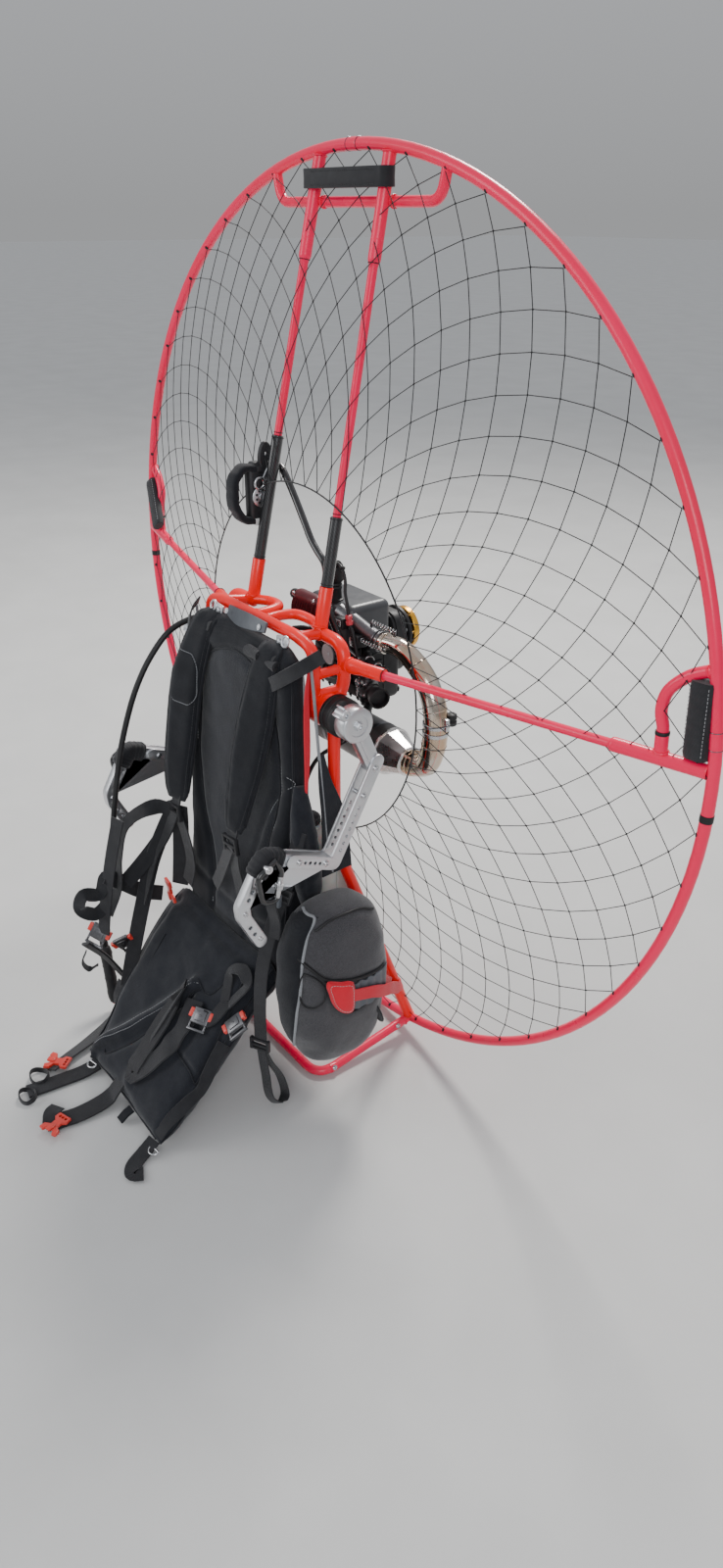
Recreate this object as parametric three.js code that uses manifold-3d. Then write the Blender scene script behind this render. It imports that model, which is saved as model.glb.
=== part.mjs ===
// A paramotor, parked on its foot, with its cage, swing arms, engine and harness.
// Millimetres, +Z up, the pilot faces -Y, the pilot's left hand is on +X.
import * as THREE from 'three';
import { mergeVertices } from 'three/addons/utils/BufferGeometryUtils.js';
import Module from 'manifold-3d';

const wasm = await Module();
wasm.setup();

// Driving dimensions
const GAP = 0.3;               // clearance between pieces that touch
const HOOP_R = 780;            // centreline radius of the cage hoop
const HOOP_TUBE = 9;           // radius of the hoop's tube
const HOOP_Z = HOOP_R + HOOP_TUBE;
const HOOP_SIDES = 10;
const HOLE_SIDES = 6;
const SPAR_FOOT = [104, -149, 868];   // where a spar leaves the chassis
const SPAR_TOP_X = 87;
const SOCKET_END = 74;         // distances along a spar from its foot
const GRIP_END = { left: 206, right: 311 };
const SLEEVE_START = 560;
const ARM_ROOT = [178, -151, 834];    // where a lateral arm leaves the chassis
const ARM_HOOP_ANGLE = 3.6;
const LATERAL_SOCKET_END = 78;
const LATERAL_FITTING = 474;   // where the thin tube enters its end fitting
const TEE_X = 706;
const ARCH_X = 163;            // front arch of the chassis
const ARCH_Y = -204;
const ARCH_Z = 874;
const ARCH_TUBE = 10;
const PIVOT_Y = -182;          // swing arm axis, along X
const PIVOT_Z = 760;
const BOSS_R = 30;
const BOSS_X = [150, 187];
const DRUM_R = 33;
const DRUM_X = [BOSS_X[1] + GAP, 226];
const RAIL_X = 172;
const RAIL_Y = -172;
const RAIL_TUBE = 11;
const RAIL_KNEE_Z = 500;
const FOOT_X = 187;            // where rails and foot meet the hoop
const FOOT_TUBE = 9;
const FOOT_FRONT_Y = -235;
const CRANK_Z = 775;
const STARTER_R = 50;
const STARTER_DEPTH = 32;
const PROP_Z = HOOP_Z;
const PAD_BACK_Y = ARCH_Y - ARCH_TUBE + 2;   // the arch presses 2 mm into the pad
const MID_Y = -284.9;               // moved so that the object's box is centred on the origin

const SIDES = [{ name: 'left', sign: 1 }, { name: 'right', sign: -1 }];

// Small helpers
const rad = THREE.MathUtils.degToRad;
const vec = (p) => new THREE.Vector3(p[0], p[1], p[2]);
const lerp = (a, b, t) => a + (b - a) * t;

class Route extends THREE.Curve {
  // A curve that passes through its points by index, so that a section stands at each one.
  constructor(points, endTangents = null) {
    super();
    this.points = points;
    this.endTangents = endTangents;
  }

  getPoint(t) {
    const last = this.points.length - 1;
    const at = THREE.MathUtils.clamp(t, 0, 1) * last;
    const i = Math.min(Math.floor(at), last - 1);
    return this.points[i].clone().lerp(this.points[i + 1], at - i);
  }

  getPointAt(u) {
    return this.getPoint(u);
  }

  getSpacedPoints(steps) {
    return Array.from({ length: steps + 1 }, (_, i) => this.getPoint(i / steps));
  }

  getTangentAt(u) {
    if (this.endTangents && (u === 0 || u === 1)) return this.endTangents[u].clone();
    const half = 0.5 / (this.points.length - 1);
    const ahead = this.getPoint(u + half);
    return ahead.sub(this.getPoint(u - half)).normalize();
  }
}

// A polyline with its corners rounded by arcs of one radius.
function rounded(corners, radius, stepDegrees = 20) {
  const points = corners.map(vec);
  const path = [points[0]];
  for (let i = 1; i < points.length - 1; i += 1) {
    const toBack = points[i - 1].clone().sub(points[i]);
    const toNext = points[i + 1].clone().sub(points[i]);
    const turn = Math.PI - toBack.angleTo(toNext);
    const room = 0.49 * Math.min(toBack.length(), toNext.length());
    const reach = Math.min(radius * Math.tan(turn / 2), room);
    const start = points[i].clone().addScaledVector(toBack.normalize(), reach);
    const end = points[i].clone().addScaledVector(toNext.normalize(), reach);
    const steps = Math.max(2, Math.ceil(THREE.MathUtils.radToDeg(turn) / stepDegrees));
    const bend = new THREE.QuadraticBezierCurve3(start, points[i], end);
    path.push(...bend.getPoints(steps));
  }
  path.push(points[points.length - 1]);
  return path;
}

// A smooth curve through a few points.
function smooth(through, steps) {
  const curve = new THREE.CatmullRomCurve3(through.map(vec), false, 'centripetal');
  return curve.getSpacedPoints(steps);
}

function outward(geometry) {
  const flat = new THREE.BufferGeometry();
  flat.setAttribute('position', geometry.getAttribute('position'));
  if (geometry.index) flat.setIndex(geometry.index);
  const merged = mergeVertices(flat, 1e-4);
  const p = merged.getAttribute('position');
  const index = merged.index.array;
  const [a, b, c] = [new THREE.Vector3(), new THREE.Vector3(), new THREE.Vector3()];
  let volume = 0;
  for (let i = 0; i < index.length; i += 3) {
    a.fromBufferAttribute(p, index[i]);
    b.fromBufferAttribute(p, index[i + 1]);
    c.fromBufferAttribute(p, index[i + 2]);
    volume += a.dot(b.cross(c));
  }
  if (volume < 0) {
    for (let i = 0; i < index.length; i += 3) {
      [index[i + 1], index[i + 2]] = [index[i + 2], index[i + 1]];
    }
  }
  return merged;
}

function solid(geometry) {
  const merged = outward(geometry);
  const vertProperties = new Float32Array(merged.getAttribute('position').array);
  const triVerts = new Uint32Array(merged.index.array);
  return new wasm.Manifold(new wasm.Mesh({ numProp: 3, vertProperties, triVerts }));
}

function surface(manifold) {
  const mesh = manifold.getMesh();
  const geometry = new THREE.BufferGeometry();
  geometry.setAttribute('position', new THREE.BufferAttribute(mesh.vertProperties, 3));
  geometry.setIndex(new THREE.BufferAttribute(mesh.triVerts, 1));
  return geometry;
}

const join = (...pieces) => surface(pieces.map(solid).reduce((sum, one) => sum.add(one)));
const cut = (piece, ...tools) => {
  const left = tools.map(solid).reduce((rest, one) => rest.subtract(one), solid(piece));
  return surface(left);
};

function mirrored(geometry) {
  const copy = geometry.clone();
  copy.scale(-1, 1, 1);
  return outward(copy);
}

const onSide = (geometry, side) => (side.sign > 0 ? outward(geometry) : mirrored(geometry));

function polygon(radius, sides, turn = 0) {
  const shape = new THREE.Shape();
  for (let i = 0; i < sides; i += 1) {
    const angle = turn + (i * 2 * Math.PI) / sides;
    const place = [radius * Math.cos(angle), radius * Math.sin(angle)];
    if (i === 0) shape.moveTo(...place);
    else shape.lineTo(...place);
  }
  shape.closePath();
  return shape;
}

function sweep(shape, path, endTangents) {
  return new THREE.ExtrudeGeometry(shape, {
    steps: path.length - 1,
    extrudePath: new Route(path, endTangents),
    bevelEnabled: false,
    curveSegments: 1,
  });
}

const tube = (path, radius, sides = 10, endTangents = null) => (
  sweep(polygon(radius, sides), path, endTangents)
);

// A stepped round bar from one point towards another, rows of [distance along, radius].
function bar(from, towards, rows, sides = 12) {
  const start = vec(from);
  const direction = vec(towards).sub(start).normalize();
  const first = rows[0][0];
  const last = rows[rows.length - 1][0];
  const profile = [new THREE.Vector2(0, first)];
  for (const [along, radius] of rows) profile.push(new THREE.Vector2(radius, along));
  profile.push(new THREE.Vector2(0, last));
  const lathe = new THREE.LatheGeometry(profile, sides);
  lathe.applyQuaternion(new THREE.Quaternion().setFromUnitVectors(new THREE.Vector3(0, 1, 0), direction));
  lathe.translate(start.x, start.y, start.z);
  return lathe;
}

// An outline of [y, z] points, given a thickness from x0 to x1.
function sidePlate(points, x0, x1, holes = []) {
  const shape = new THREE.Shape(points.map(([y, z]) => new THREE.Vector2(y, z)));
  for (const [y, z, radius] of holes) {
    const rim = polygon(radius, HOLE_SIDES).getPoints().map((p) => p.add(new THREE.Vector2(y, z)));
    shape.holes.push(new THREE.Path(rim.reverse()));
  }
  const plate = new THREE.ExtrudeGeometry(shape, { depth: x1 - x0, bevelEnabled: false, curveSegments: 1 });
  const toSide = new THREE.Matrix4().makeBasis(
    new THREE.Vector3(0, 1, 0),
    new THREE.Vector3(0, 0, 1),
    new THREE.Vector3(1, 0, 0),
  );
  plate.applyMatrix4(toSide);
  plate.translate(x0, 0, 0);
  return plate;
}

// The outline of a flat link of one width that follows a few [y, z] points, with round ends.
function linkOutline(points, width, endSteps = 4) {
  const half = width / 2;
  const line = points.map(([y, z]) => new THREE.Vector2(y, z));
  const heading = (i) => line[i + 1].clone().sub(line[i]).angle();
  const outline = [];
  const last = line.length - 1;
  const side = (order, sign) => {
    for (const i of order) {
      const before = heading(Math.max(i - 1, 0));
      const after = heading(Math.min(i, last - 1));
      const turn = Math.atan2(Math.sin(after - before), Math.cos(after - before));
      const angle = before + turn / 2 + (sign * Math.PI) / 2;
      const reach = half / Math.cos(turn / 2);
      outline.push([line[i].x + reach * Math.cos(angle), line[i].y + reach * Math.sin(angle)]);
    }
  };
  const cap = (i, from) => {
    for (let k = 1; k < endSteps; k += 1) {
      const angle = from - (Math.PI * k) / endSteps;
      outline.push([line[i].x + half * Math.cos(angle), line[i].y + half * Math.sin(angle)]);
    }
  };
  const forwards = line.map((_, i) => i);
  side(forwards, 1);
  cap(last, heading(last - 1) + Math.PI / 2);
  side([...forwards].reverse(), -1);
  cap(0, heading(0) - Math.PI / 2);
  return outline.reverse();
}

// A closed skin over sections with equal numbers of points.
function loft(sections) {
  const count = sections[0].length;
  const positions = [];
  const index = [];
  for (const section of sections) {
    for (const p of section) positions.push(p.x, p.y, p.z);
  }
  for (let s = 0; s < sections.length - 1; s += 1) {
    for (let i = 0; i < count; i += 1) {
      const next = (i + 1) % count;
      const [a, b] = [s * count + i, s * count + next];
      index.push(a, b, b + count, a, b + count, a + count);
    }
  }
  for (const s of [0, sections.length - 1]) {
    const middle = sections[s].reduce((sum, p) => sum.add(p), new THREE.Vector3()).divideScalar(count);
    positions.push(middle.x, middle.y, middle.z);
    const centre = positions.length / 3 - 1;
    for (let i = 0; i < count; i += 1) {
      const [a, b] = [s * count + i, s * count + ((i + 1) % count)];
      if (s === 0) index.push(centre, b, a);
      else index.push(centre, a, b);
    }
  }
  const geometry = new THREE.BufferGeometry();
  geometry.setAttribute('position', new THREE.Float32BufferAttribute(positions, 3));
  geometry.setIndex(index);
  return outward(geometry);
}

// Points round a rectangle with rounded corners, a and b across, as [a, b] pairs.
function roundRect(halfA, halfB, corner, steps = 3) {
  const radius = Math.min(corner, halfA, halfB);
  const points = [];
  const quarters = [[1, 1, 0], [-1, 1, 90], [-1, -1, 180], [1, -1, 270]];
  for (const [signA, signB, from] of quarters) {
    for (let i = 0; i <= steps; i += 1) {
      const angle = rad(from + (90 * i) / steps);
      const a = signA * (halfA - radius) + radius * Math.cos(angle);
      const b = signB * (halfB - radius) + radius * Math.sin(angle);
      points.push([a, b]);
    }
  }
  return points;
}

// Rows of sections stacked along z: z, centre x, centre y, half size in x, half size in y, corner.
function stackZ(rows, steps = 3) {
  return loft(rows.map(([z, cx, cy, hx, hy, corner]) => (
    roundRect(hx, hy, corner, steps).map(([a, b]) => new THREE.Vector3(cx + a, cy + b, z))
  )));
}

// The same along y: y, centre x, centre z, half size in x, half size in z, corner.
function stackY(rows, steps = 3) {
  return loft(rows.map(([y, cx, cz, hx, hz, corner]) => (
    roundRect(hx, hz, corner, steps).map(([a, b]) => new THREE.Vector3(cx + a, y, cz + b))
  )));
}

// Materials
const FINISHES = {
  hoopRed: { color: 0xf0103c, roughness: 0.35, metalness: 0.1 },
  chassisRed: { color: 0xe8201c, roughness: 0.38, metalness: 0.1 },
  carbon: { color: 0x111113, roughness: 0.28, metalness: 0.1 },
  alloy: { color: 0xc4c6c8, roughness: 0.4, metalness: 0.9 },
  blackMetal: { color: 0x1a1a1c, roughness: 0.5, metalness: 0.6 },
  blackPlastic: { color: 0x1b1c1e, roughness: 0.55, metalness: 0.0 },
  darkCover: { color: 0x2a1416, roughness: 0.5, metalness: 0.1 },
  chrome: { color: 0xd9c6a0, roughness: 0.12, metalness: 1.0 },
  gold: { color: 0xd98a1c, roughness: 0.3, metalness: 0.9 },
  tank: { color: 0xdfe0da, roughness: 0.45, metalness: 0.0 },
  fabric: { color: 0x14161d, roughness: 0.95, metalness: 0.0 },
  melange: { color: 0x35353a, roughness: 0.95, metalness: 0.0 },
  redWebbing: { color: 0xc8141e, roughness: 0.8, metalness: 0.0 },
  rubber: { color: 0x121213, roughness: 0.75, metalness: 0.0 },
};

const paramotor = new THREE.Group();
const frame = new THREE.Group();
frame.position.y = -MID_Y;
paramotor.add(frame);

function place(name, geometry, finish) {
  const mesh = new THREE.Mesh(outward(geometry), new THREE.MeshStandardMaterial(FINISHES[finish]));
  mesh.geometry.computeVertexNormals();
  mesh.name = name;
  frame.add(mesh);
  return mesh;
}

// Hoop
const hoopPoint = (degrees) => [
  HOOP_R * Math.cos(rad(degrees)),
  0,
  HOOP_Z + HOOP_R * Math.sin(rad(degrees)),
];
const hoopTangent = (degrees) => new THREE.Vector3(-Math.sin(rad(degrees)), 0, Math.cos(rad(degrees)));
const hoopAngleAtX = (x) => THREE.MathUtils.radToDeg(Math.acos(x / HOOP_R));

function hoopArc(from, to, radius) {
  const steps = Math.round((to - from) / 5);
  const path = Array.from({ length: steps + 1 }, (_, i) => vec(hoopPoint(lerp(from, to, i / steps))));
  return tube(path, radius, HOOP_SIDES, [hoopTangent(from), hoopTangent(to)]);
}

// Sections of the hoop: name, first and last angle in degrees from +X
const HOOP_SECTIONS = [
  ['hoop_upper_left', 7, 90],
  ['hoop_upper_right', 90, 173],
  ['hoop_lower_right', 173, 270],
  ['hoop_lower_left', 270, 367],
];
const HALF_JOINT = 0.012;
for (const [name, from, to] of HOOP_SECTIONS) {
  place(name, hoopArc(from + HALF_JOINT, to - HALF_JOINT, HOOP_TUBE), 'hoopRed');
}
// The hoop's space, which pieces that meet it are shaped to
const hoopSpace = HOOP_SECTIONS.map(([, from, to]) => hoopArc(from, to, HOOP_TUBE + GAP));

// Spars from the chassis to the top of the hoop
const SPAR_TOP = hoopPoint(hoopAngleAtX(SPAR_TOP_X));
const SPAR_LENGTH = vec(SPAR_TOP).distanceTo(vec(SPAR_FOOT));

function spar(start, extra) {
  const rows = [
    [start, 7 + extra],
    [SLEEVE_START, 7 + extra],
    [SLEEVE_START, 10 + extra],
    [SPAR_LENGTH, 10 + extra],
  ];
  return bar(SPAR_FOOT, SPAR_TOP, rows);
}

for (const side of SIDES) {
  const gripEnd = GRIP_END[side.name];
  const grip = bar(SPAR_FOOT, SPAR_TOP, [[SOCKET_END + GAP, 10], [gripEnd, 10]]);
  place(`spar_grip_${side.name}`, onSide(grip, side), 'carbon');
  place(`spar_${side.name}`, onSide(cut(spar(gripEnd + GAP, 0), ...hoopSpace), side), 'hoopRed');
}

// Handle loop under the top of the hoop
const HANDLE_TUBE = 8;
const TOP_HANDLE_X = 213;
const TOP_HANDLE_Z = 1493;
const topHandleEnd = hoopPoint(hoopAngleAtX(TOP_HANDLE_X));
const mirrorPoint = ([x, y, z]) => [-x, y, z];
const topHandlePath = rounded([
  topHandleEnd,
  [TOP_HANDLE_X - 12, 0, TOP_HANDLE_Z],
  mirrorPoint([TOP_HANDLE_X - 12, 0, TOP_HANDLE_Z]),
  mirrorPoint(topHandleEnd),
], 42);
const sparCutter = spar(SLEEVE_START - 20, GAP);
place(
  'top_handle',
  cut(tube(topHandlePath, HANDLE_TUBE), ...hoopSpace, sparCutter, mirrored(sparCutter)),
  'hoopRed',
);

// Webbing band between the spars, under the hoop
const BAND_Z = [1512, 1546];
const BAND_HALF_X = 104;
const BAND_HALF_Y = 3;
const bandMiddleZ = (BAND_Z[0] + BAND_Z[1]) / 2;
const bandY = lerp(SPAR_FOOT[1], 0, (bandMiddleZ - SPAR_FOOT[2]) / (SPAR_TOP[2] - SPAR_FOOT[2])) - 16;
function bandSolid(extra) {
  const [low, high] = [BAND_Z[0] - extra, BAND_Z[1] + extra];
  return stackZ([low, high].map((z) => [z, 0, bandY, BAND_HALF_X + extra, BAND_HALF_Y + extra, 2]), 1);
}
const band = bandSolid(0);
place('top_band', cut(band, sparCutter, mirrored(sparCutter), ...hoopSpace), 'fabric');

// Lateral arms, their tees and the hand loops beside them
const ARM_END = hoopPoint(ARM_HOOP_ANGLE);
const armLength = vec(ARM_END).distanceTo(vec(ARM_ROOT));
const alongArm = (x) => {
  const t = (x - ARM_ROOT[0]) / (ARM_END[0] - ARM_ROOT[0]);
  return [x, lerp(ARM_ROOT[1], ARM_END[1], t), lerp(ARM_ROOT[2], ARM_END[2], t)];
};
const TEE_HEIGHT = 36;
const teeFoot = alongArm(TEE_X);
const teeTop = [teeFoot[0] - 2, teeFoot[1], teeFoot[2] + TEE_HEIGHT];
function armSolid(extra) {
  const arm = bar(ARM_ROOT, ARM_END, [
    [LATERAL_SOCKET_END + GAP, 7 + extra],
    [LATERAL_FITTING, 7 + extra],
    [LATERAL_FITTING, 10.5 + extra],
    [armLength, 10.5 + extra],
  ]);
  return join(arm, bar(teeFoot, teeTop, [[0, 9.5 + extra], [TEE_HEIGHT + extra, 9.5 + extra]]));
}

const lateralArm = cut(armSolid(0), ...hoopSpace);
const lateralArmSpace = armSolid(GAP);
const SIDE_HANDLE_ANGLE = 13.8;
const sideHandlePath = smooth([
  [teeTop[0] + 0.2, teeTop[1], teeTop[2] - 4],
  [teeTop[0] - 1, teeTop[1] + 1, teeTop[2] + 8],
  [697, -18, 904],
  [699, -13, 930],
  [722, -6, 957],
  [745, -1, 970],
  hoopPoint(SIDE_HANDLE_ANGLE),
], 14);
const sideHandle = cut(tube(sideHandlePath, 8.5, 8), lateralArmSpace, ...hoopSpace);
const sideHandleSpace = tube(sideHandlePath, 8.5 + GAP, 8);
for (const side of SIDES) {
  place(`lateral_arm_${side.name}`, onSide(lateralArm, side), 'hoopRed');
  place(`side_handle_${side.name}`, onSide(sideHandle, side), 'hoopRed');
}

// Fabric wraps beside the hand loops: side, upper and lower centre, half width, half depth
const WRAPS = [
  { side: SIDES[0], upper: [745, -2, 958], lower: [752, -4, 852], halfWidth: 17, halfDepth: 5 },
  { side: SIDES[1], upper: [742, -14, 946], lower: [662, -46, 866], halfWidth: 15, halfDepth: 4 },
];
const wrapSpace = [];
for (const { side, upper, lower, halfWidth, halfDepth } of WRAPS) {
  const wrapSolid = (extra) => stackZ([[upper, extra], [lower, -extra]].map(([[x, y, z], up]) => (
    [z + up, x, y, halfWidth + extra, halfDepth + extra, 4]
  )), 1);
  const wrap = cut(wrapSolid(0), ...hoopSpace, lateralArmSpace, sideHandleSpace);
  place(`side_wrap_${side.name}`, onSide(wrap, side), 'fabric');
  wrapSpace.push(onSide(wrapSolid(GAP), side));
}

// Chassis: front arch
const archHalf = [
  [ARCH_X, ARCH_Y + 1, PIVOT_Z + 4],
  [ARCH_X, ARCH_Y + 1, ARCH_Z - 8],
  [ARCH_X - 50, ARCH_Y, ARCH_Z + 2],
];
const archPath = rounded([...archHalf, ...archHalf.map(mirrorPoint).reverse()], 62);
const boss = bar(
  [0, PIVOT_Y, PIVOT_Z],
  [1, PIVOT_Y, PIVOT_Z],
  [[BOSS_X[0], BOSS_R], [BOSS_X[1], BOSS_R]],
  16,
);
const bossCutter = bar(
  [0, PIVOT_Y, PIVOT_Z],
  [1, PIVOT_Y, PIVOT_Z],
  [[BOSS_X[0] - GAP, BOSS_R + GAP], [BOSS_X[1] + GAP, BOSS_R + GAP]],
  16,
);
place('front_arch', cut(tube(archPath, ARCH_TUBE), bossCutter, mirrored(bossCutter)), 'chassisRed');
const archCutter = tube(archPath, ARCH_TUBE + GAP);

// Chassis: side frames, each with its sockets, loop and links
const sideFrameParts = [
  bar(SPAR_FOOT, SPAR_TOP, [[-10, 8], [-4, 11.5], [SOCKET_END, 11.5]], 10),
  tube(rounded([[100, -149, 866], [174, -151, 866], [175, -153, 800], [174, -172, 765]], 58, 30), 11, 8),
  bar(ARM_ROOT, ARM_END, [[-2, 12.5], [24, 12.5], [34, 11], [LATERAL_SOCKET_END, 11]], 10),
  tube(smooth([SPAR_FOOT, [64, -137, 872], [26, -146, 875], [15, -172, 875], [16, ARCH_Y, ARCH_Z]], 8), 9, 8),
  tube([vec([110, -149, 866]), vec([117, ARCH_Y, ARCH_Z])], 9, 8),
  tube([vec([174, -156, 827]), vec([ARCH_X, ARCH_Y, 822])], 8, 6),
  tube([vec([173, -160, 792]), vec([ARCH_X, ARCH_Y, 788])], 8, 6),
  boss,
];
const GLAND_ROOT = [-176, -156, 826];
const GLAND_AT = [-189, -190, 824];
const GLAND_LENGTH = vec(GLAND_ROOT).distanceTo(vec(GLAND_AT));
const gland = bar(GLAND_ROOT, GLAND_AT, [[0, 9], [GLAND_LENGTH, 9]], 8);
const sideFrame = cut(join(...sideFrameParts), archCutter);
place('side_frame_left', sideFrame, 'chassisRed');
place('side_frame_right', cut(join(mirrored(sideFrame), gland), archCutter), 'chassisRed');

// Chassis: rails down to the hoop and the foot on the ground
const railFoot = hoopPoint(-hoopAngleAtX(FOOT_X));
const railPath = rounded([
  [RAIL_X, RAIL_Y, PIVOT_Z - 10],
  [RAIL_X, RAIL_Y, RAIL_KNEE_Z],
  railFoot,
], 120);
const rail = cut(tube(railPath, RAIL_TUBE), bossCutter, ...hoopSpace);
const footHalf = [railFoot, [FOOT_X + 10, FOOT_FRONT_Y, FOOT_TUBE]];
const footPath = rounded([...footHalf, ...footHalf.map(mirrorPoint).reverse()], 40);
const railCutter = tube(railPath, RAIL_TUBE + GAP);
const foot = cut(
  tube(footPath, FOOT_TUBE),
  ...hoopSpace,
  railCutter,
  mirrored(railCutter),
);
place('foot', foot, 'hoopRed');
for (const side of SIDES) place(`rail_${side.name}`, onSide(rail, side), 'chassisRed');

// Cage net: slanting cords knotted where they cross, from the hoop to a ring of cord around the
// engine. Its cords have three sides, flat to the rear. The lateral arms and a joint at the top and
// the bottom part it into four sections, and it stops at each tube that it meets.
const NET_CORDS = 40;
const NET_ROWS = 9;            // rows of meshes between the hoop and the ring
const NET_OUTER_R = HOOP_R - HOOP_TUBE;
const NET_INTO_HOOP = 13;      // the first row of knots stands this far inside the hoop's tube
const NET_RING_R = 312;
const NET_EDGE_Y = -6;
const NET_RING_Y = -115;
const NET_RING_TILT = 6;       // the ring's lowest point lies this much further back
const NET_RING_DROP = 16;      // the ring hangs this far below the hoop's middle
const NET_BULGE = 5;
const NET_CORD_HALF = 1.1;
const NET_CORD_DEPTH = 2;
const NET_RING_WIDTH = 3;
const NET_KNOT_POINTS = 5;
const NET_MESH_SIDE = [20, 110];   // the search for the meshes' side starts between these
const NET_LEAST_STEP = 3;          // least distance between two rows

function netPoint(radius, turns) {
  const t = (NET_OUTER_R - radius) / (NET_OUTER_R - NET_RING_R);
  const [across, up] = [Math.cos(2 * Math.PI * turns), Math.sin(2 * Math.PI * turns)];
  const slope = lerp(NET_EDGE_Y, NET_RING_Y + (NET_RING_TILT * (1 - up)) / 2, Math.max(t, 0));
  const y = slope - NET_BULGE * Math.sin(Math.PI * Math.max(t, 0));
  return new THREE.Vector3(radius * across, y, HOOP_Z - NET_RING_DROP * t + radius * up);
}

// Radii of the rows of knots, chosen so that every mesh has sides of one length.
function netRadii() {
  let [low, high] = NET_MESH_SIDE;
  let radii = [];
  for (let pass = 0; pass < 40; pass += 1) {
    const side = (low + high) / 2;
    radii = [NET_OUTER_R];
    for (let row = 0; row < NET_ROWS; row += 1) {
      const across = (Math.PI / NET_CORDS) * radii[row];
      radii.push(radii[row] - Math.sqrt(Math.max(side ** 2 - across ** 2, NET_LEAST_STEP ** 2)));
    }
    if (radii[NET_ROWS] > NET_RING_R) low = side;
    else high = side;
  }
  return [NET_OUTER_R + NET_INTO_HOOP, ...radii.slice(0, NET_ROWS), NET_RING_R];
}

// The whole net as one solid. Each knot has a point on its cords' ridge, and four points on their
// flat side, one in the corner of each mesh round it: above, right, below and left.
function netSolid() {
  const radii = netRadii();
  const last = radii.length - 1;
  const wrap = (half) => (half + 2 * NET_CORDS) % (2 * NET_CORDS);
  const knot = (row, half) => netPoint(radii[row], half / (2 * NET_CORDS));
  const firstHalf = (row) => (row % 2 === 0 ? 1 : 0);
  const start = (row, half) => {
    const along = (wrap(half) - firstHalf(row)) / 2;
    return (row * NET_CORDS + along) * NET_KNOT_POINTS;
  };
  const positions = [];
  const corner = (at, one, other) => {
    const a = one.clone().sub(at).normalize();
    const b = other.clone().sub(at).normalize();
    return at.clone().addScaledVector(a.clone().add(b), NET_CORD_HALF / Math.sin(a.angleTo(b)));
  };
  const radially = (at, distance) => {
    const out = new THREE.Vector3(at.x, 0, at.z - HOOP_Z).setLength(distance);
    return at.clone().add(out);
  };
  for (let row = 0; row <= last; row += 1) {
    for (let half = firstHalf(row); half < 2 * NET_CORDS; half += 2) {
      const at = knot(row, half);
      const above = row > 0 ? [knot(row - 1, half - 1), knot(row - 1, half + 1)] : null;
      const below = row < last ? [knot(row + 1, half - 1), knot(row + 1, half + 1)] : null;
      const beside = [knot(row, half - 2), knot(row, half + 2)];
      const around = [
        above ? corner(at, ...above) : radially(at, NET_CORD_HALF),
        corner(at, (above ?? beside)[1], (below ?? beside)[1]),
        below ? corner(at, ...below) : radially(at, -NET_RING_WIDTH + NET_CORD_HALF),
        corner(at, (above ?? beside)[0], (below ?? beside)[0]),
      ];
      const ridge = at.clone().add(new THREE.Vector3(0, -NET_CORD_DEPTH, 0));
      for (const p of [ridge, ...around]) positions.push(p.x, p.y, p.z);
    }
  }
  const [RIDGE, ABOVE, RIGHT, BELOW, LEFT] = [0, 1, 2, 3, 4];
  const index = [];
  const quad = (...corners) => {
    const [a, b, c, d] = corners.map(([from, place]) => from + place);
    index.push(a, b, c, a, c, d);
  };
  for (let row = 0; row <= last; row += 1) {
    for (let half = firstHalf(row); half < 2 * NET_CORDS; half += 2) {
      const here = start(row, half);
      quad([here, ABOVE], [here, RIGHT], [here, BELOW], [here, LEFT]);
      if (row < last) {
        const right = start(row + 1, half + 1);
        quad([here, RIGHT], [right, ABOVE], [right, LEFT], [here, BELOW]);
        quad([here, RIDGE], [right, RIDGE], [right, ABOVE], [here, RIGHT]);
        quad([here, BELOW], [right, LEFT], [right, RIDGE], [here, RIDGE]);
        const left = start(row + 1, half - 1);
        quad([left, ABOVE], [here, LEFT], [here, BELOW], [left, RIGHT]);
        quad([left, RIDGE], [here, RIDGE], [here, LEFT], [left, ABOVE]);
        quad([left, RIGHT], [here, BELOW], [here, RIDGE], [left, RIDGE]);
      }
      const next = start(row, half + 2);
      if (row === 0) {
        quad([here, ABOVE], [next, ABOVE], [next, LEFT], [here, RIGHT]);
        quad([here, RIDGE], [next, RIDGE], [next, ABOVE], [here, ABOVE]);
        quad([here, RIGHT], [next, LEFT], [next, RIDGE], [here, RIDGE]);
      }
      if (row === last) {
        quad([here, RIGHT], [next, LEFT], [next, BELOW], [here, BELOW]);
        quad([here, RIDGE], [next, RIDGE], [next, LEFT], [here, RIGHT]);
        quad([here, BELOW], [next, BELOW], [next, RIDGE], [here, RIDGE]);
      }
    }
  }
  const geometry = new THREE.BufferGeometry();
  geometry.setAttribute('position', new THREE.Float32BufferAttribute(positions, 3));
  geometry.setIndex(index);
  return geometry;
}

const netJoint = new THREE.BoxGeometry(GAP, 2 * HOOP_R, 3 * HOOP_R);
netJoint.translate(0, 0, HOOP_Z);
const netMeets = [
  ...hoopSpace,
  ...wrapSpace,
  ...[spar(0, 3 + GAP), lateralArmSpace, sideHandleSpace, railCutter]
    .flatMap((one) => [one, mirrored(one)]),
  bandSolid(GAP),
  netJoint,
];
const netBodies = solid(cut(netSolid(), ...netMeets)).decompose();
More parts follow.
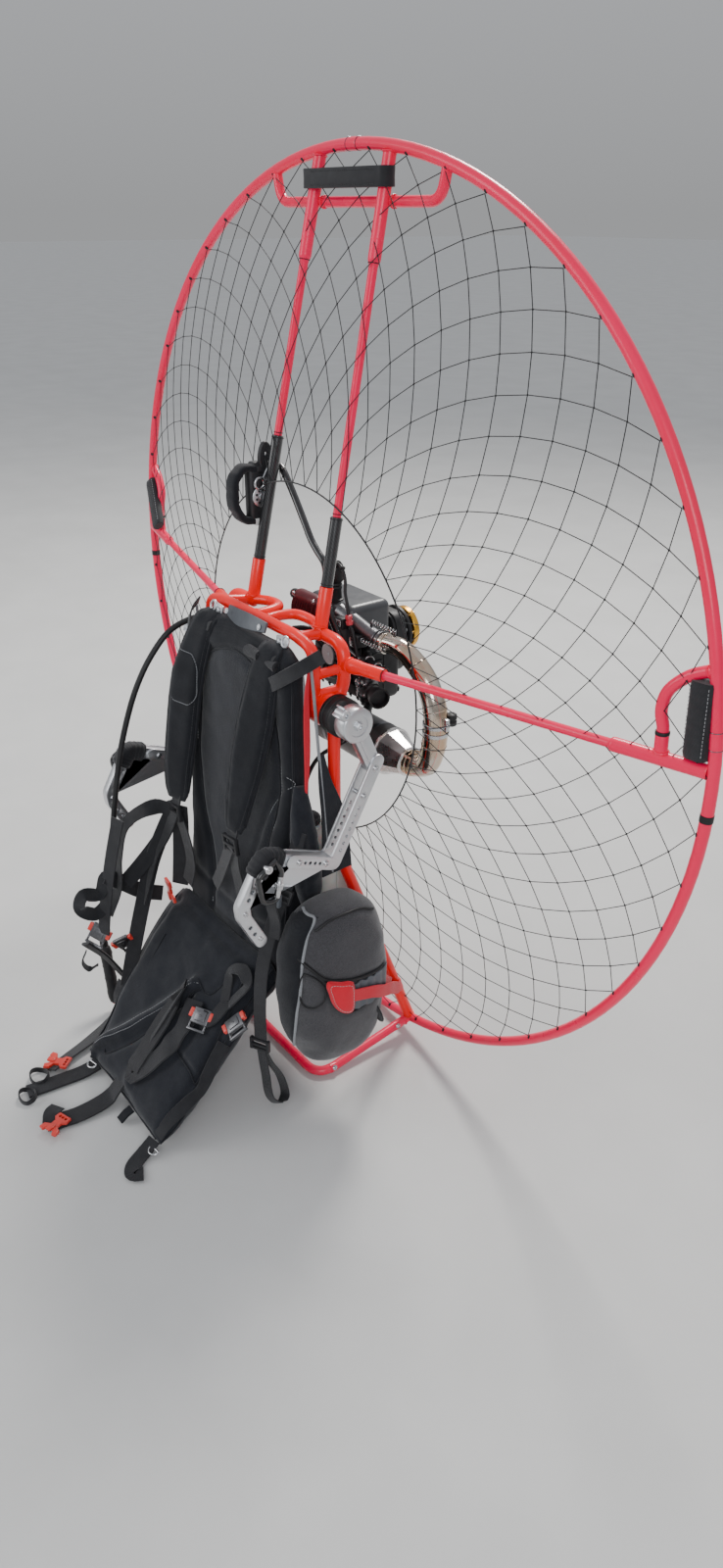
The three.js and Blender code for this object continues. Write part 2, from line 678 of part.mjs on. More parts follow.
// Sections of the net: name, and which side of the middle each lies on along X and Z
const NET_SECTIONS = [
  ['net_upper_left', 1, 1],
  ['net_upper_right', -1, 1],
  ['net_lower_right', -1, -1],
  ['net_lower_left', 1, -1],
];
for (const [name, sideX, sideZ] of NET_SECTIONS) {
  const inSection = netBodies.filter((body) => {
    const { min, max } = body.boundingBox();
    return (min[0] + max[0]) * sideX > 0 && (min[2] + max[2] - 2 * HOOP_Z) * sideZ > 0;
  });
  // Slivers are left over where a cord grazes a tube
  const largest = inSection.reduce((best, body) => (body.volume() > best.volume() ? body : best));
  place(name, surface(largest), 'rubber');
}

// Swing arms: drum, hub link, perforated plates, tip link and hook-in
const LINK_X = [232, 250];
const PLATE_T = 5;
const PLATE_X = [[LINK_X[0] - GAP - PLATE_T, LINK_X[0] - GAP], [LINK_X[1] + GAP, LINK_X[1] + GAP + PLATE_T]];
const ELBOW = [-146, 678];       // lower end of the hub link, as [y, z]
const PLATE_LINE = [[-142, 686], [-232, 522], [-314, 556]];
const TIP_LINE = [[-244, 527], [-352, 571], [-372, 556], [-406, 498], [-404, 478], [-377, 424]];
const PLATE_WIDTH = 24;
const TIP_WIDTH = 23;
const PLATE_PINS = [[-148, 675], [-172, 631], [-250, 529.5], [-302, 551]];
const HOLE_R = 2.5;

// Holes between two [y, z] points, evenly spaced
const holeRow = (from, to, count) => Array.from({ length: count }, (_, i) => {
  const t = (i + 1) / (count + 1);
  return [lerp(from[0], to[0], t), lerp(from[1], to[1], t), HOLE_R];
});

const drum = bar([0, PIVOT_Y, PIVOT_Z], [1, PIVOT_Y, PIVOT_Z], [
  [DRUM_X[0], DRUM_R - 3],
  [DRUM_X[0] + 3, DRUM_R],
  [DRUM_X[1] - 8, DRUM_R],
  [DRUM_X[1], DRUM_R - 6],
], 16);
const hubDisc = bar([0, PIVOT_Y, PIVOT_Z], [1, PIVOT_Y, PIVOT_Z], [
  [DRUM_X[1] + GAP, 27],
  [DRUM_X[1] + 3, 30],
  [LINK_X[1] + 2, 30],
  [LINK_X[1] + 5, 27],
], 16);
const pivotToElbow = linkOutline([[PIVOT_Y, PIVOT_Z], ELBOW], 30);
const clampBolt = bar([LINK_X[1] - 4, PIVOT_Y - 24, PIVOT_Z + 24], [LINK_X[1], PIVOT_Y - 24, PIVOT_Z + 24], [
  [-14, 9],
  [9, 9],
], 10);
const hubLink = join(hubDisc, sidePlate(pivotToElbow, LINK_X[0], LINK_X[1]), clampBolt);

const pinHoles = PLATE_PINS.map(([y, z]) => [y, z, 4 + GAP]);
const pinBar = ([y, z], from, to) => bar([0, y, z], [1, y, z], [[from, 4], [to, 4]], 6);
const plateHoles = [
  ...holeRow([-176, 624], [-226, 533], 7),
  ...holeRow([-252, 530], [-300, 550], 4),
];
const plateOutline = linkOutline(PLATE_LINE, PLATE_WIDTH);
const plates = join(
  ...PLATE_X.map(([x0, x1]) => sidePlate(plateOutline, x0, x1, plateHoles)),
  ...PLATE_PINS.map((pin) => pinBar(pin, PLATE_X[0][0] - 3, PLATE_X[1][1] + 4)),
);
const pinCutter = (pin) => {
  const [y, z, radius] = pin;
  return bar([0, y, z], [1, y, z], [[LINK_X[0] - 9, radius], [LINK_X[1] + 9, radius]], 6);
};
const tipHoles = [
  ...holeRow([-374, 551], [-404, 500], 3),
  ...holeRow([-404, 474], [-381, 428], 2),
];
const tipLink = cut(
  sidePlate(linkOutline(TIP_LINE, TIP_WIDTH), LINK_X[0], LINK_X[1], tipHoles),
  ...pinHoles.map(pinCutter),
);
const hubLinkBored = cut(hubLink, ...pinHoles.map(pinCutter));

// Hook-in: a rubber keeper round the tip link, with the carabiner's bow through it
const KEEPER_LINE = [[-330, 562], [-357, 573], [-376, 550]];
const KEEPER_X = [LINK_X[0] - 7, LINK_X[1] + 7];
const keeper = cut(
  sidePlate(linkOutline(KEEPER_LINE, TIP_WIDTH + 12), KEEPER_X[0], KEEPER_X[1]),
  sidePlate(linkOutline(TIP_LINE, TIP_WIDTH + 2 * GAP), LINK_X[0] - GAP, LINK_X[1] + GAP),
  ...PLATE_X.map(([x0, x1]) => sidePlate(linkOutline(PLATE_LINE, PLATE_WIDTH + 2 * GAP), x0 - GAP, x1 + 12)),
);
const CARABINER_TUBE = 5;
const carabinerX = KEEPER_X[1] + CARABINER_TUBE - 1;
const carabinerPath = rounded([
  [carabinerX, -352, 578],
  [carabinerX, -386, 556],
  [carabinerX, -378, 506],
  [carabinerX, -352, 500],
  [carabinerX, -340, 556],
], 16, 32);
const hookIn = join(keeper, tube(carabinerPath, CARABINER_TUBE, 8));

for (const side of SIDES) {
  place(`pivot_drum_${side.name}`, onSide(drum, side), 'blackMetal');
  place(`arm_hub_${side.name}`, onSide(hubLinkBored, side), 'alloy');
  place(`arm_plates_${side.name}`, onSide(plates, side), 'alloy');
  place(`arm_tip_${side.name}`, onSide(tipLink, side), 'alloy');
  place(`arm_hook_${side.name}`, onSide(hookIn, side), 'rubber');
}

// Engine: crankcase with its mounting arms to the chassis
const BLOCK = { y: [-28, 52], z: 743, halfX: 74, halfZ: 54 };
// Rows of the crankcase: y, how far its sides stand in, corner
const CRANKCASE = [
  [BLOCK.y[0], 8, 22],
  [BLOCK.y[0] + 12, 0, 26],
  [BLOCK.y[1] - 12, 0, 26],
  [BLOCK.y[1], 10, 22],
];
const crankcaseSolid = (extra) => stackY(CRANKCASE.map(([y, inset, corner], i) => [
  y + (i === 0 ? -extra : extra * (i === CRANKCASE.length - 1)),
  0,
  BLOCK.z,
  BLOCK.halfX - inset + extra,
  BLOCK.halfZ - inset + extra,
  corner,
]));
const crankcase = crankcaseSolid(0);
const crankcaseSpace = crankcaseSolid(GAP);
const mountArm = tube(rounded([[58, -6, 714], [124, -64, 712], [RAIL_X, RAIL_Y, 700]], 40), 8, 8);
place(
  'engine_block',
  cut(join(crankcase, mountArm, mirrored(mountArm)), railCutter, mirrored(railCutter)),
  'blackMetal',
);

// Engine: finned cylinder cover, plug cap, airbox, starter, carburettor
const BLOCK_TOP = BLOCK.z + BLOCK.halfZ;
const COVER = { x: -32, y: -46, z: [827, 893], halfX: 50, halfY: 34 };
const barrel = stackZ([
  [BLOCK_TOP - 10, -8, -19.5, 34, 7, 3],
  [COVER.z[0] + 10, -8, -19.5, 34, 7, 3],
], 1);
const coverBody = stackZ([
  [COVER.z[0], COVER.x, COVER.y, COVER.halfX - 4, COVER.halfY - 4, 12],
  [COVER.z[0] + 14, COVER.x, COVER.y, COVER.halfX, COVER.halfY, 14],
  [COVER.z[1] - 16, COVER.x, COVER.y, COVER.halfX, COVER.halfY, 14],
  [COVER.z[1], COVER.x + 3, COVER.y + 3, COVER.halfX - 10, COVER.halfY - 10, 12],
]);
const FIN_SLOTS = 7;
const finSlot = (i) => {
  const x = lerp(COVER.x - 38, COVER.x + 34, i / (FIN_SLOTS - 1));
  const slot = new THREE.BoxGeometry(4, 16, 42);
  slot.translate(x, COVER.y - COVER.halfY, 858);
  return slot;
};
const KNOB_ROWS = [[0, 7], [22, 7], [26, 4]];
const knobAt = (x) => [COVER.x - x, COVER.y - 6, 868];
const coverKnob = bar(knobAt(44), knobAt(60), KNOB_ROWS, 8);
const finSlots = Array.from({ length: FIN_SLOTS }, (_, i) => finSlot(i));
const starterSpace = bar([0, BLOCK.y[0], CRANK_Z], [0, -100, CRANK_Z], [
  [0, STARTER_R + GAP],
  [STARTER_DEPTH, STARTER_R + GAP],
], 20);
const cover = join(cut(coverBody, ...finSlots), coverKnob, barrel);
place('cylinder_cover', cut(cover, crankcaseSpace, starterSpace), 'darkCover');
place('plug_cap', bar([-4, -40, COVER.z[1] + GAP], [-4, -40, 1000], [
  [0, 9],
  [14, 9],
  [16, 13],
  [42, 13],
  [50, 8],
]), 'rubber');

const AIRBOX = { x: 2, z: BLOCK_TOP + GAP + 38, halfX: 56, halfZ: 38, y: [-11, 44] };
place('airbox', stackY([
  [AIRBOX.y[0], AIRBOX.x, AIRBOX.z, AIRBOX.halfX - 6, AIRBOX.halfZ - 5, 16],
  [AIRBOX.y[0] + 7, AIRBOX.x, AIRBOX.z, AIRBOX.halfX, AIRBOX.halfZ, 20],
  [AIRBOX.y[1] - 9, AIRBOX.x, AIRBOX.z, AIRBOX.halfX, AIRBOX.halfZ, 20],
  [AIRBOX.y[1], AIRBOX.x, AIRBOX.z, AIRBOX.halfX - 8, AIRBOX.halfZ - 7, 16],
]), 'blackPlastic');

place('starter_cover', bar([0, BLOCK.y[0] - GAP, CRANK_Z], [0, -60, CRANK_Z], [
  [0, STARTER_R],
  [STARTER_DEPTH - 14, STARTER_R],
  [STARTER_DEPTH - 5, STARTER_R - 8],
  [STARTER_DEPTH - 3, 17],
  [STARTER_DEPTH, 17],
], 20), 'blackPlastic');

const CARB = { x: 98, y: -44, z: 742, halfY: 34, top: 34 };
place('carburettor', join(
  stackZ([
    [CARB.z - 16, CARB.x, CARB.y, 13, CARB.halfY - 3, 5],
    [CARB.z + 22, CARB.x, CARB.y, 16, CARB.halfY, 6],
    [CARB.z + CARB.top, CARB.x, CARB.y - 10, 10, 14, 5],
  ], 2),
  bar([BLOCK.halfX + GAP, -20, CARB.z], [CARB.x, -20, CARB.z], [[0, 12], [22, 12]], 10),
  bar([CARB.x, -54, CARB.z], [CARB.x + 40, -58, CARB.z - 4], [[0, 9], [46, 9], [52, 7]], 10),
), 'blackMetal');

// Engine: reduction case and the propeller hub, which turns
const REDUCTION_Y = [BLOCK.y[1] + GAP, 84];
place('reduction_case', stackY([
  [REDUCTION_Y[0], 0, 778, 50, 58, 44],
  [REDUCTION_Y[0] + 20, 0, 778, 50, 58, 44],
  [REDUCTION_Y[1], 0, 782, 38, 46, 36],
], 4), 'blackMetal');
const HUB_ROWS = [
  [0, 20], [8, 20], [8, 46], [16, 46], [16, 24],
  [26, 24], [26, 40], [38, 40], [38, 12], [46, 12],
];
place('prop_hub', bar([0, REDUCTION_Y[1] + GAP, PROP_Z], [0, 200, PROP_Z], HUB_ROWS, 20), 'gold');

// Exhaust: pipe loop, silencer with its polished cone
const SILENCER = { y: 0, z: 606, r: 44, left: 112, right: -72, coneEnd: 166, coneR: 25 };
const exhaustPath = smooth([
  [COVER.x + COVER.halfX + GAP, COVER.y, 858],
  [44, -42, 850],
  [98, -25, 824],
  [156, -14, 820],
  [212, -8, 782],
  [237, -5, 724],
  [231, -3, 660],
  [213, -1, 622],
  [186, 0, SILENCER.z + 2],
  [SILENCER.coneEnd + GAP, SILENCER.y, SILENCER.z],
], 22);

// The pipe widens towards the silencer: share of the way, radius
const PIPE_RADII = [[0, 15], [0.3, 17], [0.5, 20], [0.75, 22], [1, 21]];
function pipeRadius(t) {
  const i = PIPE_RADII.findIndex(([share], k) => k > 0 && t <= share);
  const [[t0, r0], [t1, r1]] = [PIPE_RADII[i - 1], PIPE_RADII[i]];
  return lerp(r0, r1, (t - t0) / (t1 - t0));
}

function taperedTube(path, radiusAt, sides, endTangents) {
  const curve = new Route(path, endTangents);
  const frames = curve.computeFrenetFrames(path.length - 1, false);
  return loft(path.map((p, i) => {
    const radius = radiusAt(i / (path.length - 1));
    return Array.from({ length: sides }, (_, k) => {
      const angle = (2 * Math.PI * k) / sides;
      return p.clone()
        .addScaledVector(frames.normals[i], radius * Math.cos(angle))
        .addScaledVector(frames.binormals[i], radius * Math.sin(angle));
    });
  }));
}

const exhaustEnds = [new THREE.Vector3(1, 0, 0), new THREE.Vector3(-1, 0, 0)];
place('exhaust_pipe', taperedTube(exhaustPath, pipeRadius, 10, exhaustEnds), 'chrome');
place('silencer', bar([0, SILENCER.y, SILENCER.z], [1, SILENCER.y, SILENCER.z], [
  [SILENCER.right, SILENCER.r - 8],
  [SILENCER.right + 8, SILENCER.r],
  [SILENCER.left, SILENCER.r],
  [SILENCER.coneEnd, SILENCER.coneR],
], 16), 'blackMetal');

// Fuel tank between the rails
const TANK = { y: -160, halfX: RAIL_X - RAIL_TUBE + 2, halfY: 46, z: [190, 488] };
const tankBody = stackZ([
  [TANK.z[0], 0, TANK.y, TANK.halfX - 18, TANK.halfY - 14, 26],
  [TANK.z[0] + 20, 0, TANK.y, TANK.halfX, TANK.halfY, 28],
  [TANK.z[1] - 20, 0, TANK.y, TANK.halfX, TANK.halfY, 28],
  [TANK.z[1], 0, TANK.y, TANK.halfX - 18, TANK.halfY - 14, 26],
]);
const tankCap = bar([70, TANK.y, TANK.z[1] - 4], [70, TANK.y, 600], [[0, 22], [24, 22]], 16);
place('fuel_tank', cut(join(tankBody, tankCap), railCutter, mirrored(railCutter)), 'tank');

// Harness: back pad, top plate, shoulder straps, seat and leg straps
const backDepth = (half) => PAD_BACK_Y - half;
const BACK_PAD = [
  // z, half width, half depth, corner
  [872, 128, 14, 10],
  [838, 176, 20, 16],
  [650, 182, 24, 18],
  [450, 182, 34, 24],
  [260, 182, 46, 30],
  [214, 168, 40, 26],
];
const backPad = stackZ(BACK_PAD.map(([z, hx, hy, corner]) => [z, 0, backDepth(hy), hx, hy, corner]));
place('back_pad', cut(backPad, archCutter, bossCutter, mirrored(bossCutter)), 'fabric');

// Shoulder straps hang in front of the pad: rows of x, y, z of the centre line and half width
const STRAP_HALF_DEPTH = 9;
const SHOULDER_STRAPS = {
  left: [
    [92, -253, 852, 30], [98, -264, 800, 38], [96, -281, 725, 40],
    [91, -298, 645, 36], [79, -317, 535, 22],
  ],
  right: [
    [-96, -253, 852, 30], [-122, -264, 800, 38], [-127, -283, 725, 40],
    [-129, -301, 635, 38], [-127, -319, 515, 28],
  ],
};
for (const side of SIDES) {
  const sections = SHOULDER_STRAPS[side.name].map(([x, y, z, half]) => (
    roundRect(half, STRAP_HALF_DEPTH, 6, 2).map(([a, b]) => new THREE.Vector3(x + a, y + b, z))
  ));
  place(`shoulder_strap_${side.name}`, cut(loft(sections), backPadSpace()), 'fabric');
}

function backPadSpace() {
  return stackZ(BACK_PAD.map(([z, hx, hy, corner]) => [z, 0, backDepth(hy), hx + GAP, hy + GAP, corner]));
}

// Seat: rows from its back to its front edge, y, left and right x, underside z, top z
const SEAT_FRONT_Y = -572;
const SEAT = [
  [-296, 180, -180, 226, 306],
  [-340, 183, -182, 192, 276],
  [-400, 186, -176, 132, 210],
  [-480, 190, -152, 56, 128],
  [-540, 192, -124, 14, 66],
  [SEAT_FRONT_Y, 186, -112, 0, 26],
];
const seat = loft(SEAT.map(([y, xLeft, xRight, zLow, zTop]) => (
  roundRect((xLeft - xRight) / 2, (zTop - zLow) / 2, 16, 2).map(([a, b]) => (
    new THREE.Vector3((xLeft + xRight) / 2 + a, y, (zTop + zLow) / 2 + b)
  ))
)));
place('seat', cut(seat, backPadSpace()), 'fabric');

const LEG_STRAPS = {
  // the centre line on the ground, and the half width
  left: [[14, SEAT_FRONT_Y - GAP, 22], [10, -640, 20], [-4, -700, 16]],
  right: [[-86, SEAT_FRONT_Y - GAP, 20], [-96, -640, 18], [-104, -700, 14]],
};
for (const side of SIDES) {
  const sections = LEG_STRAPS[side.name].map(([x, y, half]) => (
    roundRect(half, 5, 4, 1).map(([a, b]) => new THREE.Vector3(x + a, y, 5 + b))
  ));
  place(`leg_strap_${side.name}`, loft(sections), 'fabric');
}

// Reserve container on the pilot's left, and its red handle
const RESERVE = { x: 252.3, y: -238, z: 288, halfX: 70, halfY: 106, halfZ: 168 };
// share of the half height, share of the half sizes across
const RESERVE_ROWS = [
  [-1, 0.42], [-0.86, 0.7], [-0.45, 0.94], [0, 1],
  [0.45, 0.95], [0.86, 0.72], [1, 0.44],
];
place('reserve_container', stackZ(RESERVE_ROWS.map(([up, out]) => [
  RESERVE.z + up * RESERVE.halfZ,
  RESERVE.x,
  RESERVE.y,
  RESERVE.halfX * out,
  RESERVE.halfY * out,
  60,
]), 3), 'melange');
const HANDLE_X = RESERVE.x + RESERVE.halfX + GAP;
place('reserve_handle', stackZ([
  [236, HANDLE_X + 5, -262, 5, 26, 4],
  [296, HANDLE_X + 5, -262, 5, 26, 4],
], 1), 'redWebbing');

// Throttle on the right spar: body, hand loop and its cable
const THROTTLE = { x: -122, y: -136, z: [986, 1100] };
const throttleBody = stackZ([
  [THROTTLE.z[0], THROTTLE.x, THROTTLE.y, 9, 13, 6],
  [1020, THROTTLE.x, THROTTLE.y, 11, 18, 7],
  [1066, THROTTLE.x, THROTTLE.y, 11, 18, 7],
  [THROTTLE.z[1], THROTTLE.x, THROTTLE.y, 9, 14, 6],
], 2);
const throttleLoop = tube(rounded([
  [THROTTLE.x, THROTTLE.y - 4, THROTTLE.z[1] - 8],
  [THROTTLE.x, THROTTLE.y - 38, THROTTLE.z[1] - 2],
  [THROTTLE.x, THROTTLE.y - 56, THROTTLE.z[1] - 52],
  [THROTTLE.x, THROTTLE.y - 38, THROTTLE.z[0] + 6],
  [THROTTLE.x, THROTTLE.y - 4, THROTTLE.z[0] + 12],
], 22), 7, 8);
place('throttle_grip', join(throttleBody, throttleLoop), 'blackPlastic');
const CABLE_ROUTE = [
  [THROTTLE.x + 2, THROTTLE.y, THROTTLE.z[1] + GAP],
  [THROTTLE.x + 8, THROTTLE.y, 1117],
  [-84, -132, 1126],
  [-52, -128, 1106],
  [-15, -124, 1064],
  [20, -118, 1020],
  [56, -104, 986],
  [88, -84, 968],
  [102, -70, 928],
  [101, -60, 870],
  [CARB.x, CARB.y - 10, 810],
  [CARB.x, CARB.y - 10, CARB.z + CARB.top + GAP],
];
const upright = new THREE.Vector3(0, 0, 1);
const cableEnds = [upright, upright.clone().negate()];
place('throttle_cable', tube(smooth(CABLE_ROUTE, 24), 5.5, 8, cableEnds), 'rubber');

// Starter hose: free from the gland on the chassis to its pull handle
const HOSE_R = 5.5;
const HOSE_ROUTE = [
  GLAND_AT,
  [-194.3, -204, 823.2],
  [-201, -230, 819],
  [-206, -268, 804],
  [-208, -310, 762],
  [-208, -344, 710],
  [-208, -370, 650],
  [-208, -392, 582],
  [-208, -408, 512],
  [-210, -422, 434],
  [-216, -434, 356],
  [-232, -442, 286],
  [-250, -447, 226],
  [-262, -449, 188],
  [-264, -450, 160],
];
const HANDLE_FOOT = [-224, -456, 16];
const hoseEnd = HOSE_ROUTE[HOSE_ROUTE.length - 1];
const hoseEnds = [
  vec(GLAND_AT).sub(vec(GLAND_ROOT)).normalize(),
  vec(HANDLE_FOOT).sub(vec(hoseEnd)).normalize(),
];
const hosePath = smooth(HOSE_ROUTE, 30);
hosePath[0].addScaledVector(hoseEnds[0], GAP);
place('starter_hose', tube(hosePath, HOSE_R, 8, hoseEnds), 'rubber');
place('starter_handle', bar(hoseEnd, HANDLE_FOOT, [
  [GAP, 8],
  [20, 11],
  [30, 13],
  [120, 12],
  [146, 9],
]), 'rubber');

export default paramotor;
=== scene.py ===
# A paramotor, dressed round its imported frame. Metres, +Z up, the pilot faces -Y.
from math import atan2, copysign, cos, dist, pi, radians, sin, sqrt, tan

import bmesh
import bpy
import numpy as np
from mathutils import Matrix, Quaternion, Vector, noise
from mathutils.bvhtree import BVHTree
from mathutils.kdtree import KDTree


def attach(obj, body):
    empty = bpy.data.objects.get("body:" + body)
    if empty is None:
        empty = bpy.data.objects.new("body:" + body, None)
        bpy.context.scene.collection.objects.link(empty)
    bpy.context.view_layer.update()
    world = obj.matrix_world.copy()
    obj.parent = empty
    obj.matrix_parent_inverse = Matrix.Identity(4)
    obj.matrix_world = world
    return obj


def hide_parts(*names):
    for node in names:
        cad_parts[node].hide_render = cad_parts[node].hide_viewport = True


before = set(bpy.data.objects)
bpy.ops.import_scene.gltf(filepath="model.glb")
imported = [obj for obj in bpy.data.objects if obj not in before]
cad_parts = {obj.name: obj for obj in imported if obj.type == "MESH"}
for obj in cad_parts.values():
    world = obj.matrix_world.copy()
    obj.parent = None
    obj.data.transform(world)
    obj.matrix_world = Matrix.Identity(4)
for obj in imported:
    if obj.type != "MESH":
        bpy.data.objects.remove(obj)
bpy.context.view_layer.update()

# Points are written in millimetres from the middle of the hoop's plane, on the ground
MM = 0.001
HOOP_PLANE = 284.9
HOOP_R = 780
HOOP_TUBE = 9
HOOP_Z = HOOP_R + HOOP_TUBE


X, Y, Z = Vector((1, 0, 0)), Vector((0, 1, 0)), Vector((0, 0, 1))
# Pieces that come in pairs: each side's name, and whether it is the left one mirrored
SIDES = (("left", False), ("right", True))


def at(x, y, z):
    return Vector((x, y + HOOP_PLANE, z)) * MM


def points(rows):
    return [at(*row) for row in rows]


def flip(rows):
    return [(-row[0], *row[1:]) for row in rows]


def angles(count, shift=0.0):
    """Angles spread evenly round a whole turn."""
    return [2 * pi * (k + shift) / count for k in range(count)]


def bent(value, power):
    """A sine or cosine with its middle flattened, which squares a round outline."""
    return copysign(abs(value) ** power, value)


def squared(direction, axis):
    """The direction turned square to an axis."""
    return (direction - axis * direction.dot(axis)).normalized()


# Camera, at the photograph's viewing angle
CAMERA_PLACE = (1.4809, -0.8222, 1.4805)
CAMERA_HEADING = (-0.70202, 0.53277, -0.47257)
CAMERA_ROLL = 0.0033653
CAMERA_LENS = 24.528


def add_camera():
    data = bpy.data.cameras.new("camera")
    data.lens = CAMERA_LENS
    camera = bpy.data.objects.new("camera", data)
    bpy.context.scene.collection.objects.link(camera)
    forward = Vector(CAMERA_HEADING).normalized()
    level = forward.cross(Z).normalized()
    right = level * cos(CAMERA_ROLL) + level.cross(forward) * sin(CAMERA_ROLL)
    turn = Matrix((right, right.cross(forward), -forward)).transposed().to_4x4()
    camera.matrix_world = Matrix.Translation(CAMERA_PLACE) @ turn
    bpy.context.scene.camera = camera


add_camera()


# Paths
CURVE_STEPS = 16
RUN_STEPS = 200


def spaced(path, count):
    """The path's points again, count steps evenly apart along it."""
    p = np.array([tuple(q) for q in path], float)
    run = np.concatenate([[0], np.cumsum(np.linalg.norm(np.diff(p, axis=0), axis=1))])
    wanted = np.linspace(0, run[-1], count + 1)
    return [Vector([float(np.interp(w, run, p[:, k])) for k in range(3)]) for w in wanted]


def smooth(through, count):
    """A centripetal curve through a few points."""
    p = [Vector(q) for q in through]
    p = [2 * p[0] - p[1], *p, 2 * p[-1] - p[-2]]
    out = []
    for i in range(1, len(p) - 2):
        p0, p1, p2, p3 = p[i - 1:i + 3]
        d1, d2, d3 = ((a - b).length ** 0.5 for a, b in ((p1, p0), (p2, p1), (p3, p2)))
        d1, d3 = max(d1, 1e-5), max(d3, 1e-5)
        m1 = (p1 - p0) / d1 - (p2 - p0) / (d1 + d2) + (p2 - p1) / d2
        m2 = (p2 - p1) / d2 - (p3 - p1) / (d2 + d3) + (p3 - p2) / d3
        m1, m2 = m1 * d2, m2 * d2
        for k in range(CURVE_STEPS):
            t = k / CURVE_STEPS
            a = 2 * t ** 3 - 3 * t ** 2 + 1
            b = t ** 3 - 2 * t ** 2 + t
            out.append(a * p1 + b * m1 + (1 - a) * p2 + (t ** 3 - t ** 2) * m2)
    out.append(p[-2])
    return spaced(out, count)


def course(rows, count):
    """A curve through a few points in millimetres."""
    return smooth(points(rows), count)


def rounded(corners, radius, steps=8):
    """A polyline with its corners rounded."""
    p = [Vector(q) for q in corners]
    path = [p[0]]
    for before, here, after in zip(p, p[1:], p[2:]):
        back, ahead = before - here, after - here
        turn = pi - back.angle(ahead)
        reach = min(radius * tan(turn / 2), 0.49 * min(back.length, ahead.length))
        start, end = here + back.normalized() * reach, here + ahead.normalized() * reach
        for k in range(steps + 1):
            t = k / steps
            path.append((1 - t) ** 2 * start + 2 * t * (1 - t) * here + t * t * end)
    path.append(p[-1])
    return [q for i, q in enumerate(path) if i == 0 or (q - path[i - 1]).length > 1e-6]


def swelling(low, rise, steps):
    """Widths that grow from low by rise towards the middle of a path, one for each point."""
    return [low + rise * sin(pi * i / steps) for i in range(steps + 1)]


def narrowing(start, drop, steps):
    """Widths that shrink evenly along a path, one for each point."""
    return [start - drop * i / steps for i in range(steps + 1)]


def along(path, share):
    """The point and the heading at a share of the path's length."""
    p = spaced(path, RUN_STEPS)
    i = min(int(share * RUN_STEPS), RUN_STEPS - 1)
    return p[i].lerp(p[i + 1], share * RUN_STEPS - i), (p[i + 1] - p[i]).normalized()


def headings(path, closed=False):
    n = len(path)
    out = []
    for i in range(n):
        a = path[(i - 1) % n] if closed or i > 0 else path[i]
        b = path[(i + 1) % n] if closed or i < n - 1 else path[i]
        out.append((b - a).normalized())
    return out


# Mesh pieces
HOLE_STEPS = 14
MITRE = 0.6


def quads(rows, width, closed_rows=False):
    """Faces over a grid of points, rows by width, closed round the width."""
    faces = []
    for r in range(rows if closed_rows else rows - 1):
        for i in range(width):
            j = (i + 1) % width
            a, b = r * width, ((r + 1) % rows) * width
            faces.append((a + i, a + j, b + j, b + i))
    return faces


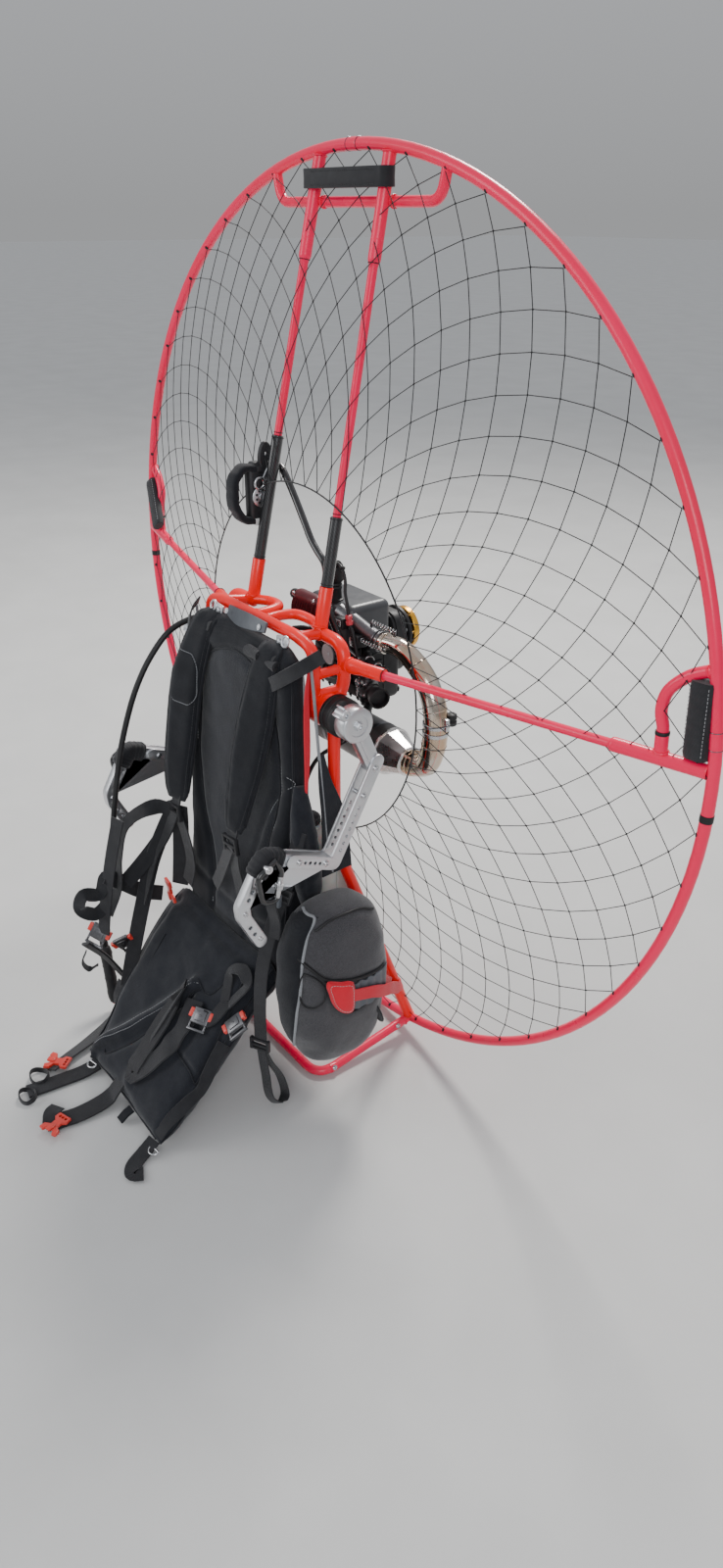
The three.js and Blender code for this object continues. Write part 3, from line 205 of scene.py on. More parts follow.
class Shape:
    """Closed forms gathered into one mesh. Lengths are in metres unless a method says millimetres."""

    def __init__(self):
        self.verts = []
        self.faces = []
        self.mats = []
        self.uvs = []

    def add(self, verts, faces, mat=0, uv=None):
        base = len(self.verts)
        self.verts += [tuple(v) for v in verts]
        self.uvs += [tuple(u) for u in uv] if uv is not None else [(0.0, 0.0)] * len(verts)
        for face in faces:
            self.faces.append(tuple(base + i for i in face))
            self.mats.append(mat)
        return self

    def merge(self, other, move=None):
        verts = [move @ Vector(v) for v in other.verts] if move else other.verts
        base = len(self.verts)
        self.verts += [tuple(v) for v in verts]
        self.uvs += other.uvs
        self.faces += [tuple(base + i for i in face) for face in other.faces]
        self.mats += other.mats
        return self

    def sections(self, rings, mat=0, closed=False, uv=None):
        """A skin over rings of equal length, with its ends closed."""
        width = len(rings[0])
        flat = [p for ring in rings for p in ring]
        faces = quads(len(rings), width, closed)
        if not closed:
            faces.append(tuple(reversed(range(width))))
            faces.append(tuple(range((len(rings) - 1) * width, len(rings) * width)))
        return self.add(flat, faces, mat, uv)

    def tube(self, path, radius, sides=16, mat=0, closed=False):
        n = len(path)
        radii = radius if hasattr(radius, "__len__") else [radius] * n
        heads = headings(path, closed)
        side = heads[0].orthogonal().normalized()
        rings, uv, run = [], [], 0.0
        turn_back = 0.0
        if closed:
            trial = side
            for i in range(n):
                trial = squared(trial, heads[(i + 1) % n])
            turn_back = atan2(heads[0].dot(side.cross(trial)), side.dot(trial))
        for i in range(n):
            side = squared(side, heads[i])
            if i:
                run += (path[i] - path[i - 1]).length
            a = Quaternion(heads[i], -turn_back * i / n) @ side
            b = heads[i].cross(a)
            ring = []
            for angle in angles(sides):
                ring.append(path[i] + (a * cos(angle) + b * sin(angle)) * radii[i])
                uv.append((angle * radii[i], run))
            rings.append(ring)
        return self.sections(rings, mat, closed, uv)

    def ribbon(self, path, width, thick, faces_to, mat=0, closed=False):
        """Flat webbing along a path; faces_to is the direction its face looks in, or one for each point."""
        n = len(path)
        widths = width if hasattr(width, "__len__") else [width] * n
        looks = faces_to if isinstance(faces_to, list) else [faces_to] * n
        heads = headings(path, closed)
        rings, uv, run = [], [], 0.0
        for i in range(n):
            if i:
                run += (path[i] - path[i - 1]).length
            across = heads[i].cross(Vector(looks[i]))
            across = across.normalized() if across.length > 1e-4 else heads[i].orthogonal().normalized()
            up = across.cross(heads[i]).normalized()
            half, t = widths[i] / 2, thick / 2
            inner = half - t * MITRE
            rim = [(-half, 0), (-inner, t), (0, t), (inner, t), (half, 0), (inner, -t), (0, -t), (-inner, -t)]
            rings.append([path[i] + across * a + up * b for a, b in rim])
            uv += [(a, run) for a, b in rim]
        return self.sections(rings, mat, closed, uv)

    def bar(self, start, towards, rows, sides=24, mat=0):
        """A stepped round bar, rows of (distance along, radius) in millimetres."""
        a = Vector(start)
        heading = (Vector(towards) - a).normalized()
        side = heading.orthogonal().normalized()
        other = heading.cross(side)
        turns = angles(sides)
        rings = [
            [a + heading * step * MM + (side * cos(t) + other * sin(t)) * radius * MM for t in turns]
            for step, radius in rows
        ]
        uv = [(t * radius * MM, step * MM) for step, radius in rows for t in turns]
        return self.sections(rings, mat, False, uv)

    def ring(self, centre, axis, radius, thick, steps=28, sides=10, mat=0):
        """A torus."""
        axis = Vector(axis).normalized()
        a = axis.orthogonal().normalized()
        b = axis.cross(a)
        c = Vector(centre)
        rings = []
        for turn in angles(steps):
            out = a * cos(turn) + b * sin(turn)
            rings.append([
                c + out * (radius + thick * cos(t)) + axis * thick * sin(t) for t in angles(sides)
            ])
        return self.sections(rings, mat, True)

    def block(self, centre, half, bevel=0.002, axes=None, mat=0, segments=2):
        """A box with bevelled edges; axes are its own x, y and z directions."""
        bm = bmesh.new()
        bmesh.ops.create_cube(bm, size=2)
        bmesh.ops.scale(bm, vec=Vector(half), verts=bm.verts)
        bevel = min(bevel, 0.49 * 2 * min(half))
        bmesh.ops.bevel(bm, geom=bm.edges[:], offset=bevel, segments=segments, profile=0.5, affect="EDGES")
        turn = Matrix(axes).transposed().to_4x4() if axes else Matrix.Identity(4)
        bm.verts.index_update()
        place = Matrix.Translation(centre) @ turn
        self.add([place @ v.co for v in bm.verts], [[v.index for v in f.verts] for f in bm.faces], mat)
        bm.free()
        return self

    def box(self, low, high, radius, mat=0, segments=5):
        """A box between two corners in millimetres, its edges rounded in metres."""
        centre = [(a + b) / 2 for a, b in zip(low, high)]
        half = [(b - a) / 2000 for a, b in zip(low, high)]
        return self.block(at(*centre), half, radius, mat=mat, segments=segments)

    def plate(self, outline, centre, x_axis, y_axis, low, high, bevel=0.001, holes=(), mat=0):
        """A flat outline of (a, b) points with round holes, given a thickness along its normal."""
        curve = bpy.data.curves.new("outline", "CURVE")
        curve.dimensions = "2D"
        curve.fill_mode = "BOTH"
        curve.extrude = (high - low) / 2 - bevel
        curve.bevel_depth = bevel
        curve.bevel_resolution = 1
        curve.offset = -bevel
        loops = [list(outline)]
        for a, b, r in holes:
            loops.append([(a + r * cos(-t), b + r * sin(-t)) for t in angles(HOLE_STEPS)])
        for loop in loops:
            spline = curve.splines.new("POLY")
            spline.points.add(len(loop) - 1)
            spline.use_cyclic_u = True
            for point, (a, b) in zip(spline.points, loop):
                point.co = (a, b, 0, 1)
        holder = bpy.data.objects.new("outline", curve)
        mesh = holder.to_mesh()
        bm = bmesh.new()
        bm.from_mesh(mesh)
        holder.to_mesh_clear()
        bmesh.ops.remove_doubles(bm, verts=bm.verts, dist=1e-6)
        bmesh.ops.recalc_face_normals(bm, faces=bm.faces)
        x_axis, y_axis = Vector(x_axis), Vector(y_axis)
        normal = x_axis.cross(y_axis)
        middle = Vector(centre) + normal * (low + high) / 2
        bm.verts.index_update()
        self.add(
            [middle + x_axis * v.co.x + y_axis * v.co.y + normal * v.co.z for v in bm.verts],
            [[v.index for v in f.verts] for f in bm.faces], mat,
        )
        bm.free()
        bpy.data.objects.remove(holder)
        bpy.data.curves.remove(curve)
        return self

    def bolt(self, centre, axis, radius=0.004, height=0.003, mat=0):
        """A small bolt head with a socket in it and a washer under it."""
        axis = Vector(axis).normalized()
        c = Vector(centre)
        r, h = radius * 1000, height * 1000
        rows = [
            (0, r * 1.5), (h * 0.2, r * 1.5), (h * 0.22, r), (h * 0.85, r), (h, r * 0.85), (h, r * 0.5),
            (h * 0.45, r * 0.45),
        ]
        return self.bar(c, c + axis, rows, 12, mat)

    def mesh(self, name, mirror=False):
        verts = [(-v[0], v[1], v[2]) for v in self.verts] if mirror else self.verts
        faces = [tuple(reversed(f)) for f in self.faces] if mirror else self.faces
        mesh = bpy.data.meshes.new(name)
        mesh.from_pydata(verts, [], faces)
        layer = mesh.uv_layers.new(name="UVMap")
        corners = np.zeros(len(mesh.loops), dtype=np.int32)
        mesh.loops.foreach_get("vertex_index", corners)
        layer.data.foreach_set("uv", np.array(self.uvs, float)[corners].ravel())
        mesh.polygons.foreach_set("material_index", self.mats)
        bm = bmesh.new()
        bm.from_mesh(mesh)
        bmesh.ops.recalc_face_normals(bm, faces=bm.faces)
        bm.to_mesh(mesh)
        bm.free()
        return mesh

    def done(self, name, body, materials, slot, replaces=(), angle=38, mirror=False):
        return placed(self.mesh(name, mirror), name, body, materials, replaces, angle)


def placed(mesh, name, body, materials, replaces=(), angle=38):
    """The mesh as a piece that rides on a body."""
    for one in materials if isinstance(materials, (list, tuple)) else [materials]:
        mesh.materials.append(one)
    mesh.polygons.foreach_set("use_smooth", [True] * len(mesh.polygons))
    mesh.set_sharp_from_angle(angle=radians(angle))
    piece = bpy.data.objects.new(name, mesh)
    bpy.context.scene.collection.objects.link(piece)
    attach(piece, body)
    if replaces:
        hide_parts(*replaces)
    return piece

# Stuffed pieces
CLOTH_STEPS = 20
FAR = 1e3
RAY_START = 0.3


def taken(holder):
    """The object's mesh with its modifiers applied, as a new mesh."""
    return bpy.data.meshes.new_from_object(holder.evaluated_get(bpy.context.evaluated_depsgraph_get()))


def coordinates(mesh):
    co = np.zeros(len(mesh.vertices) * 3)
    mesh.vertices.foreach_get("co", co)
    return co.reshape(-1, 3)


def settled(path, passes=4):
    """The path with its jags evened out and its ends kept."""
    path = [Vector(p) for p in path]
    for _ in range(passes):
        path = [path[0], *[(a + 2 * b + c) / 4 for a, b, c in zip(path, path[1:], path[2:])], path[-1]]
    return path


class Stuffed:
    """A closed form, remeshed, blown up by a short cloth simulation, then smoothed and sewn."""

    def __init__(self, shape, voxel, pressure=4.0, cap=0.010, soften=4):
        holder = bpy.data.objects.new("stuffing", shape.mesh("stuffing"))
        bpy.context.scene.collection.objects.link(holder)
        remesh = holder.modifiers.new("remesh", "REMESH")
        remesh.mode = "VOXEL"
        remesh.voxel_size = voxel
        grid = taken(holder)
        holder.modifiers.clear()
        holder.data = grid
        start = coordinates(grid)
        self.faces = [tuple(p.vertices) for p in grid.polygons]
        pairs = np.zeros(len(grid.edges) * 2, dtype=np.int64)
        grid.edges.foreach_get("vertices", pairs)
        self.pairs = pairs.reshape(-1, 2)
        self.co = start
        cloth = holder.modifiers.new("cloth", "CLOTH")
        cloth.settings.quality = 4
        cloth.settings.use_pressure = True
        cloth.settings.uniform_pressure_force = pressure
        cloth.settings.effector_weights.gravity = 0
        cloth.collision_settings.use_collision = False
        for moment in range(1, CLOTH_STEPS + 1):
            bpy.context.scene.frame_set(moment)
        move = coordinates(taken(holder)) - start
        far = np.maximum(np.linalg.norm(move, axis=1, keepdims=True), 1e-9)
        self.co = start + move * cap * np.tanh(far / cap) / far
        bpy.context.scene.frame_set(1)
        bpy.data.objects.remove(holder)
        self.soften(soften)

    def soften(self, passes):
        count = len(self.co)
        degree = np.bincount(self.pairs.ravel(), minlength=count)[:, None]
        for _ in range(passes):
            total = np.zeros_like(self.co)
            for one, other in ((0, 1), (1, 0)):
                for k in range(3):
                    total[:, k] += np.bincount(self.pairs[:, one], self.co[self.pairs[:, other], k], count)
            self.co = 0.5 * self.co + 0.5 * total / degree
        return self

    def normals(self):
        out = np.zeros_like(self.co)
        corners = np.array([f if len(f) == 4 else (*f, f[-1]) for f in self.faces])
        p = self.co[corners]
        face = np.cross(p[:, 2] - p[:, 0], p[:, 3] - p[:, 1])
        face[[len(f) == 3 for f in self.faces]] = 0
        for k in range(4):
            for axis in range(3):
                out[:, axis] += np.bincount(corners[:, k], face[:, axis], len(self.co))
        return out / np.maximum(np.linalg.norm(out, axis=1, keepdims=True), 1e-12)

    def near(self, path, reach):
        """Each vertex's distance to a path, up to a reach."""
        dense = spaced(path, max(8, int(sum((b - a).length for a, b in zip(path, path[1:])) / 0.004)))
        tree = KDTree(len(dense))
        for i, p in enumerate(dense):
            tree.insert(p, i)
        tree.balance()
        low = np.min([tuple(p) for p in dense], axis=0) - reach
        high = np.max([tuple(p) for p in dense], axis=0) + reach
        close = np.where(np.all((self.co > low) & (self.co < high), axis=1))[0]
        far = np.full(len(self.co), FAR)
        for i in close:
            far[i] = tree.find(self.co[i])[2]
        return far

    def press(self, path, depth, width):
        """A seam's groove along a path, or a ridge where the depth is below zero."""
        dent = depth * np.exp(-(self.near(path, width * 3) / width) ** 2)
        self.co = self.co - self.normals() * dent[:, None]
        return self

    def rumple(self, height, size, seed=0.0):
        """Slack folds over the whole skin."""
        lift = [noise.fractal(Vector(p) / size + Vector((seed, seed * 0.7, -seed)), 0.8, 2.1, 3)
                for p in self.co]
        self.co = self.co + self.normals() * (np.array(lift) * height)[:, None]
        return self

    def keep(self, axis, low=None, high=None):
        """The skin goes flat against what it rests on."""
        low, high = (-FAR if low is None else low), (FAR if high is None else high)
        self.co[:, axis] = np.clip(self.co[:, axis], low, high)
        return self

    def tree(self):
        return BVHTree.FromPolygons(self.co.tolist(), self.faces)

    def laid(self, path, heading, lift=0.0):
        """A path dropped along a heading onto the skin, with the skin's normals there."""
        tree, heading = self.tree(), Vector(heading).normalized()
        spots, looks = [], []
        for p in path:
            spot, look = tree.ray_cast(p - heading * RAY_START, heading)[:2]
            if spot is None:
                spot, look = tree.find_nearest(p)[:2]
            spots.append(spot)
            looks.append(look)
        looks = [look.normalized() for look in settled(looks)]
        return [p + look * lift for p, look in zip(settled(spots), looks)], looks

    def wrapped(self, path):
        """A path drawn on to the nearest skin, with the skin's normals there."""
        tree = self.tree()
        found = [tree.find_nearest(p)[:2] for p in path]
        looks = [look.normalized() for look in settled([look for spot, look in found])]
        return settled([spot for spot, look in found]), looks

    def panel(self, shape, corners, heading, lift, mat=0, across=15, down=21):
        """A closed piece of cloth laid on the skin, from rows of (left, right) points, its rim let in."""
        tree, heading = self.tree(), Vector(heading).normalized()
        shares = [0.0, 0.025, 0.06, *np.linspace(0.12, 0.88, across - 6), 0.94, 0.975, 1.0]
        lefts, rights = (smooth([row[k] for row in corners], down - 1) for k in (0, 1))
        top, low = [], []
        for i, (left, right) in enumerate(zip(lefts, rights)):
            for j, share in enumerate(shares):
                p = left.lerp(right, share)
                spot, look = tree.ray_cast(p - heading * RAY_START, heading)[:2]
                if spot is None:
                    spot, look = tree.find_nearest(p)[:2]
                rim = min(i, down - 1 - i, j, len(shares) - 1 - j)
                top.append(spot - heading * lift * (0.0, 0.75)[rim] if rim < 2 else spot - heading * lift)
                low.append(spot + heading * 0.0015)
        width = len(shares)
        count = len(top)
        faces = []
        for i in range(down - 1):
            for j in range(width - 1):
                a = i * width + j
                faces.append((a, a + 1, a + width + 1, a + width))
                faces.append((count + a, count + a + width, count + a + width + 1, count + a + 1))
        edge = [*range(width), *[i * width + width - 1 for i in range(1, down)],
                *range(count - 2, count - width - 1, -1), *[i * width for i in range(down - 2, 0, -1)]]
        faces += [(a, b, count + b, count + a) for a, b in zip(edge, edge[1:] + edge[:1])]
        uv = [(share, i * 0.01) for i in range(down) for share in shares] * 2
        shape.add(top + low, faces, mat, uv)
        return [top[k] for k in edge]

    def done(self, name, body, materials, slot, replaces=(), fill=0.6):
        mesh = bpy.data.meshes.new(name)
        mesh.from_pydata(self.co.tolist(), [], self.faces)
        holder = bpy.data.objects.new("skin", mesh)
        bpy.context.scene.collection.objects.link(holder)
        holder.modifiers.new("smooth", "SUBSURF").levels = 1
        skin = taken(holder)
        bpy.data.objects.remove(holder)
        piece = placed(skin, name, body, materials, replaces, 70)
        return piece


def stitches(shape, path, looks, mat=0, pitch=0.0058, length=0.0036, radius=0.0005, lift=0.0003):
    """A row of thread stitches along a path on a skin."""
    run = sum((b - a).length for a, b in zip(path, path[1:]))
    count = max(2, int(run / pitch))
    dense, sides = spaced(path, count), spaced(looks, count)
    for i in range(count):
        heading = (dense[i + 1] - dense[i]).normalized()
        up = sides[i].normalized() * lift
        a, b = dense[i] + up, dense[i] + heading * length + up
        shape.tube([a - up * 1.5, a.lerp(b, 0.2), b.lerp(a, 0.2), b - up * 1.5], radius, 5, mat)


# Materials: colour, roughness and bump all come from nodes
class Finish:
    def __init__(self, name, metal=0.0, coat=0.0, sheen=0.0, specular=0.5, transmission=0.0, subsurface=0.0):
        self.material = bpy.data.materials.new(name)
        self.material.use_nodes = True
        self.tree = self.material.node_tree
        self.bsdf = self.tree.nodes["Principled BSDF"]
        self.height = None
        self.bsdf.inputs["Metallic"].default_value = metal
        self.bsdf.inputs["Coat Weight"].default_value = coat
        self.bsdf.inputs["Coat Roughness"].default_value = 0.12
        self.bsdf.inputs["Sheen Weight"].default_value = sheen
        self.bsdf.inputs["Sheen Roughness"].default_value = 0.5
        self.bsdf.inputs["Specular IOR Level"].default_value = specular
        self.bsdf.inputs["Transmission Weight"].default_value = transmission
        self.bsdf.inputs["Subsurface Weight"].default_value = subsurface
        self.bsdf.inputs["Subsurface Scale"].default_value = 0.01
        coords = self.tree.nodes.new("ShaderNodeTexCoord")
        self.object = coords.outputs["Object"]
        self.normal = coords.outputs["Normal"]
        self.uv = coords.outputs["UV"]

    def node(self, kind, inputs=(), **options):
        made = self.tree.nodes.new(kind)
        for key, value in options.items():
            setattr(made, key, value)
        for key, value in dict(inputs).items():
            if isinstance(value, bpy.types.NodeSocket):
                self.tree.links.new(value, made.inputs[key])
            else:
                made.inputs[key].default_value = value
        return made

    def math(self, operation, a, b=0.0, c=0.0):
        return self.node("ShaderNodeMath", {0: a, 1: b, 2: c}, operation=operation).outputs[0]

    def stretched(self, scale):
        made = self.node("ShaderNodeMapping", {"Vector": self.object, "Scale": scale})
        return made.outputs["Vector"]

    def noise(self, scale, detail=4.0, rough=0.55, source=None):
        made = self.node("ShaderNodeTexNoise",
                         {"Vector": source or self.object, "Scale": scale,
                          "Detail": detail, "Roughness": rough})
        return made.outputs["Fac"]

    def cells(self, scale):
        made = self.node("ShaderNodeTexVoronoi", {"Vector": self.object, "Scale": scale})
        return made.outputs["Distance"]

    def span(self, value, low, high, to_low=0.0, to_high=1.0):
        made = self.node("ShaderNodeMapRange",
                         {"Value": value, "From Min": low, "From Max": high,
                          "To Min": to_low, "To Max": to_high})
        return made.outputs["Result"]

    def mixed(self, share, one, other):
        made = self.node("ShaderNodeMix", {"Factor": share}, data_type="RGBA")
        for key, value in ((6, one), (7, other)):
            if isinstance(value, bpy.types.NodeSocket):
                self.tree.links.new(value, made.inputs[key])
            else:
                made.inputs[key].default_value = (*value, 1.0)
        return made.outputs[2]

    def colour(self, socket):
        self.tree.links.new(socket, self.bsdf.inputs["Base Color"])
        return self

    def blotched(self, one, other, scale):
        return self.mixed(self.span(self.noise(scale, 6.0, 0.6), 0.35, 0.65), one, other)

    def rough(self, low, high, scale=30.0):
        value = self.span(self.noise(scale, 5.0, 0.6), 0.3, 0.7, low, high)
        self.tree.links.new(value, self.bsdf.inputs["Roughness"])
        return self

    def bump(self, height, strength, distance):
        options = {"Height": height, "Strength": strength, "Distance": distance}
        if self.height is not None:
            options["Normal"] = self.height
        self.height = self.node("ShaderNodeBump", options).outputs["Normal"]
        self.tree.links.new(self.height, self.bsdf.inputs["Normal"])
        return self

    def woven(self, pitch):
        """A plain weave, laid on the surface from the side that it faces."""
        wave = self.node("ShaderNodeVectorMath", {0: self.stretched((pi / pitch,) * 3)},
                         operation="SINE").outputs[0]
        s = self.node("ShaderNodeSeparateXYZ", {0: wave}).outputs
        one = self.node("ShaderNodeCombineXYZ", {0: s[1], 1: s[2], 2: s[0]}).outputs[0]
        other = self.node("ShaderNodeCombineXYZ", {0: s[2], 1: s[0], 2: s[1]}).outputs[0]
        cross = self.node("ShaderNodeVectorMath", {0: one, 1: other}, operation="MULTIPLY").outputs[0]
        facing = self.node("ShaderNodeVectorMath", {0: self.normal, 1: self.normal},
                           operation="MULTIPLY").outputs[0]
        return self.node("ShaderNodeVectorMath", {0: cross, 1: facing},
                         operation="DOT_PRODUCT").outputs["Value"]

    def webbed(self, pitch):
        """A ribbed webbing weave, along the strap's own length and width."""
        uv = self.node("ShaderNodeSeparateXYZ", {0: self.uv}).outputs
        across = self.math("SINE", self.math("MULTIPLY", uv[0], 2 * pi / (pitch * 2.2)))
        lean = self.math("MULTIPLY_ADD", self.math("ABSOLUTE", across), 1.6,
                         self.math("MULTIPLY", uv[1], 2 * pi / pitch))
        return self.math("SINE", lean)


def paint(name, one, other):
    f = Finish(name, coat=0.22, specular=0.35)
    scuffs = f.span(f.noise(55.0, 8.0, 0.75), 0.66, 0.74)
    dust = f.span(f.node("ShaderNodeSeparateXYZ", {0: f.object}).outputs[2], 0.0, 0.35, 0.35, 0.0)
    specks = f.math("MULTIPLY", f.span(f.noise(140.0, 6.0, 0.7), 0.5, 0.7), dust)
    tone = f.mixed(scuffs, f.blotched(one, other, 4.0), [c * 0.7 for c in one])
    f.colour(f.mixed(specks, tone, (0.35, 0.22, 0.18)))
    f.rough(0.24, 0.42, 18.0)
    return f.bump(f.noise(700.0, 2.0), 0.05, 0.0004).material


def cast(name, one, other, metal, low, high, grain=500.0, depth=0.2):
    f = Finish(name, metal=metal)
    f.colour(f.blotched(one, other, 22.0))
    f.rough(low, high, 45.0)
    f.bump(f.noise(grain, 3.0), depth, 0.0005)
    return f.bump(f.noise(grain * 0.12, 4.0), depth * 0.35, 0.001).material


def brushed(name, one, other, low, high, stretch=(40.0, 900.0, 900.0)):
    f = Finish(name, metal=1.0)
    lines = f.stretched(stretch)
    f.colour(f.mixed(f.noise(1.0, 5.0, 0.6, lines), one, other))
    scratches = f.span(f.noise(1.0, 8.0, 0.8, f.stretched((90.0, 600.0, 240.0))), 0.3, 0.7, low, high)
    f.tree.links.new(scratches, f.bsdf.inputs["Roughness"])
    return f.bump(f.noise(1.0, 3.0, 0.5, lines), 0.08, 0.0003).material


def moulded(name, one, other, low=0.4, high=0.55, coat=0.0, grain=1100.0, depth=0.12, specular=0.5):
    f = Finish(name, coat=coat, specular=specular)
    f.colour(f.blotched(one, other, 14.0))
    f.rough(low, high, 60.0)
    return f.bump(f.cells(grain), depth, 0.0004).material


def cloth(name, one, other, pitch=0.0011, sheen=0.25, flecks=900.0, depth=0.5, wear=(0.03, 0.032, 0.038)):
    f = Finish(name, sheen=sheen, specular=0.25)
    weave = f.woven(pitch)
    tone = f.mixed(f.span(f.noise(flecks, 2.0, 0.5), 0.35, 0.65), one, other)
    faded = f.span(f.noise(9.0, 6.0, 0.65), 0.5, 0.75, 0.0, 0.55)
    f.colour(f.mixed(faded, tone, wear))
    f.rough(0.78, 0.95, 40.0)
    f.bump(weave, depth, 0.0004)
    return f.bump(f.noise(70.0, 5.0, 0.6), 0.18, 0.002).material


def webbing(name, one, other, pitch=0.0016):
    f = Finish(name, sheen=0.2, specular=0.3)
    weave = f.webbed(pitch)
    shade = f.span(weave, -1.0, 1.0, 0.25, 0.75)
    f.colour(f.mixed(f.math("MULTIPLY", shade, f.noise(60.0, 4.0)), one, other))
    f.rough(0.6, 0.8, 50.0)
    return f.bump(weave, 0.5, 0.0004).material


def carbon_sleeve():
    f = Finish("carbon_sleeve", coat=0.7, specular=0.6)
    uv = f.node("ShaderNodeSeparateXYZ", {0: f.uv}).outputs
    lean = f.math("MULTIPLY", f.math("ADD", uv[0], uv[1]), 2 * pi / 0.006)
    twill = f.span(f.math("SINE", lean), -0.3, 0.3)
    f.colour(f.mixed(twill, (0.004, 0.004, 0.005), (0.018, 0.018, 0.02)))
    f.rough(0.22, 0.34, 20.0)
    return f.bump(twill, 0.05, 0.0002).material


def spacer_mesh():
    f = Finish("spacer_mesh", sheen=0.2, specular=0.2)
    # The holes get a near-black colour: painted shade inside the mesh's openings
    holes = f.span(f.cells(420.0), 0.18, 0.42)
    f.colour(f.mixed(holes, (0.003, 0.003, 0.004),
                     f.blotched((0.018, 0.019, 0.024), (0.026, 0.028, 0.034), 30.0)))
    f.rough(0.85, 0.98)
    f.bump(holes, 0.7, 0.0009)
    return f.bump(f.noise(45.0, 5.0), 0.2, 0.003).material


def heat_tinted():
    f = Finish("polished_pipe", metal=1.0)
    tint = f.noise(7.0, 4.0, 0.6)
    warm = f.mixed(f.span(tint, 0.38, 0.56), (0.64, 0.60, 0.54), (0.54, 0.37, 0.24))
    f.colour(f.mixed(f.span(tint, 0.6, 0.72), warm, (0.28, 0.15, 0.12)))
    f.rough(0.05, 0.16, 25.0)
    return f.bump(f.noise(260.0, 3.0), 0.03, 0.0004).material


def clear_tank():
    f = Finish("tank_plastic", transmission=0.25, subsurface=0.25)
    f.colour(f.blotched((0.74, 0.75, 0.70), (0.84, 0.85, 0.81), 9.0))
    f.rough(0.32, 0.48)
    return f.bump(f.noise(300.0, 4.0), 0.08, 0.0006).material


HOOP_RED = paint("hoop_paint", (0.90, 0.0004, 0.062), (0.97, 0.001, 0.085))
CHASSIS_RED = paint("chassis_paint", (0.92, 0.004, 0.003), (0.98, 0.010, 0.006))
CARBON = carbon_sleeve()
ALLOY = brushed("alloy", (0.56, 0.57, 0.59), (0.72, 0.73, 0.75), 0.30, 0.46)
STEEL = brushed("steel", (0.48, 0.48, 0.49), (0.66, 0.66, 0.67), 0.16, 0.32, (300.0, 300.0, 300.0))
DARK_STEEL = brushed("dark_steel", (0.10, 0.10, 0.105), (0.20, 0.20, 0.21), 0.26, 0.42, (300.0, 300.0, 300.0))
CAST = cast("black_cast", (0.010, 0.010, 0.011), (0.026, 0.026, 0.028), 0.3, 0.42, 0.62)
CERAMIC = cast("black_ceramic", (0.045, 0.043, 0.042), (0.080, 0.076, 0.073), 0.45, 0.36, 0.5, 900.0, 0.10)
GRILLE = cast("dark_red_cover", (0.075, 0.004, 0.008), (0.120, 0.008, 0.014), 0.1, 0.36, 0.55)
PLASTIC = moulded("black_plastic", (0.013, 0.013, 0.015), (0.024, 0.024, 0.026))
SATIN = moulded("satin_black", (0.040, 0.042, 0.046), (0.060, 0.062, 0.067), 0.30, 0.42, 0.10, 900.0, 0.06)
GLOSS = moulded("gloss_black", (0.006, 0.006, 0.007), (0.012, 0.012, 0.013), 0.16, 0.28, 0.5, 300.0, 0.03)
SLATE = moulded("slate_plastic", (0.060, 0.068, 0.080), (0.095, 0.105, 0.120), 0.38, 0.55)
RED_PLASTIC = moulded("red_plastic", (0.62, 0.030, 0.020), (0.76, 0.060, 0.040), 0.28, 0.42, 0.3)
PINK_SEAL = moulded("pink_seal", (0.55, 0.04, 0.06), (0.66, 0.07, 0.09), 0.3, 0.45)
LABEL = moulded("pale_label", (0.62, 0.62, 0.61), (0.74, 0.74, 0.73), 0.35, 0.5, 0.0, 700.0, 0.04)
RUBBER = moulded("rubber", (0.007, 0.007, 0.008), (0.014, 0.014, 0.015), 0.42, 0.6, 0.0, 800.0, 0.1, 0.4)
GOLD = cast("gold_alloy", (0.72, 0.34, 0.035), (0.86, 0.46, 0.07), 1.0, 0.18, 0.34, 900.0, 0.05)
CHROME = cast("polished_cone", (0.72, 0.70, 0.69), (0.82, 0.80, 0.79), 1.0, 0.22, 0.34, 400.0, 0.03)
PIPE = heat_tinted()
TANK = clear_tank()
FABRIC = cloth("black_fabric", (0.005, 0.0055, 0.008), (0.011, 0.012, 0.016), sheen=0.14,
               wear=(0.018, 0.020, 0.025))
LINING = cloth("seat_fabric", (0.008, 0.009, 0.013), (0.016, 0.018, 0.024), 0.0015, 0.18,
               wear=(0.024, 0.026, 0.032))
MELANGE = cloth("melange_fabric", (0.012, 0.012, 0.014), (0.085, 0.083, 0.090), 0.0016, 0.3, 1300.0,
                0.4, (0.05, 0.05, 0.055))
PIPING = cloth("grey_piping", (0.20, 0.21, 0.22), (0.32, 0.33, 0.35), 0.0009, 0.2)
MESH = spacer_mesh()
STRAP = webbing("black_webbing", (0.006, 0.006, 0.008), (0.030, 0.031, 0.036))
RED_STRAP = webbing("red_webbing", (0.58, 0.004, 0.018), (0.82, 0.010, 0.040))
DARK_THREAD = cloth("dark_thread", (0.030, 0.031, 0.034), (0.055, 0.056, 0.060), 0.0006, 0.1)
THREAD = cloth("pale_thread", (0.34, 0.35, 0.36), (0.48, 0.49, 0.50), 0.0006, 0.1)
CORD = webbing("net_cord", (0.004, 0.004, 0.005), (0.018, 0.018, 0.020), 0.0012)


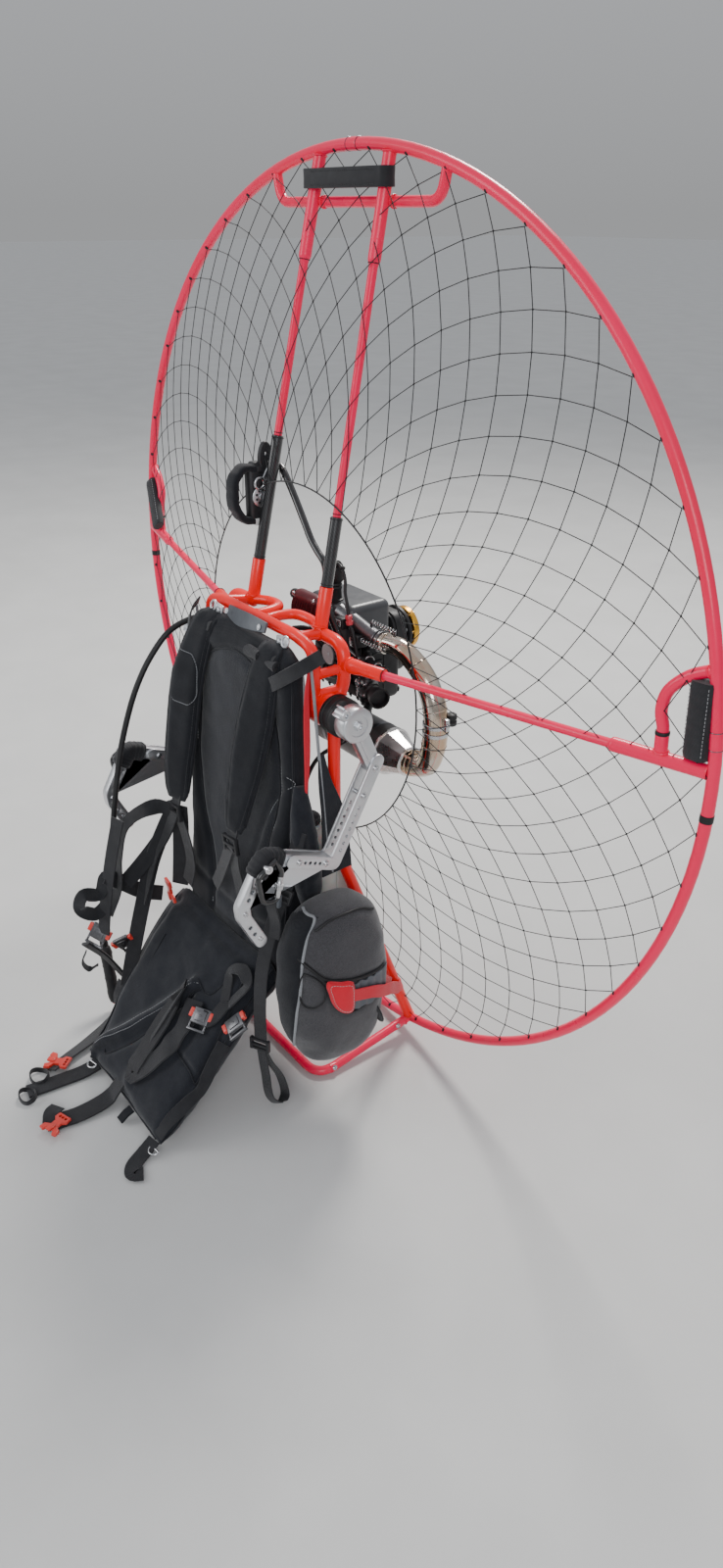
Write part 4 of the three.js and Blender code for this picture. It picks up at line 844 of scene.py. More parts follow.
# Starter hose, which is the only free cord, and its pull handle
HOSE_ROUTE = points([
    (-189, -190, 824), (-194.3, -204, 823.2), (-201, -230, 819), (-206, -268, 804), (-208, -310, 762),
    (-208, -344, 710), (-208, -370, 650), (-208, -392, 582), (-208, -408, 512), (-210, -422, 434),
    (-216, -434, 356), (-232, -442, 286), (-250, -447, 226), (-262, -449, 188), (-264, -450, 160),
])
PULL_FOOT = at(-224, -456, 16)
HOSE_PATH = smooth(HOSE_ROUTE, 80)

pull = Shape()
pull.bar(HOSE_ROUTE[-1], PULL_FOOT, [
    (0.5, 6), (2, 8), (18, 8.6), (20, 10.8), (30, 12.6), (34, 13.4), (38, 12.2), (56, 11.4),
    (60, 12.2), (64, 11.4), (84, 11.6), (88, 12.4), (92, 11.6), (112, 12), (118, 13),
    (130, 12.4), (140, 10), (144, 6),
], 28)
pull_heading = (PULL_FOOT - HOSE_ROUTE[-1]).normalized()
pull_end = HOSE_ROUTE[-1] + pull_heading * 0.1435
pull.bar(pull_end, pull_end + pull_heading, [(0, 5.6), (1.2, 6), (2.6, 4.4), (3, 2)], 20, 1)
starter_pull = pull.done("starter_pull", "frame", [RUBBER, RED_PLASTIC], "rubber", ["starter_handle"])

hose_tube = Shape().tube(HOSE_PATH, 0.0055, 16)
starter_hose = hose_tube.done("starter_pull_hose", "frame", RUBBER, "rubber", ["starter_hose"])

gland = Shape()
gland_heading = (HOSE_ROUTE[2] - HOSE_ROUTE[0]).normalized()
gland.bar(HOSE_ROUTE[0] - gland_heading * 0.004, HOSE_ROUTE[0] + gland_heading, [
    (0, 9.5), (3, 9.5), (4, 8.8), (9, 8.2), (10, 7.4), (14, 7.2), (15, 6.8), (20, 6.6), (21, 6.3), (27, 6.1),
], 20)
gland.done("hose_relief", "frame", RUBBER, "rubber")


# Hoop
def hoop_point(degrees):
    return at(HOOP_R * cos(radians(degrees)), 0, HOOP_Z + HOOP_R * sin(radians(degrees)))


for name, start, end in (("hoop_upper_left", 7, 90), ("hoop_upper_right", 90, 173),
                         ("hoop_lower_right", 173, 270), ("hoop_lower_left", 270, 367)):
    steps = round((end - start) / 2.5)
    arc = [hoop_point(start + (end - start) * i / steps) for i in range(steps + 1)]
    Shape().tube(arc, HOOP_TUBE * MM, 24).done(f"{name}_tube", "frame", HOOP_RED, "hoop_paint", [name])

collars = Shape()
for degrees in (7, 90, 173, 270):
    heading = hoop_point(degrees + 0.5) - hoop_point(degrees - 0.5)
    for offset, grip in ((-0.9, 0), (0.9, 0), (0, 1)):
        centre = hoop_point(degrees + offset)
        if grip:
            arc = [hoop_point(degrees + k * 0.2) for k in range(-5, 6)]
            collars.tube(arc, [0.0088, 0.0094] + [0.0095] * 7 + [0.0094, 0.0088], 24, 0)
        else:
            collars.ring(centre, heading, 0.0092, 0.0007, 24, 6, 1)
collars.done("hoop_joint_collars", "frame", [HOOP_RED, DARK_STEEL], "hoop_paint")

# Tape bands on the hoop, one at each side
bands = Shape()
for degrees in (-1.2, 181.2):
    bands.tube([hoop_point(degrees + k * 0.2) for k in range(-2, 3)], 0.0096, 24)
bands.done("hoop_tape_bands", "frame", RUBBER, "rubber")

# Net: cords from grommets in the hoop to a ring of cord before the engine, knotted where they cross
GROMMETS = 56
NET_RING_R = 312
NET_RING_Y = -115
NET_RING_TILT = 6
NET_ROWS = 12


def net_point(row_radius, degrees):
    t = (HOOP_R - HOOP_TUBE - row_radius) / (HOOP_R - HOOP_TUBE - NET_RING_R)
    ring_y = NET_RING_Y + NET_RING_TILT * (1 - sin(radians(degrees))) / 2
    y = -6 + (ring_y + 6) * t - 5 * sin(pi * t)
    z = HOOP_Z - 16 * t
    return at(row_radius * cos(radians(degrees)), y, z + row_radius * sin(radians(degrees)))


def net_radii():
    """Radii of the rows of knots, so that every mesh of the net has sides of one length."""
    low, high = 20.0, 90.0
    for _ in range(40):
        side = (low + high) / 2
        r = float(HOOP_R - HOOP_TUBE)
        radii = [r]
        for _ in range(NET_ROWS):
            across = pi / GROMMETS * r
            r -= sqrt(max(side * side - across * across, 9.0))
            radii.append(r)
        if r > NET_RING_R:
            low = side
        else:
            high = side
    return radii


radii = net_radii()
radii[-1] = NET_RING_R
step = 360 / GROMMETS
net = Shape()
for i in range(GROMMETS):
    for lean in (-1, 1):
        corners = [net_point(r, (i + 0.5) * step + lean * row * step / 2) for row, r in enumerate(radii)]
        net.tube(corners, 0.00075, 5)
    for row, r in enumerate(radii[1:-1], 1):
        knot = net_point(r, (i + 0.5 + (row % 2) * 0.5) * step)
        net.block(knot, (0.0019, 0.0017, 0.0019), 0.0016, segments=1)
ring_path = [net_point(NET_RING_R, i * 360 / 112) for i in range(112)]
net.tube(ring_path, 0.0014, 6, closed=True)
net_parts = [f"net_{half}_{side}" for half in ("upper", "lower") for side in ("left", "right")]
net.done("cage_net", "frame", CORD, "net_cord", net_parts, angle=80)

grommets = Shape()
for i in range(GROMMETS):
    degrees = (i + 0.5) * step
    middle = hoop_point(degrees)
    inward = (at(0, 0, HOOP_Z) - middle).normalized()
    outward = (inward + Vector((0, -1.0, 0))).normalized()
    foot = middle + outward * 0.0082
    grommets.bar(foot, foot + outward, [(0, 3.6), (0.9, 3.4), (1.6, 2.2), (1.9, 1.2)], 10, 0)
grommets.done("net_grommets", "frame", RUBBER, "rubber")

# Spars from the chassis to the hoop, each with a black sleeve low down and a thick red one at the top
SPAR_FOOT = (104, -149, 868)
SPAR_TOP = (87, 0, HOOP_Z + sqrt(HOOP_R ** 2 - 87 ** 2))
SPAR_LENGTH = dist(SPAR_FOOT, SPAR_TOP)
for name, sign, grip_end in (("left", 1, 186), ("right", -1, 284)):
    foot = at(sign * SPAR_FOOT[0], *SPAR_FOOT[1:])
    top = at(sign * SPAR_TOP[0], *SPAR_TOP[1:])
    sleeve = Shape().bar(foot, top, [
        (74.3, 9.4), (75, 10), (grip_end - 0.7, 10), (grip_end, 9.4),
    ], 28)
    sleeve.done(f"spar_sleeve_{name}", "frame", CARBON, "carbon", [f"spar_grip_{name}"])
    rod = Shape().bar(foot, top, [
        (grip_end + 0.3, 6.8), (grip_end + 0.5, 7), (552, 7), (556, 7.8), (560, 9.6), (563, 10),
        (SPAR_LENGTH - 8.6, 10),
    ], 28)
    for share in (0.2, 0.8):
        ridge = 560 + (SPAR_LENGTH - 570) * share
        rod.bar(foot, top, [(ridge - 0.4, 10), (ridge, 10.25), (ridge + 0.4, 10)], 28)
    rod.done(f"spar_rod_{name}", "frame", HOOP_RED, "hoop_paint", [f"spar_{name}"])
    fittings = Shape()
    heading = (top - foot).normalized()
    for distance, radius in ((78, 10.3), (grip_end - 3, 10.4), (grip_end + 5, 7.5), (557, 8.6)):
        fittings.ring(foot + heading * distance * MM, heading, radius * MM, 0.0007, 24, 6)
    fittings.done(f"spar_bands_{name}", "frame", RUBBER, "rubber")

# Handle loop at the top and the webbing band between the spars
HANDLE_END_X = 213
handle_end = (HANDLE_END_X, 0, HOOP_Z + sqrt(HOOP_R ** 2 - HANDLE_END_X ** 2))
half = [handle_end, (HANDLE_END_X - 12, 0, 1493)]
handle_path = rounded(points(half + flip(half)[::-1]), 0.042)
Shape().tube(handle_path, 0.008, 24).done("top_handle_tube", "frame", HOOP_RED, "hoop_paint", ["top_handle"])
welds = Shape()
for sign in (1, -1):
    heading = (at(sign * 87, 0, 1560) - at(sign * 87, -3, 1540)).normalized()
    for x, z, axis, radius in ((213, 1536, Vector((0.1, 0, 1)), 9.2),
                               (87, 1556, heading, 10.8), (99, 1493, X, 8.8), (77, 1493, X, 8.8)):
        welds.ring(at(sign * x, -2 if x < 150 else 0, z), axis, radius * MM, 0.0013, 28, 8)
welds.done("top_welds", "frame", HOOP_RED, "hoop_paint")

band = Shape()
band_rim = []
for angle in angles(40):
    cx = 92 if cos(angle) > 0 else -92
    band_rim.append(at(cx + 13.5 * cos(angle), -13 + 13.5 * sin(angle) - 0.5, 1529))
rings = []
band_middle = at(0, -13, 0).y
for z, grow in ((1511.5, 0.0), (1512.3, 0.7), (1525, 0.3), (1537.7, 0.7), (1538.5, 0.0)):
    rings.append([
        Vector((p.x * (1 + grow / 105), p.y + 0.0007 * grow * (1 if p.y > band_middle else -1), z * MM))
        for p in band_rim
    ])
band.sections(rings)
for z in (1515.5, 1534.5):
    for k in range(30):
        x = -78 + k * 5.4
        band.tube([at(x, -28.0, z), at(x + 1.7, -28.3, z), at(x + 3.4, -28.0, z)], 0.0004, 5, 1)
band.done("spar_band", "frame", [STRAP, DARK_THREAD], "fabric", ["top_band"])

# Lateral arms with their tees, hand loops and wraps
ARM_ROOT = (178, -151, 834)
ARM_END = (HOOP_R * cos(radians(3.6)), 0, HOOP_Z + HOOP_R * sin(radians(3.6)))
ARM_LENGTH = dist(ARM_ROOT, ARM_END)


def on_arm(x):
    t = (x - ARM_ROOT[0]) / (ARM_END[0] - ARM_ROOT[0])
    return tuple(a + (b - a) * t for a, b in zip(ARM_ROOT, ARM_END))


TEE = on_arm(706)
TEE_TOP = (TEE[0] - 2, TEE[1], TEE[2] + 36)
LOOP_END = (HOOP_R * cos(radians(13.8)), 0, HOOP_Z + HOOP_R * sin(radians(13.8)))
LOOP = [
    (TEE_TOP[0] + 0.2, TEE_TOP[1], TEE_TOP[2] - 4),
    (TEE_TOP[0] - 1, TEE_TOP[1] + 1, TEE_TOP[2] + 8), (697, -18, 904), (699, -13, 930), (722, -6, 957),
    (745, -1, 970), LOOP_END,
]
loop_path = course(LOOP, 30)
for name, mirror in SIDES:
    arm = Shape().bar(at(*ARM_ROOT), at(*ARM_END), [
        (78.3, 6.7), (78.6, 7), (470, 7), (472, 8.2), (474, 10.1), (477, 10.5), (ARM_LENGTH - 8.7, 10.5),
    ], 28)
    arm.bar(at(*TEE), at(*TEE_TOP), [(0, 9.5), (35, 9.5), (36, 9)], 24)
    arm.ring(at(*on_arm(706)) + Vector((0, 0, 0.0105)), Z, 0.0102, 0.0014, 28, 8)
    arm.ring(at(*ARM_END) - Vector((0.009, 0, 0)), Vector((1, 0.25, 0)), 0.0105, 0.0014, 28, 8)
    arm.done(f"arm_tube_{name}", "frame", HOOP_RED, "hoop_paint", [f"lateral_arm_{name}"], mirror=mirror)
    loop = Shape().tube(loop_path, 0.0085, 24)
    loop.ring(loop_path[-1] + (loop_path[-2] - loop_path[-1]).normalized() * 0.009,
              loop_path[-2] - loop_path[-1], 0.0088, 0.0013, 28, 8)
    loop.done(f"hand_loop_{name}", "frame", HOOP_RED, "hoop_paint", [f"side_handle_{name}"], mirror=mirror)
    trim = Shape()
    trim.bar(at(*TEE_TOP) - Vector((0, 0, 0.0015)), at(*TEE_TOP) + Z,
             [(0, 9.7), (0.4, 10), (4.6, 10), (5, 9.7)], 24)
    trim.ring(at(*on_arm(ARM_ROOT[0] + 465)), at(*ARM_END) - at(*ARM_ROOT), 0.0075, 0.0007, 24, 6)
    trim.ring(at(*on_arm(ARM_ROOT[0] + 77)), at(*ARM_END) - at(*ARM_ROOT), 0.0112, 0.0008, 24, 6)
    trim.done(f"arm_bands_{name}", "frame", RUBBER, "rubber", mirror=mirror)


def wrap(upper, lower, half_width, half_depth):
    """A fabric sleeve closed round the tubes, a little creased."""
    a, b = at(*upper), at(*lower)
    down = (b - a).normalized()
    across = squared(X, down)
    out = down.cross(across)
    shape = Shape()
    rings, uv = [], []
    rows = 22
    for i in range(rows + 1):
        t = i / rows
        edge = 0.93 if i in (0, rows) else 1.0
        ring = []
        for k, angle in enumerate(angles(28)):
            c, s = cos(angle), sin(angle)
            crease = 1 + 0.035 * sin(i * 2.1 + k * 0.9) * sin(pi * t)
            w = half_width * bent(c, 0.55) * edge
            d = half_depth * bent(s, 0.7) * edge * crease
            ring.append(a.lerp(b, t) + (across * w + out * d) * MM)
            uv.append((angle * half_width * 0.0004, t * (b - a).length))
        rings.append(ring)
    shape.sections(rings, 0, False, uv)
    for side in (-0.8, 0.8):
        for k in range(18):
            t = 0.05 + k * 0.05
            for face in (-1, 1):
                p = a.lerp(b, t) + across * half_width * side * MM + out * face * half_depth * 0.00093
                shape.tube([p, p + down * 0.0016 + out * face * 0.0003, p + down * 0.0032], 0.0004, 5, 1)
    return shape


wrap((746, -3, 958), (752, -5, 852), 18, 12.5).done("loop_wrap_left", "frame", [STRAP, THREAD],
                                                    "fabric", ["side_wrap_left"])
wrap((-742, -14, 946), (-662, -46, 866), 15, 9).done("loop_wrap_right", "frame", [STRAP, THREAD],
                                                     "fabric", ["side_wrap_right"])


# Chassis: front arch, side frames with their loops, rails and foot
ARCH = (163, -204, 874)
PIVOT = (-182, 760)
arch_half = [(ARCH[0], ARCH[1] + 1, PIVOT[1] + 4), (ARCH[0], ARCH[1] + 1, ARCH[2] - 8),
             (ARCH[0] - 50, ARCH[1], ARCH[2] + 2)]
arch_path = rounded(points(arch_half + flip(arch_half)[::-1]), 0.062, 10)
arch = Shape().tube(arch_path, 0.010, 24)
for sign in (1, -1):
    arch.ring(at(sign * 163, -203, 790), Z, 0.0102, 0.0014, 28, 8)
arch.done("chassis_front_arch", "frame", CHASSIS_RED, "chassis_paint", ["front_arch"])


def pivot(x):
    return at(x, *PIVOT)


def side_frame():
    s = Shape()
    s.bar(at(*SPAR_FOOT), at(*SPAR_TOP), [(-10, 8), (-7, 10.6), (-4, 11.5), (72.6, 11.5), (74, 10.9)], 28)
    s.tube(rounded(points([(100, -149, 866), (174, -151, 866), (175, -153, 800), (174, -172, 765)]),
                   0.058, 12), 0.011, 24)
    s.bar(at(*ARM_ROOT), at(*ARM_END),
          [(-2, 11), (0, 12.5), (24, 12.5), (34, 11), (76.6, 11), (78, 10.4)], 28)
    s.tube(course([SPAR_FOOT, (64, -137, 872), (26, -146, 875), (15, -172, 875), (16, -204, 874)], 26),
           0.009, 24)
    s.tube(points([(110, -149, 866), (117, -204, 874)]), 0.009, 24)
    s.tube(points([(174, -156, 827), (163, -204, 822)]), 0.008, 20)
    s.tube(points([(173, -160, 792), (163, -204, 788)]), 0.008, 20)
    s.bar(pivot(0), pivot(1), [
        (156, 14), (150.4, 15), (150, 16), (150, 28.6), (151.5, 30), (185.5, 30), (187, 28.8),
    ], 40)
    for centre, axis, radius in (
        ((104, -149, 877), (-0.1, 0.2, 1), 11.8), ((117, -200, 874), (0.1, -1, 0.1), 9.2),
        ((112, -158, 867), (0.1, -1, 0.1), 9.4), ((165, -196, 823), (0.2, -1, -0.1), 8.3),
        ((173, -166, 826), (0.2, -1, -0.1), 8.3), ((165, -197, 788), (0.2, -1, -0.1), 8.2),
        ((16, -196, 874), (0, -1, 0), 9.2), ((186, -149, 834), (1, 0.2, 0), 12.6),
        ((175, -160, 786), (0, -0.5, -1), 11.2),
    ):
        s.ring(at(*centre), Vector(axis), radius * MM, 0.0013, 24, 8)
    return s


side_frame().done("chassis_side_left", "frame", CHASSIS_RED, "chassis_paint", ["side_frame_left"])
right_side = Shape().merge(side_frame(), move=Matrix.Scale(-1, 4, (1, 0, 0)))
right_side.bar(at(-176, -156, 826), at(-189, -190, 824), [(0, 9), (35.4, 9), (36.4, 8.4)], 24)
right_side.done("chassis_side_right", "frame", CHASSIS_RED, "chassis_paint", ["side_frame_right"])

RAIL_FOOT = (187, 0, HOOP_Z - sqrt(HOOP_R ** 2 - 187 ** 2))
RAIL_LINE = (172, -172)
rail_path = rounded(points([(*RAIL_LINE, 750), (*RAIL_LINE, 500), RAIL_FOOT]), 0.120, 12)
for name, mirror in SIDES:
    rail = Shape().tube(rail_path, 0.011, 24)
    rail.ring(at(*RAIL_LINE, 731), Z, 0.0112, 0.0014, 28, 8)
    rail.ring(rail_path[-1] - (rail_path[-1] - rail_path[-2]).normalized() * 0.010,
              rail_path[-1] - rail_path[-2], 0.0112, 0.0014, 28, 8)
    rail.done(f"chassis_rail_{name}", "frame", CHASSIS_RED, "chassis_paint", [f"rail_{name}"], mirror=mirror)
    strap = Shape()
    for z, wide in ((498, 10), (470, 4)):
        heights = [z - wide, z - wide + 1, z, z + wide - 1, z + wide]
        strap.tube(points([(*RAIL_LINE, height) for height in heights]),
                   [0.0112, 0.0122, 0.0124, 0.0122, 0.0112], 24)
    strap.block(at(172, -187, 498), (0.005, 0.004, 0.009), 0.0015)
    strap.done(f"rail_strap_{name}", "frame", RUBBER, "rubber", mirror=mirror)

foot_half = [RAIL_FOOT, (197, -235, 9)]
foot_path = rounded(points(foot_half + flip(foot_half)[::-1]), 0.040, 10)
foot = Shape().tube(foot_path, 0.009, 24)
for sign in (1, -1):
    foot.ring(at(sign * 188, -16, 30), Vector((0, 1, 0.1)), 0.0092, 0.0014, 28, 8)
foot.done("foot_bow", "frame", HOOP_RED, "hoop_paint", ["foot"])
foot_bolts = Shape()
for sign in (1, -1):
    for x, y, z in ((195.6, -200, 12.5), (189, -38, 28)):
        foot_bolts.bolt(at(sign * (x + 8), y, z + 4), Vector((sign * 0.9, 0, 0.45)), 0.0036, 0.003)
        foot_bolts.bar(at(sign * x, y, z) - Vector((0, 0.007, 0)), at(sign * x, y, z),
                       [(0, 9.1), (0.3, 9.4), (13.7, 9.4), (14, 9.1)], 24, 1)
foot_bolts.done("foot_bolts", "frame", [STEEL, HOOP_RED], "alloy")

# Swing arms
LINK_X = (232, 250)
ELBOW = (-146, 678)
PLATE_LINE = [(-142, 686), (-232, 522), (-314, 556)]
TIP_LINE = [(-244, 527), (-352, 571), (-372, 556), (-406, 498), (-404, 478), (-377, 424)]
PLATE_PINS = [(-148, 675), (-172, 631), (-250, 529.5), (-302, 551)]
CAP_STEPS = 9
CORNER_SPREAD = 0.35
KEEPER_STEPS = 30


def outline(line, width):
    """The outline of a flat link that follows a few (y, z) points, with round ends, in metres."""
    half = width / 2
    p = [Vector((y + HOOP_PLANE, z)) for y, z in line]
    heads = [(b - a).normalized() for a, b in zip(p, p[1:])]
    left, right = [], []
    for i, q in enumerate(p):
        before, after = heads[max(i - 1, 0)], heads[min(i, len(heads) - 1)]
        middle = (before + after).normalized()
        reach = half / max(middle.dot(before), 0.5)
        normal = Vector((-middle.y, middle.x))
        if 0 < i < len(p) - 1:
            back, on = q - before * half * CORNER_SPREAD, q + after * half * CORNER_SPREAD
            for side, store in ((1, left), (-1, right)):
                inner = q + normal * reach * side
                n0, n1 = Vector((-before.y, before.x)), Vector((-after.y, after.x))
                a, b = back + n0 * half * side, on + n1 * half * side
                for t in (0, 0.25, 0.5, 0.75, 1):
                    store.append((1 - t) ** 2 * a + 2 * t * (1 - t) * inner + t * t * b)
        else:
            left.append(q + normal * half)
            right.append(q - normal * half)

    def cap(centre, heading):
        base = atan2(heading.y, heading.x)
        turns = [base + pi / 2 - pi * k / CAP_STEPS for k in range(1, CAP_STEPS)]
        return [centre + Vector((cos(a), sin(a))) * half for a in turns]

    loop = left + cap(p[-1], heads[-1]) + right[::-1] + cap(p[0], -heads[0])
    return [(q.x * MM, q.y * MM) for q in loop]


def hole_row(start, end, count, radius=2.6):
    out = []
    for i in range(count):
        t = (i + 1) / (count + 1)
        y, z = (a + (b - a) * t for a, b in zip(start, end))
        out.append(((y + HOOP_PLANE) * MM, z * MM, radius * MM))
    return out


def flat_part(shape, loop, x0, x1, holes=(), bevel=0.0012):
    """A flat link between two distances from the middle, in millimetres."""
    shape.plate(loop, Vector(), Y, Z, x0 * MM, x1 * MM, bevel, holes)


for name, mirror in SIDES:
    body = f"arm_{name}"
    drum = Shape().bar(pivot(0), pivot(1), [
        (187.4, 20), (187.4, 29), (190, 33), (196, 33), (197, 31.6), (199, 31.6), (200, 33),
        (210, 33), (211, 31.6), (213, 31.6), (214, 33), (218, 33), (222, 31), (226, 27), (226, 12),
    ], 44)
    drum.done(f"pivot_drum_body_{name}", "frame", RUBBER, "black_metal",
              [f"pivot_drum_{name}"], mirror=mirror)

    hub = Shape().bar(pivot(0), pivot(1), [
        (226.3, 12), (226.3, 26), (227.5, 29), (229, 30), (251.5, 30), (254, 28.4), (255, 26.4), (255, 18),
        (253.6, 17.4), (253.6, 10),
    ], 44)
    flat_part(hub, outline([PIVOT, ELBOW], 29), *LINK_X, bevel=0.0022)
    flat_part(hub, outline([(-172, 737), (-151, 690)], 15), LINK_X[1] - 0.4, LINK_X[1] + 2.2, bevel=0.0012)
    hub.bar(pivot(254) - X * 0.0005, pivot(260),
            [(0, 9.5), (1.2, 9.5), (1.4, 7.4), (6, 7.4), (6.6, 6.6), (6.6, 3.6), (3.4, 3.4)], 6)
    clamp = at(246, PIVOT[0] - 24, PIVOT[1] + 24)
    hub.bar(clamp, clamp + X, [(-14, 7.6), (-12.6, 9), (7.6, 9), (9, 7.8), (9, 3.8), (5, 3.6)], 24)
    hub.block(at(241, PIVOT[0] - 19, PIVOT[1] + 29), (0.010, 0.0016, 0.010), 0.0006,
              axes=[X, Vector((0, 0.7, 0.7)), Vector((0, -0.7, 0.7))])
    hub.block(at(241, PIVOT[0] - 29, PIVOT[1] + 19), (0.010, 0.0030, 0.008), 0.0012,
              axes=[X, Vector((0, 0.7, 0.7)), Vector((0, -0.7, 0.7))])
    hub.done(f"arm_hub_body_{name}", body, ALLOY, "alloy", [f"arm_hub_{name}"], mirror=mirror)

    plates = Shape()
    rows = hole_row((-176, 624), (-226, 533), 7) + hole_row((-252, 530), (-300, 550), 4)
    for x0, x1 in ((226.7, 231.7), (250.3, 255.3)):
        flat_part(plates, outline(PLATE_LINE, 24), x0, x1, rows, 0.0011)
    for y, z in PLATE_PINS:
        plates.bar(at(226, y, z), at(256, y, z), [(0, 3.9), (30, 3.9)], 16, 1)
        plates.bolt(at(255.3, y, z), X, 0.0044, 0.0036, 1)
        plates.bar(at(226.7, y, z), at(220, y, z),
                   [(0, 6.2), (0.8, 6.2), (0.9, 5.2), (2.9, 5.2), (3.1, 4.6)], 6, 1)
    plates.done(f"arm_plates_body_{name}", body, [ALLOY, STEEL], "alloy",
                [f"arm_plates_{name}"], mirror=mirror)

    tip = Shape()
    rows = hole_row((-374, 551), (-404, 500), 3, 3.0) + hole_row((-404, 474), (-381, 428), 2, 3.0)
    flat_part(tip, outline(TIP_LINE, 23), *LINK_X, rows, 0.0022)
    for y, z in ((-379, 431), (-404, 489)):
        tip.bar(at(232, y, z), at(225, y, z),
                [(-0.2, 5.6), (0.6, 5.6), (0.7, 4.4), (2.4, 4.4), (2.6, 3.8)], 6, 1)
        tip.bolt(at(250, y, z), X, 0.0036, 0.0026, 1)
    tip.done(f"arm_tip_body_{name}", body, [ALLOY, STEEL], "alloy", [f"arm_tip_{name}"], mirror=mirror)

    # The keeper sleeve round the tip link, ringed at both ends, with the carabiner beside it
    hook = Shape()
    keeper_path = course([(241, -331, 562.5), (241, -346, 569), (241, -357, 571), (241, -368, 562),
                          (241, -377, 548)], KEEPER_STEPS)
    rings, uv = [], []
    for i, p in enumerate(keeper_path):
        t = i / KEEPER_STEPS
        heading = (keeper_path[min(i + 1, KEEPER_STEPS)] - keeper_path[max(i - 1, 0)]).normalized()
        out = heading.cross(X).normalized()
        fold = 1 + 0.04 * sin(i * 1.7) + (-0.10 if i in (0, KEEPER_STEPS) else 0.0)
        ring = []
        for angle in angles(24):
            c, s = cos(angle), sin(angle)
            ring.append(p + X * 0.0155 * bent(c, 0.6) * fold + out * 0.0168 * bent(s, 0.6) * fold)
            uv.append((angle * 0.012, t * 0.05))
        rings.append(ring)
    hook.sections(rings, 0, False, uv)
    for share in (0.1, 0.9):
        p, heading = along(keeper_path, share)
        hook.ring(p, heading, 0.0172, 0.0014, 24, 6, 0)
    bow = rounded(points([(261, -352, 576), (261, -386, 556), (261, -378, 506), (261, -352, 500),
                          (261, -341, 552), (261, -352, 576)]), 0.014, 6)
    hook.tube(bow[:-1], 0.0048, 16, 1, closed=True)
    gate_a, gate_b = at(261, -350.6, 507), at(261, -343, 544)
    hook.bar(gate_a, gate_b, [(0, 4.8), (1.5, 5.6), (14, 5.6), (15, 6.4), (28, 6.4), (29.5, 5.4), (38, 5.2)],
             20, 2)
    for angle in angles(12):
        side = Vector((cos(angle), 0, 0)) * 0.0062 + Vector((0, 0.98, -0.2)) * 0.0062 * sin(angle)
        hook.block(gate_a.lerp(gate_b, 0.56) + side, (0.0007, 0.0007, 0.0055), 0.0003,
                   axes=[X, Vector((0, 0.98, -0.2)), Vector((0, 0.2, 0.98))], mat=2, segments=1)
    hook.bar(at(256, -366, 566), at(270, -366, 566),
             [(0, 7.4), (9.4, 7.4), (10.4, 6.4), (10.4, 2.4), (9.2, 2.2)], 24, 2)
    hook.bolt(at(266.2, -366, 566), X, 0.0034, 0.0016, 2)
    hook.done(f"arm_carabiner_{name}", body, [STRAP, GLOSS, STEEL], "rubber",
              [f"arm_hook_{name}"], mirror=mirror)

# Engine
block = Shape()
block.box((-74, -26, 690), (74, 50, 796), 0.012)
block.box((-75.4, 9, 688.8), (75.4, 11.5, 797), 0.0012, segments=2)
block.box((-56, -31, 700), (56, -24, 722), 0.006, segments=3)
for x in (-66, -44, -22, 22, 44, 66):
    block.box((x - 2, -29, 694), (x + 2, 46, 698), 0.001, segments=2)
    block.box((x - 2, -27, 690), (x + 2, -24, 742), 0.0012, segments=2)
for z in (702, 716, 730, 744, 758, 772, 786):
    for sign in (1, -1):
        block.box((sign * 75 - 2.5, -18, z - 1.4), (sign * 75 + 2.5, 6, z + 1.4), 0.001, segments=2)
for sign in (1, -1):
    block.tube(rounded(points([(sign * 52, -4, 716), (sign * 124, -64, 712), (sign * 168, -166, 701)]),
                       0.03, 8), 0.008, 20)
    end = at(sign * 170, -170, 700.5)
    heading = (end - at(sign * 124, -64, 712)).normalized()
    block.bar(end - heading * 0.034, end,
              [(0, 9), (2, 12.5), (8, 13.4), (14, 10.6), (20, 13.4), (26, 12.5), (28, 9)], 24, 2)
    block.bar(end - heading * 0.040, end, [(0, 12), (4, 12), (5, 9)], 6, 1)
    for z in (702, 782):
        block.bolt(at(sign * 64, -26, z), -Y, 0.0045, 0.004, 1)
        block.bolt(at(sign * 64, 50, z), Y, 0.0045, 0.004, 1)
for a in angles(8, 0.5):
    block.bar(at(56 * cos(a), -24, 775 + 56 * sin(a)), at(56 * cos(a), -25, 775 + 56 * sin(a)),
              [(0, 6), (5, 6), (6, 5)] if sin(a) < 0.3 else [(0, 3), (1, 3), (2, 2.5)], 14)
block.done("crankcase", "frame", [CAST, STEEL, RUBBER], "black_metal", ["engine_block"])

# The vented cover in front of the cylinder's shroud, its louvres open to the front
cover = Shape()
cover.box((-84, -80, 830), (-8, -54, 880), 0.012, segments=6)
cover.box((-86, -83, 828), (-6, -56, 834), 0.003, segments=3)
for i in range(9):
    x = -75 + i * 7.4
    louvre = [(x - 6, -80, 836), (x - 4.5, -82, 846), (x - 2, -82.4, 856), (x, -80, 866)]
    cover.ribbon(course(louvre, 14), 0.0034, 0.0060, -Y)
for z in (846, 862):
    for x in (-84, -8):
        cover.box((x - 1.5, -74, z - 2), (x + 1.5, -60, z + 2), 0.001, segments=2)
cover.bar(at(-80, -64, 864), at(-81, -64, 864),
          [(0, 8), (4, 8), (6, 6), (10, 6), (11, 9), (17, 9.6), (21, 8.6), (23, 6)], 24, 1)
for x in (-77, -15):
    cover.bolt(at(x, -80, 873), -Y, 0.0030, 0.0025, 2)
cover.done("cylinder_head_cover", "frame", [GRILLE, CAST, STEEL], "dark_cover", ["cylinder_cover"])

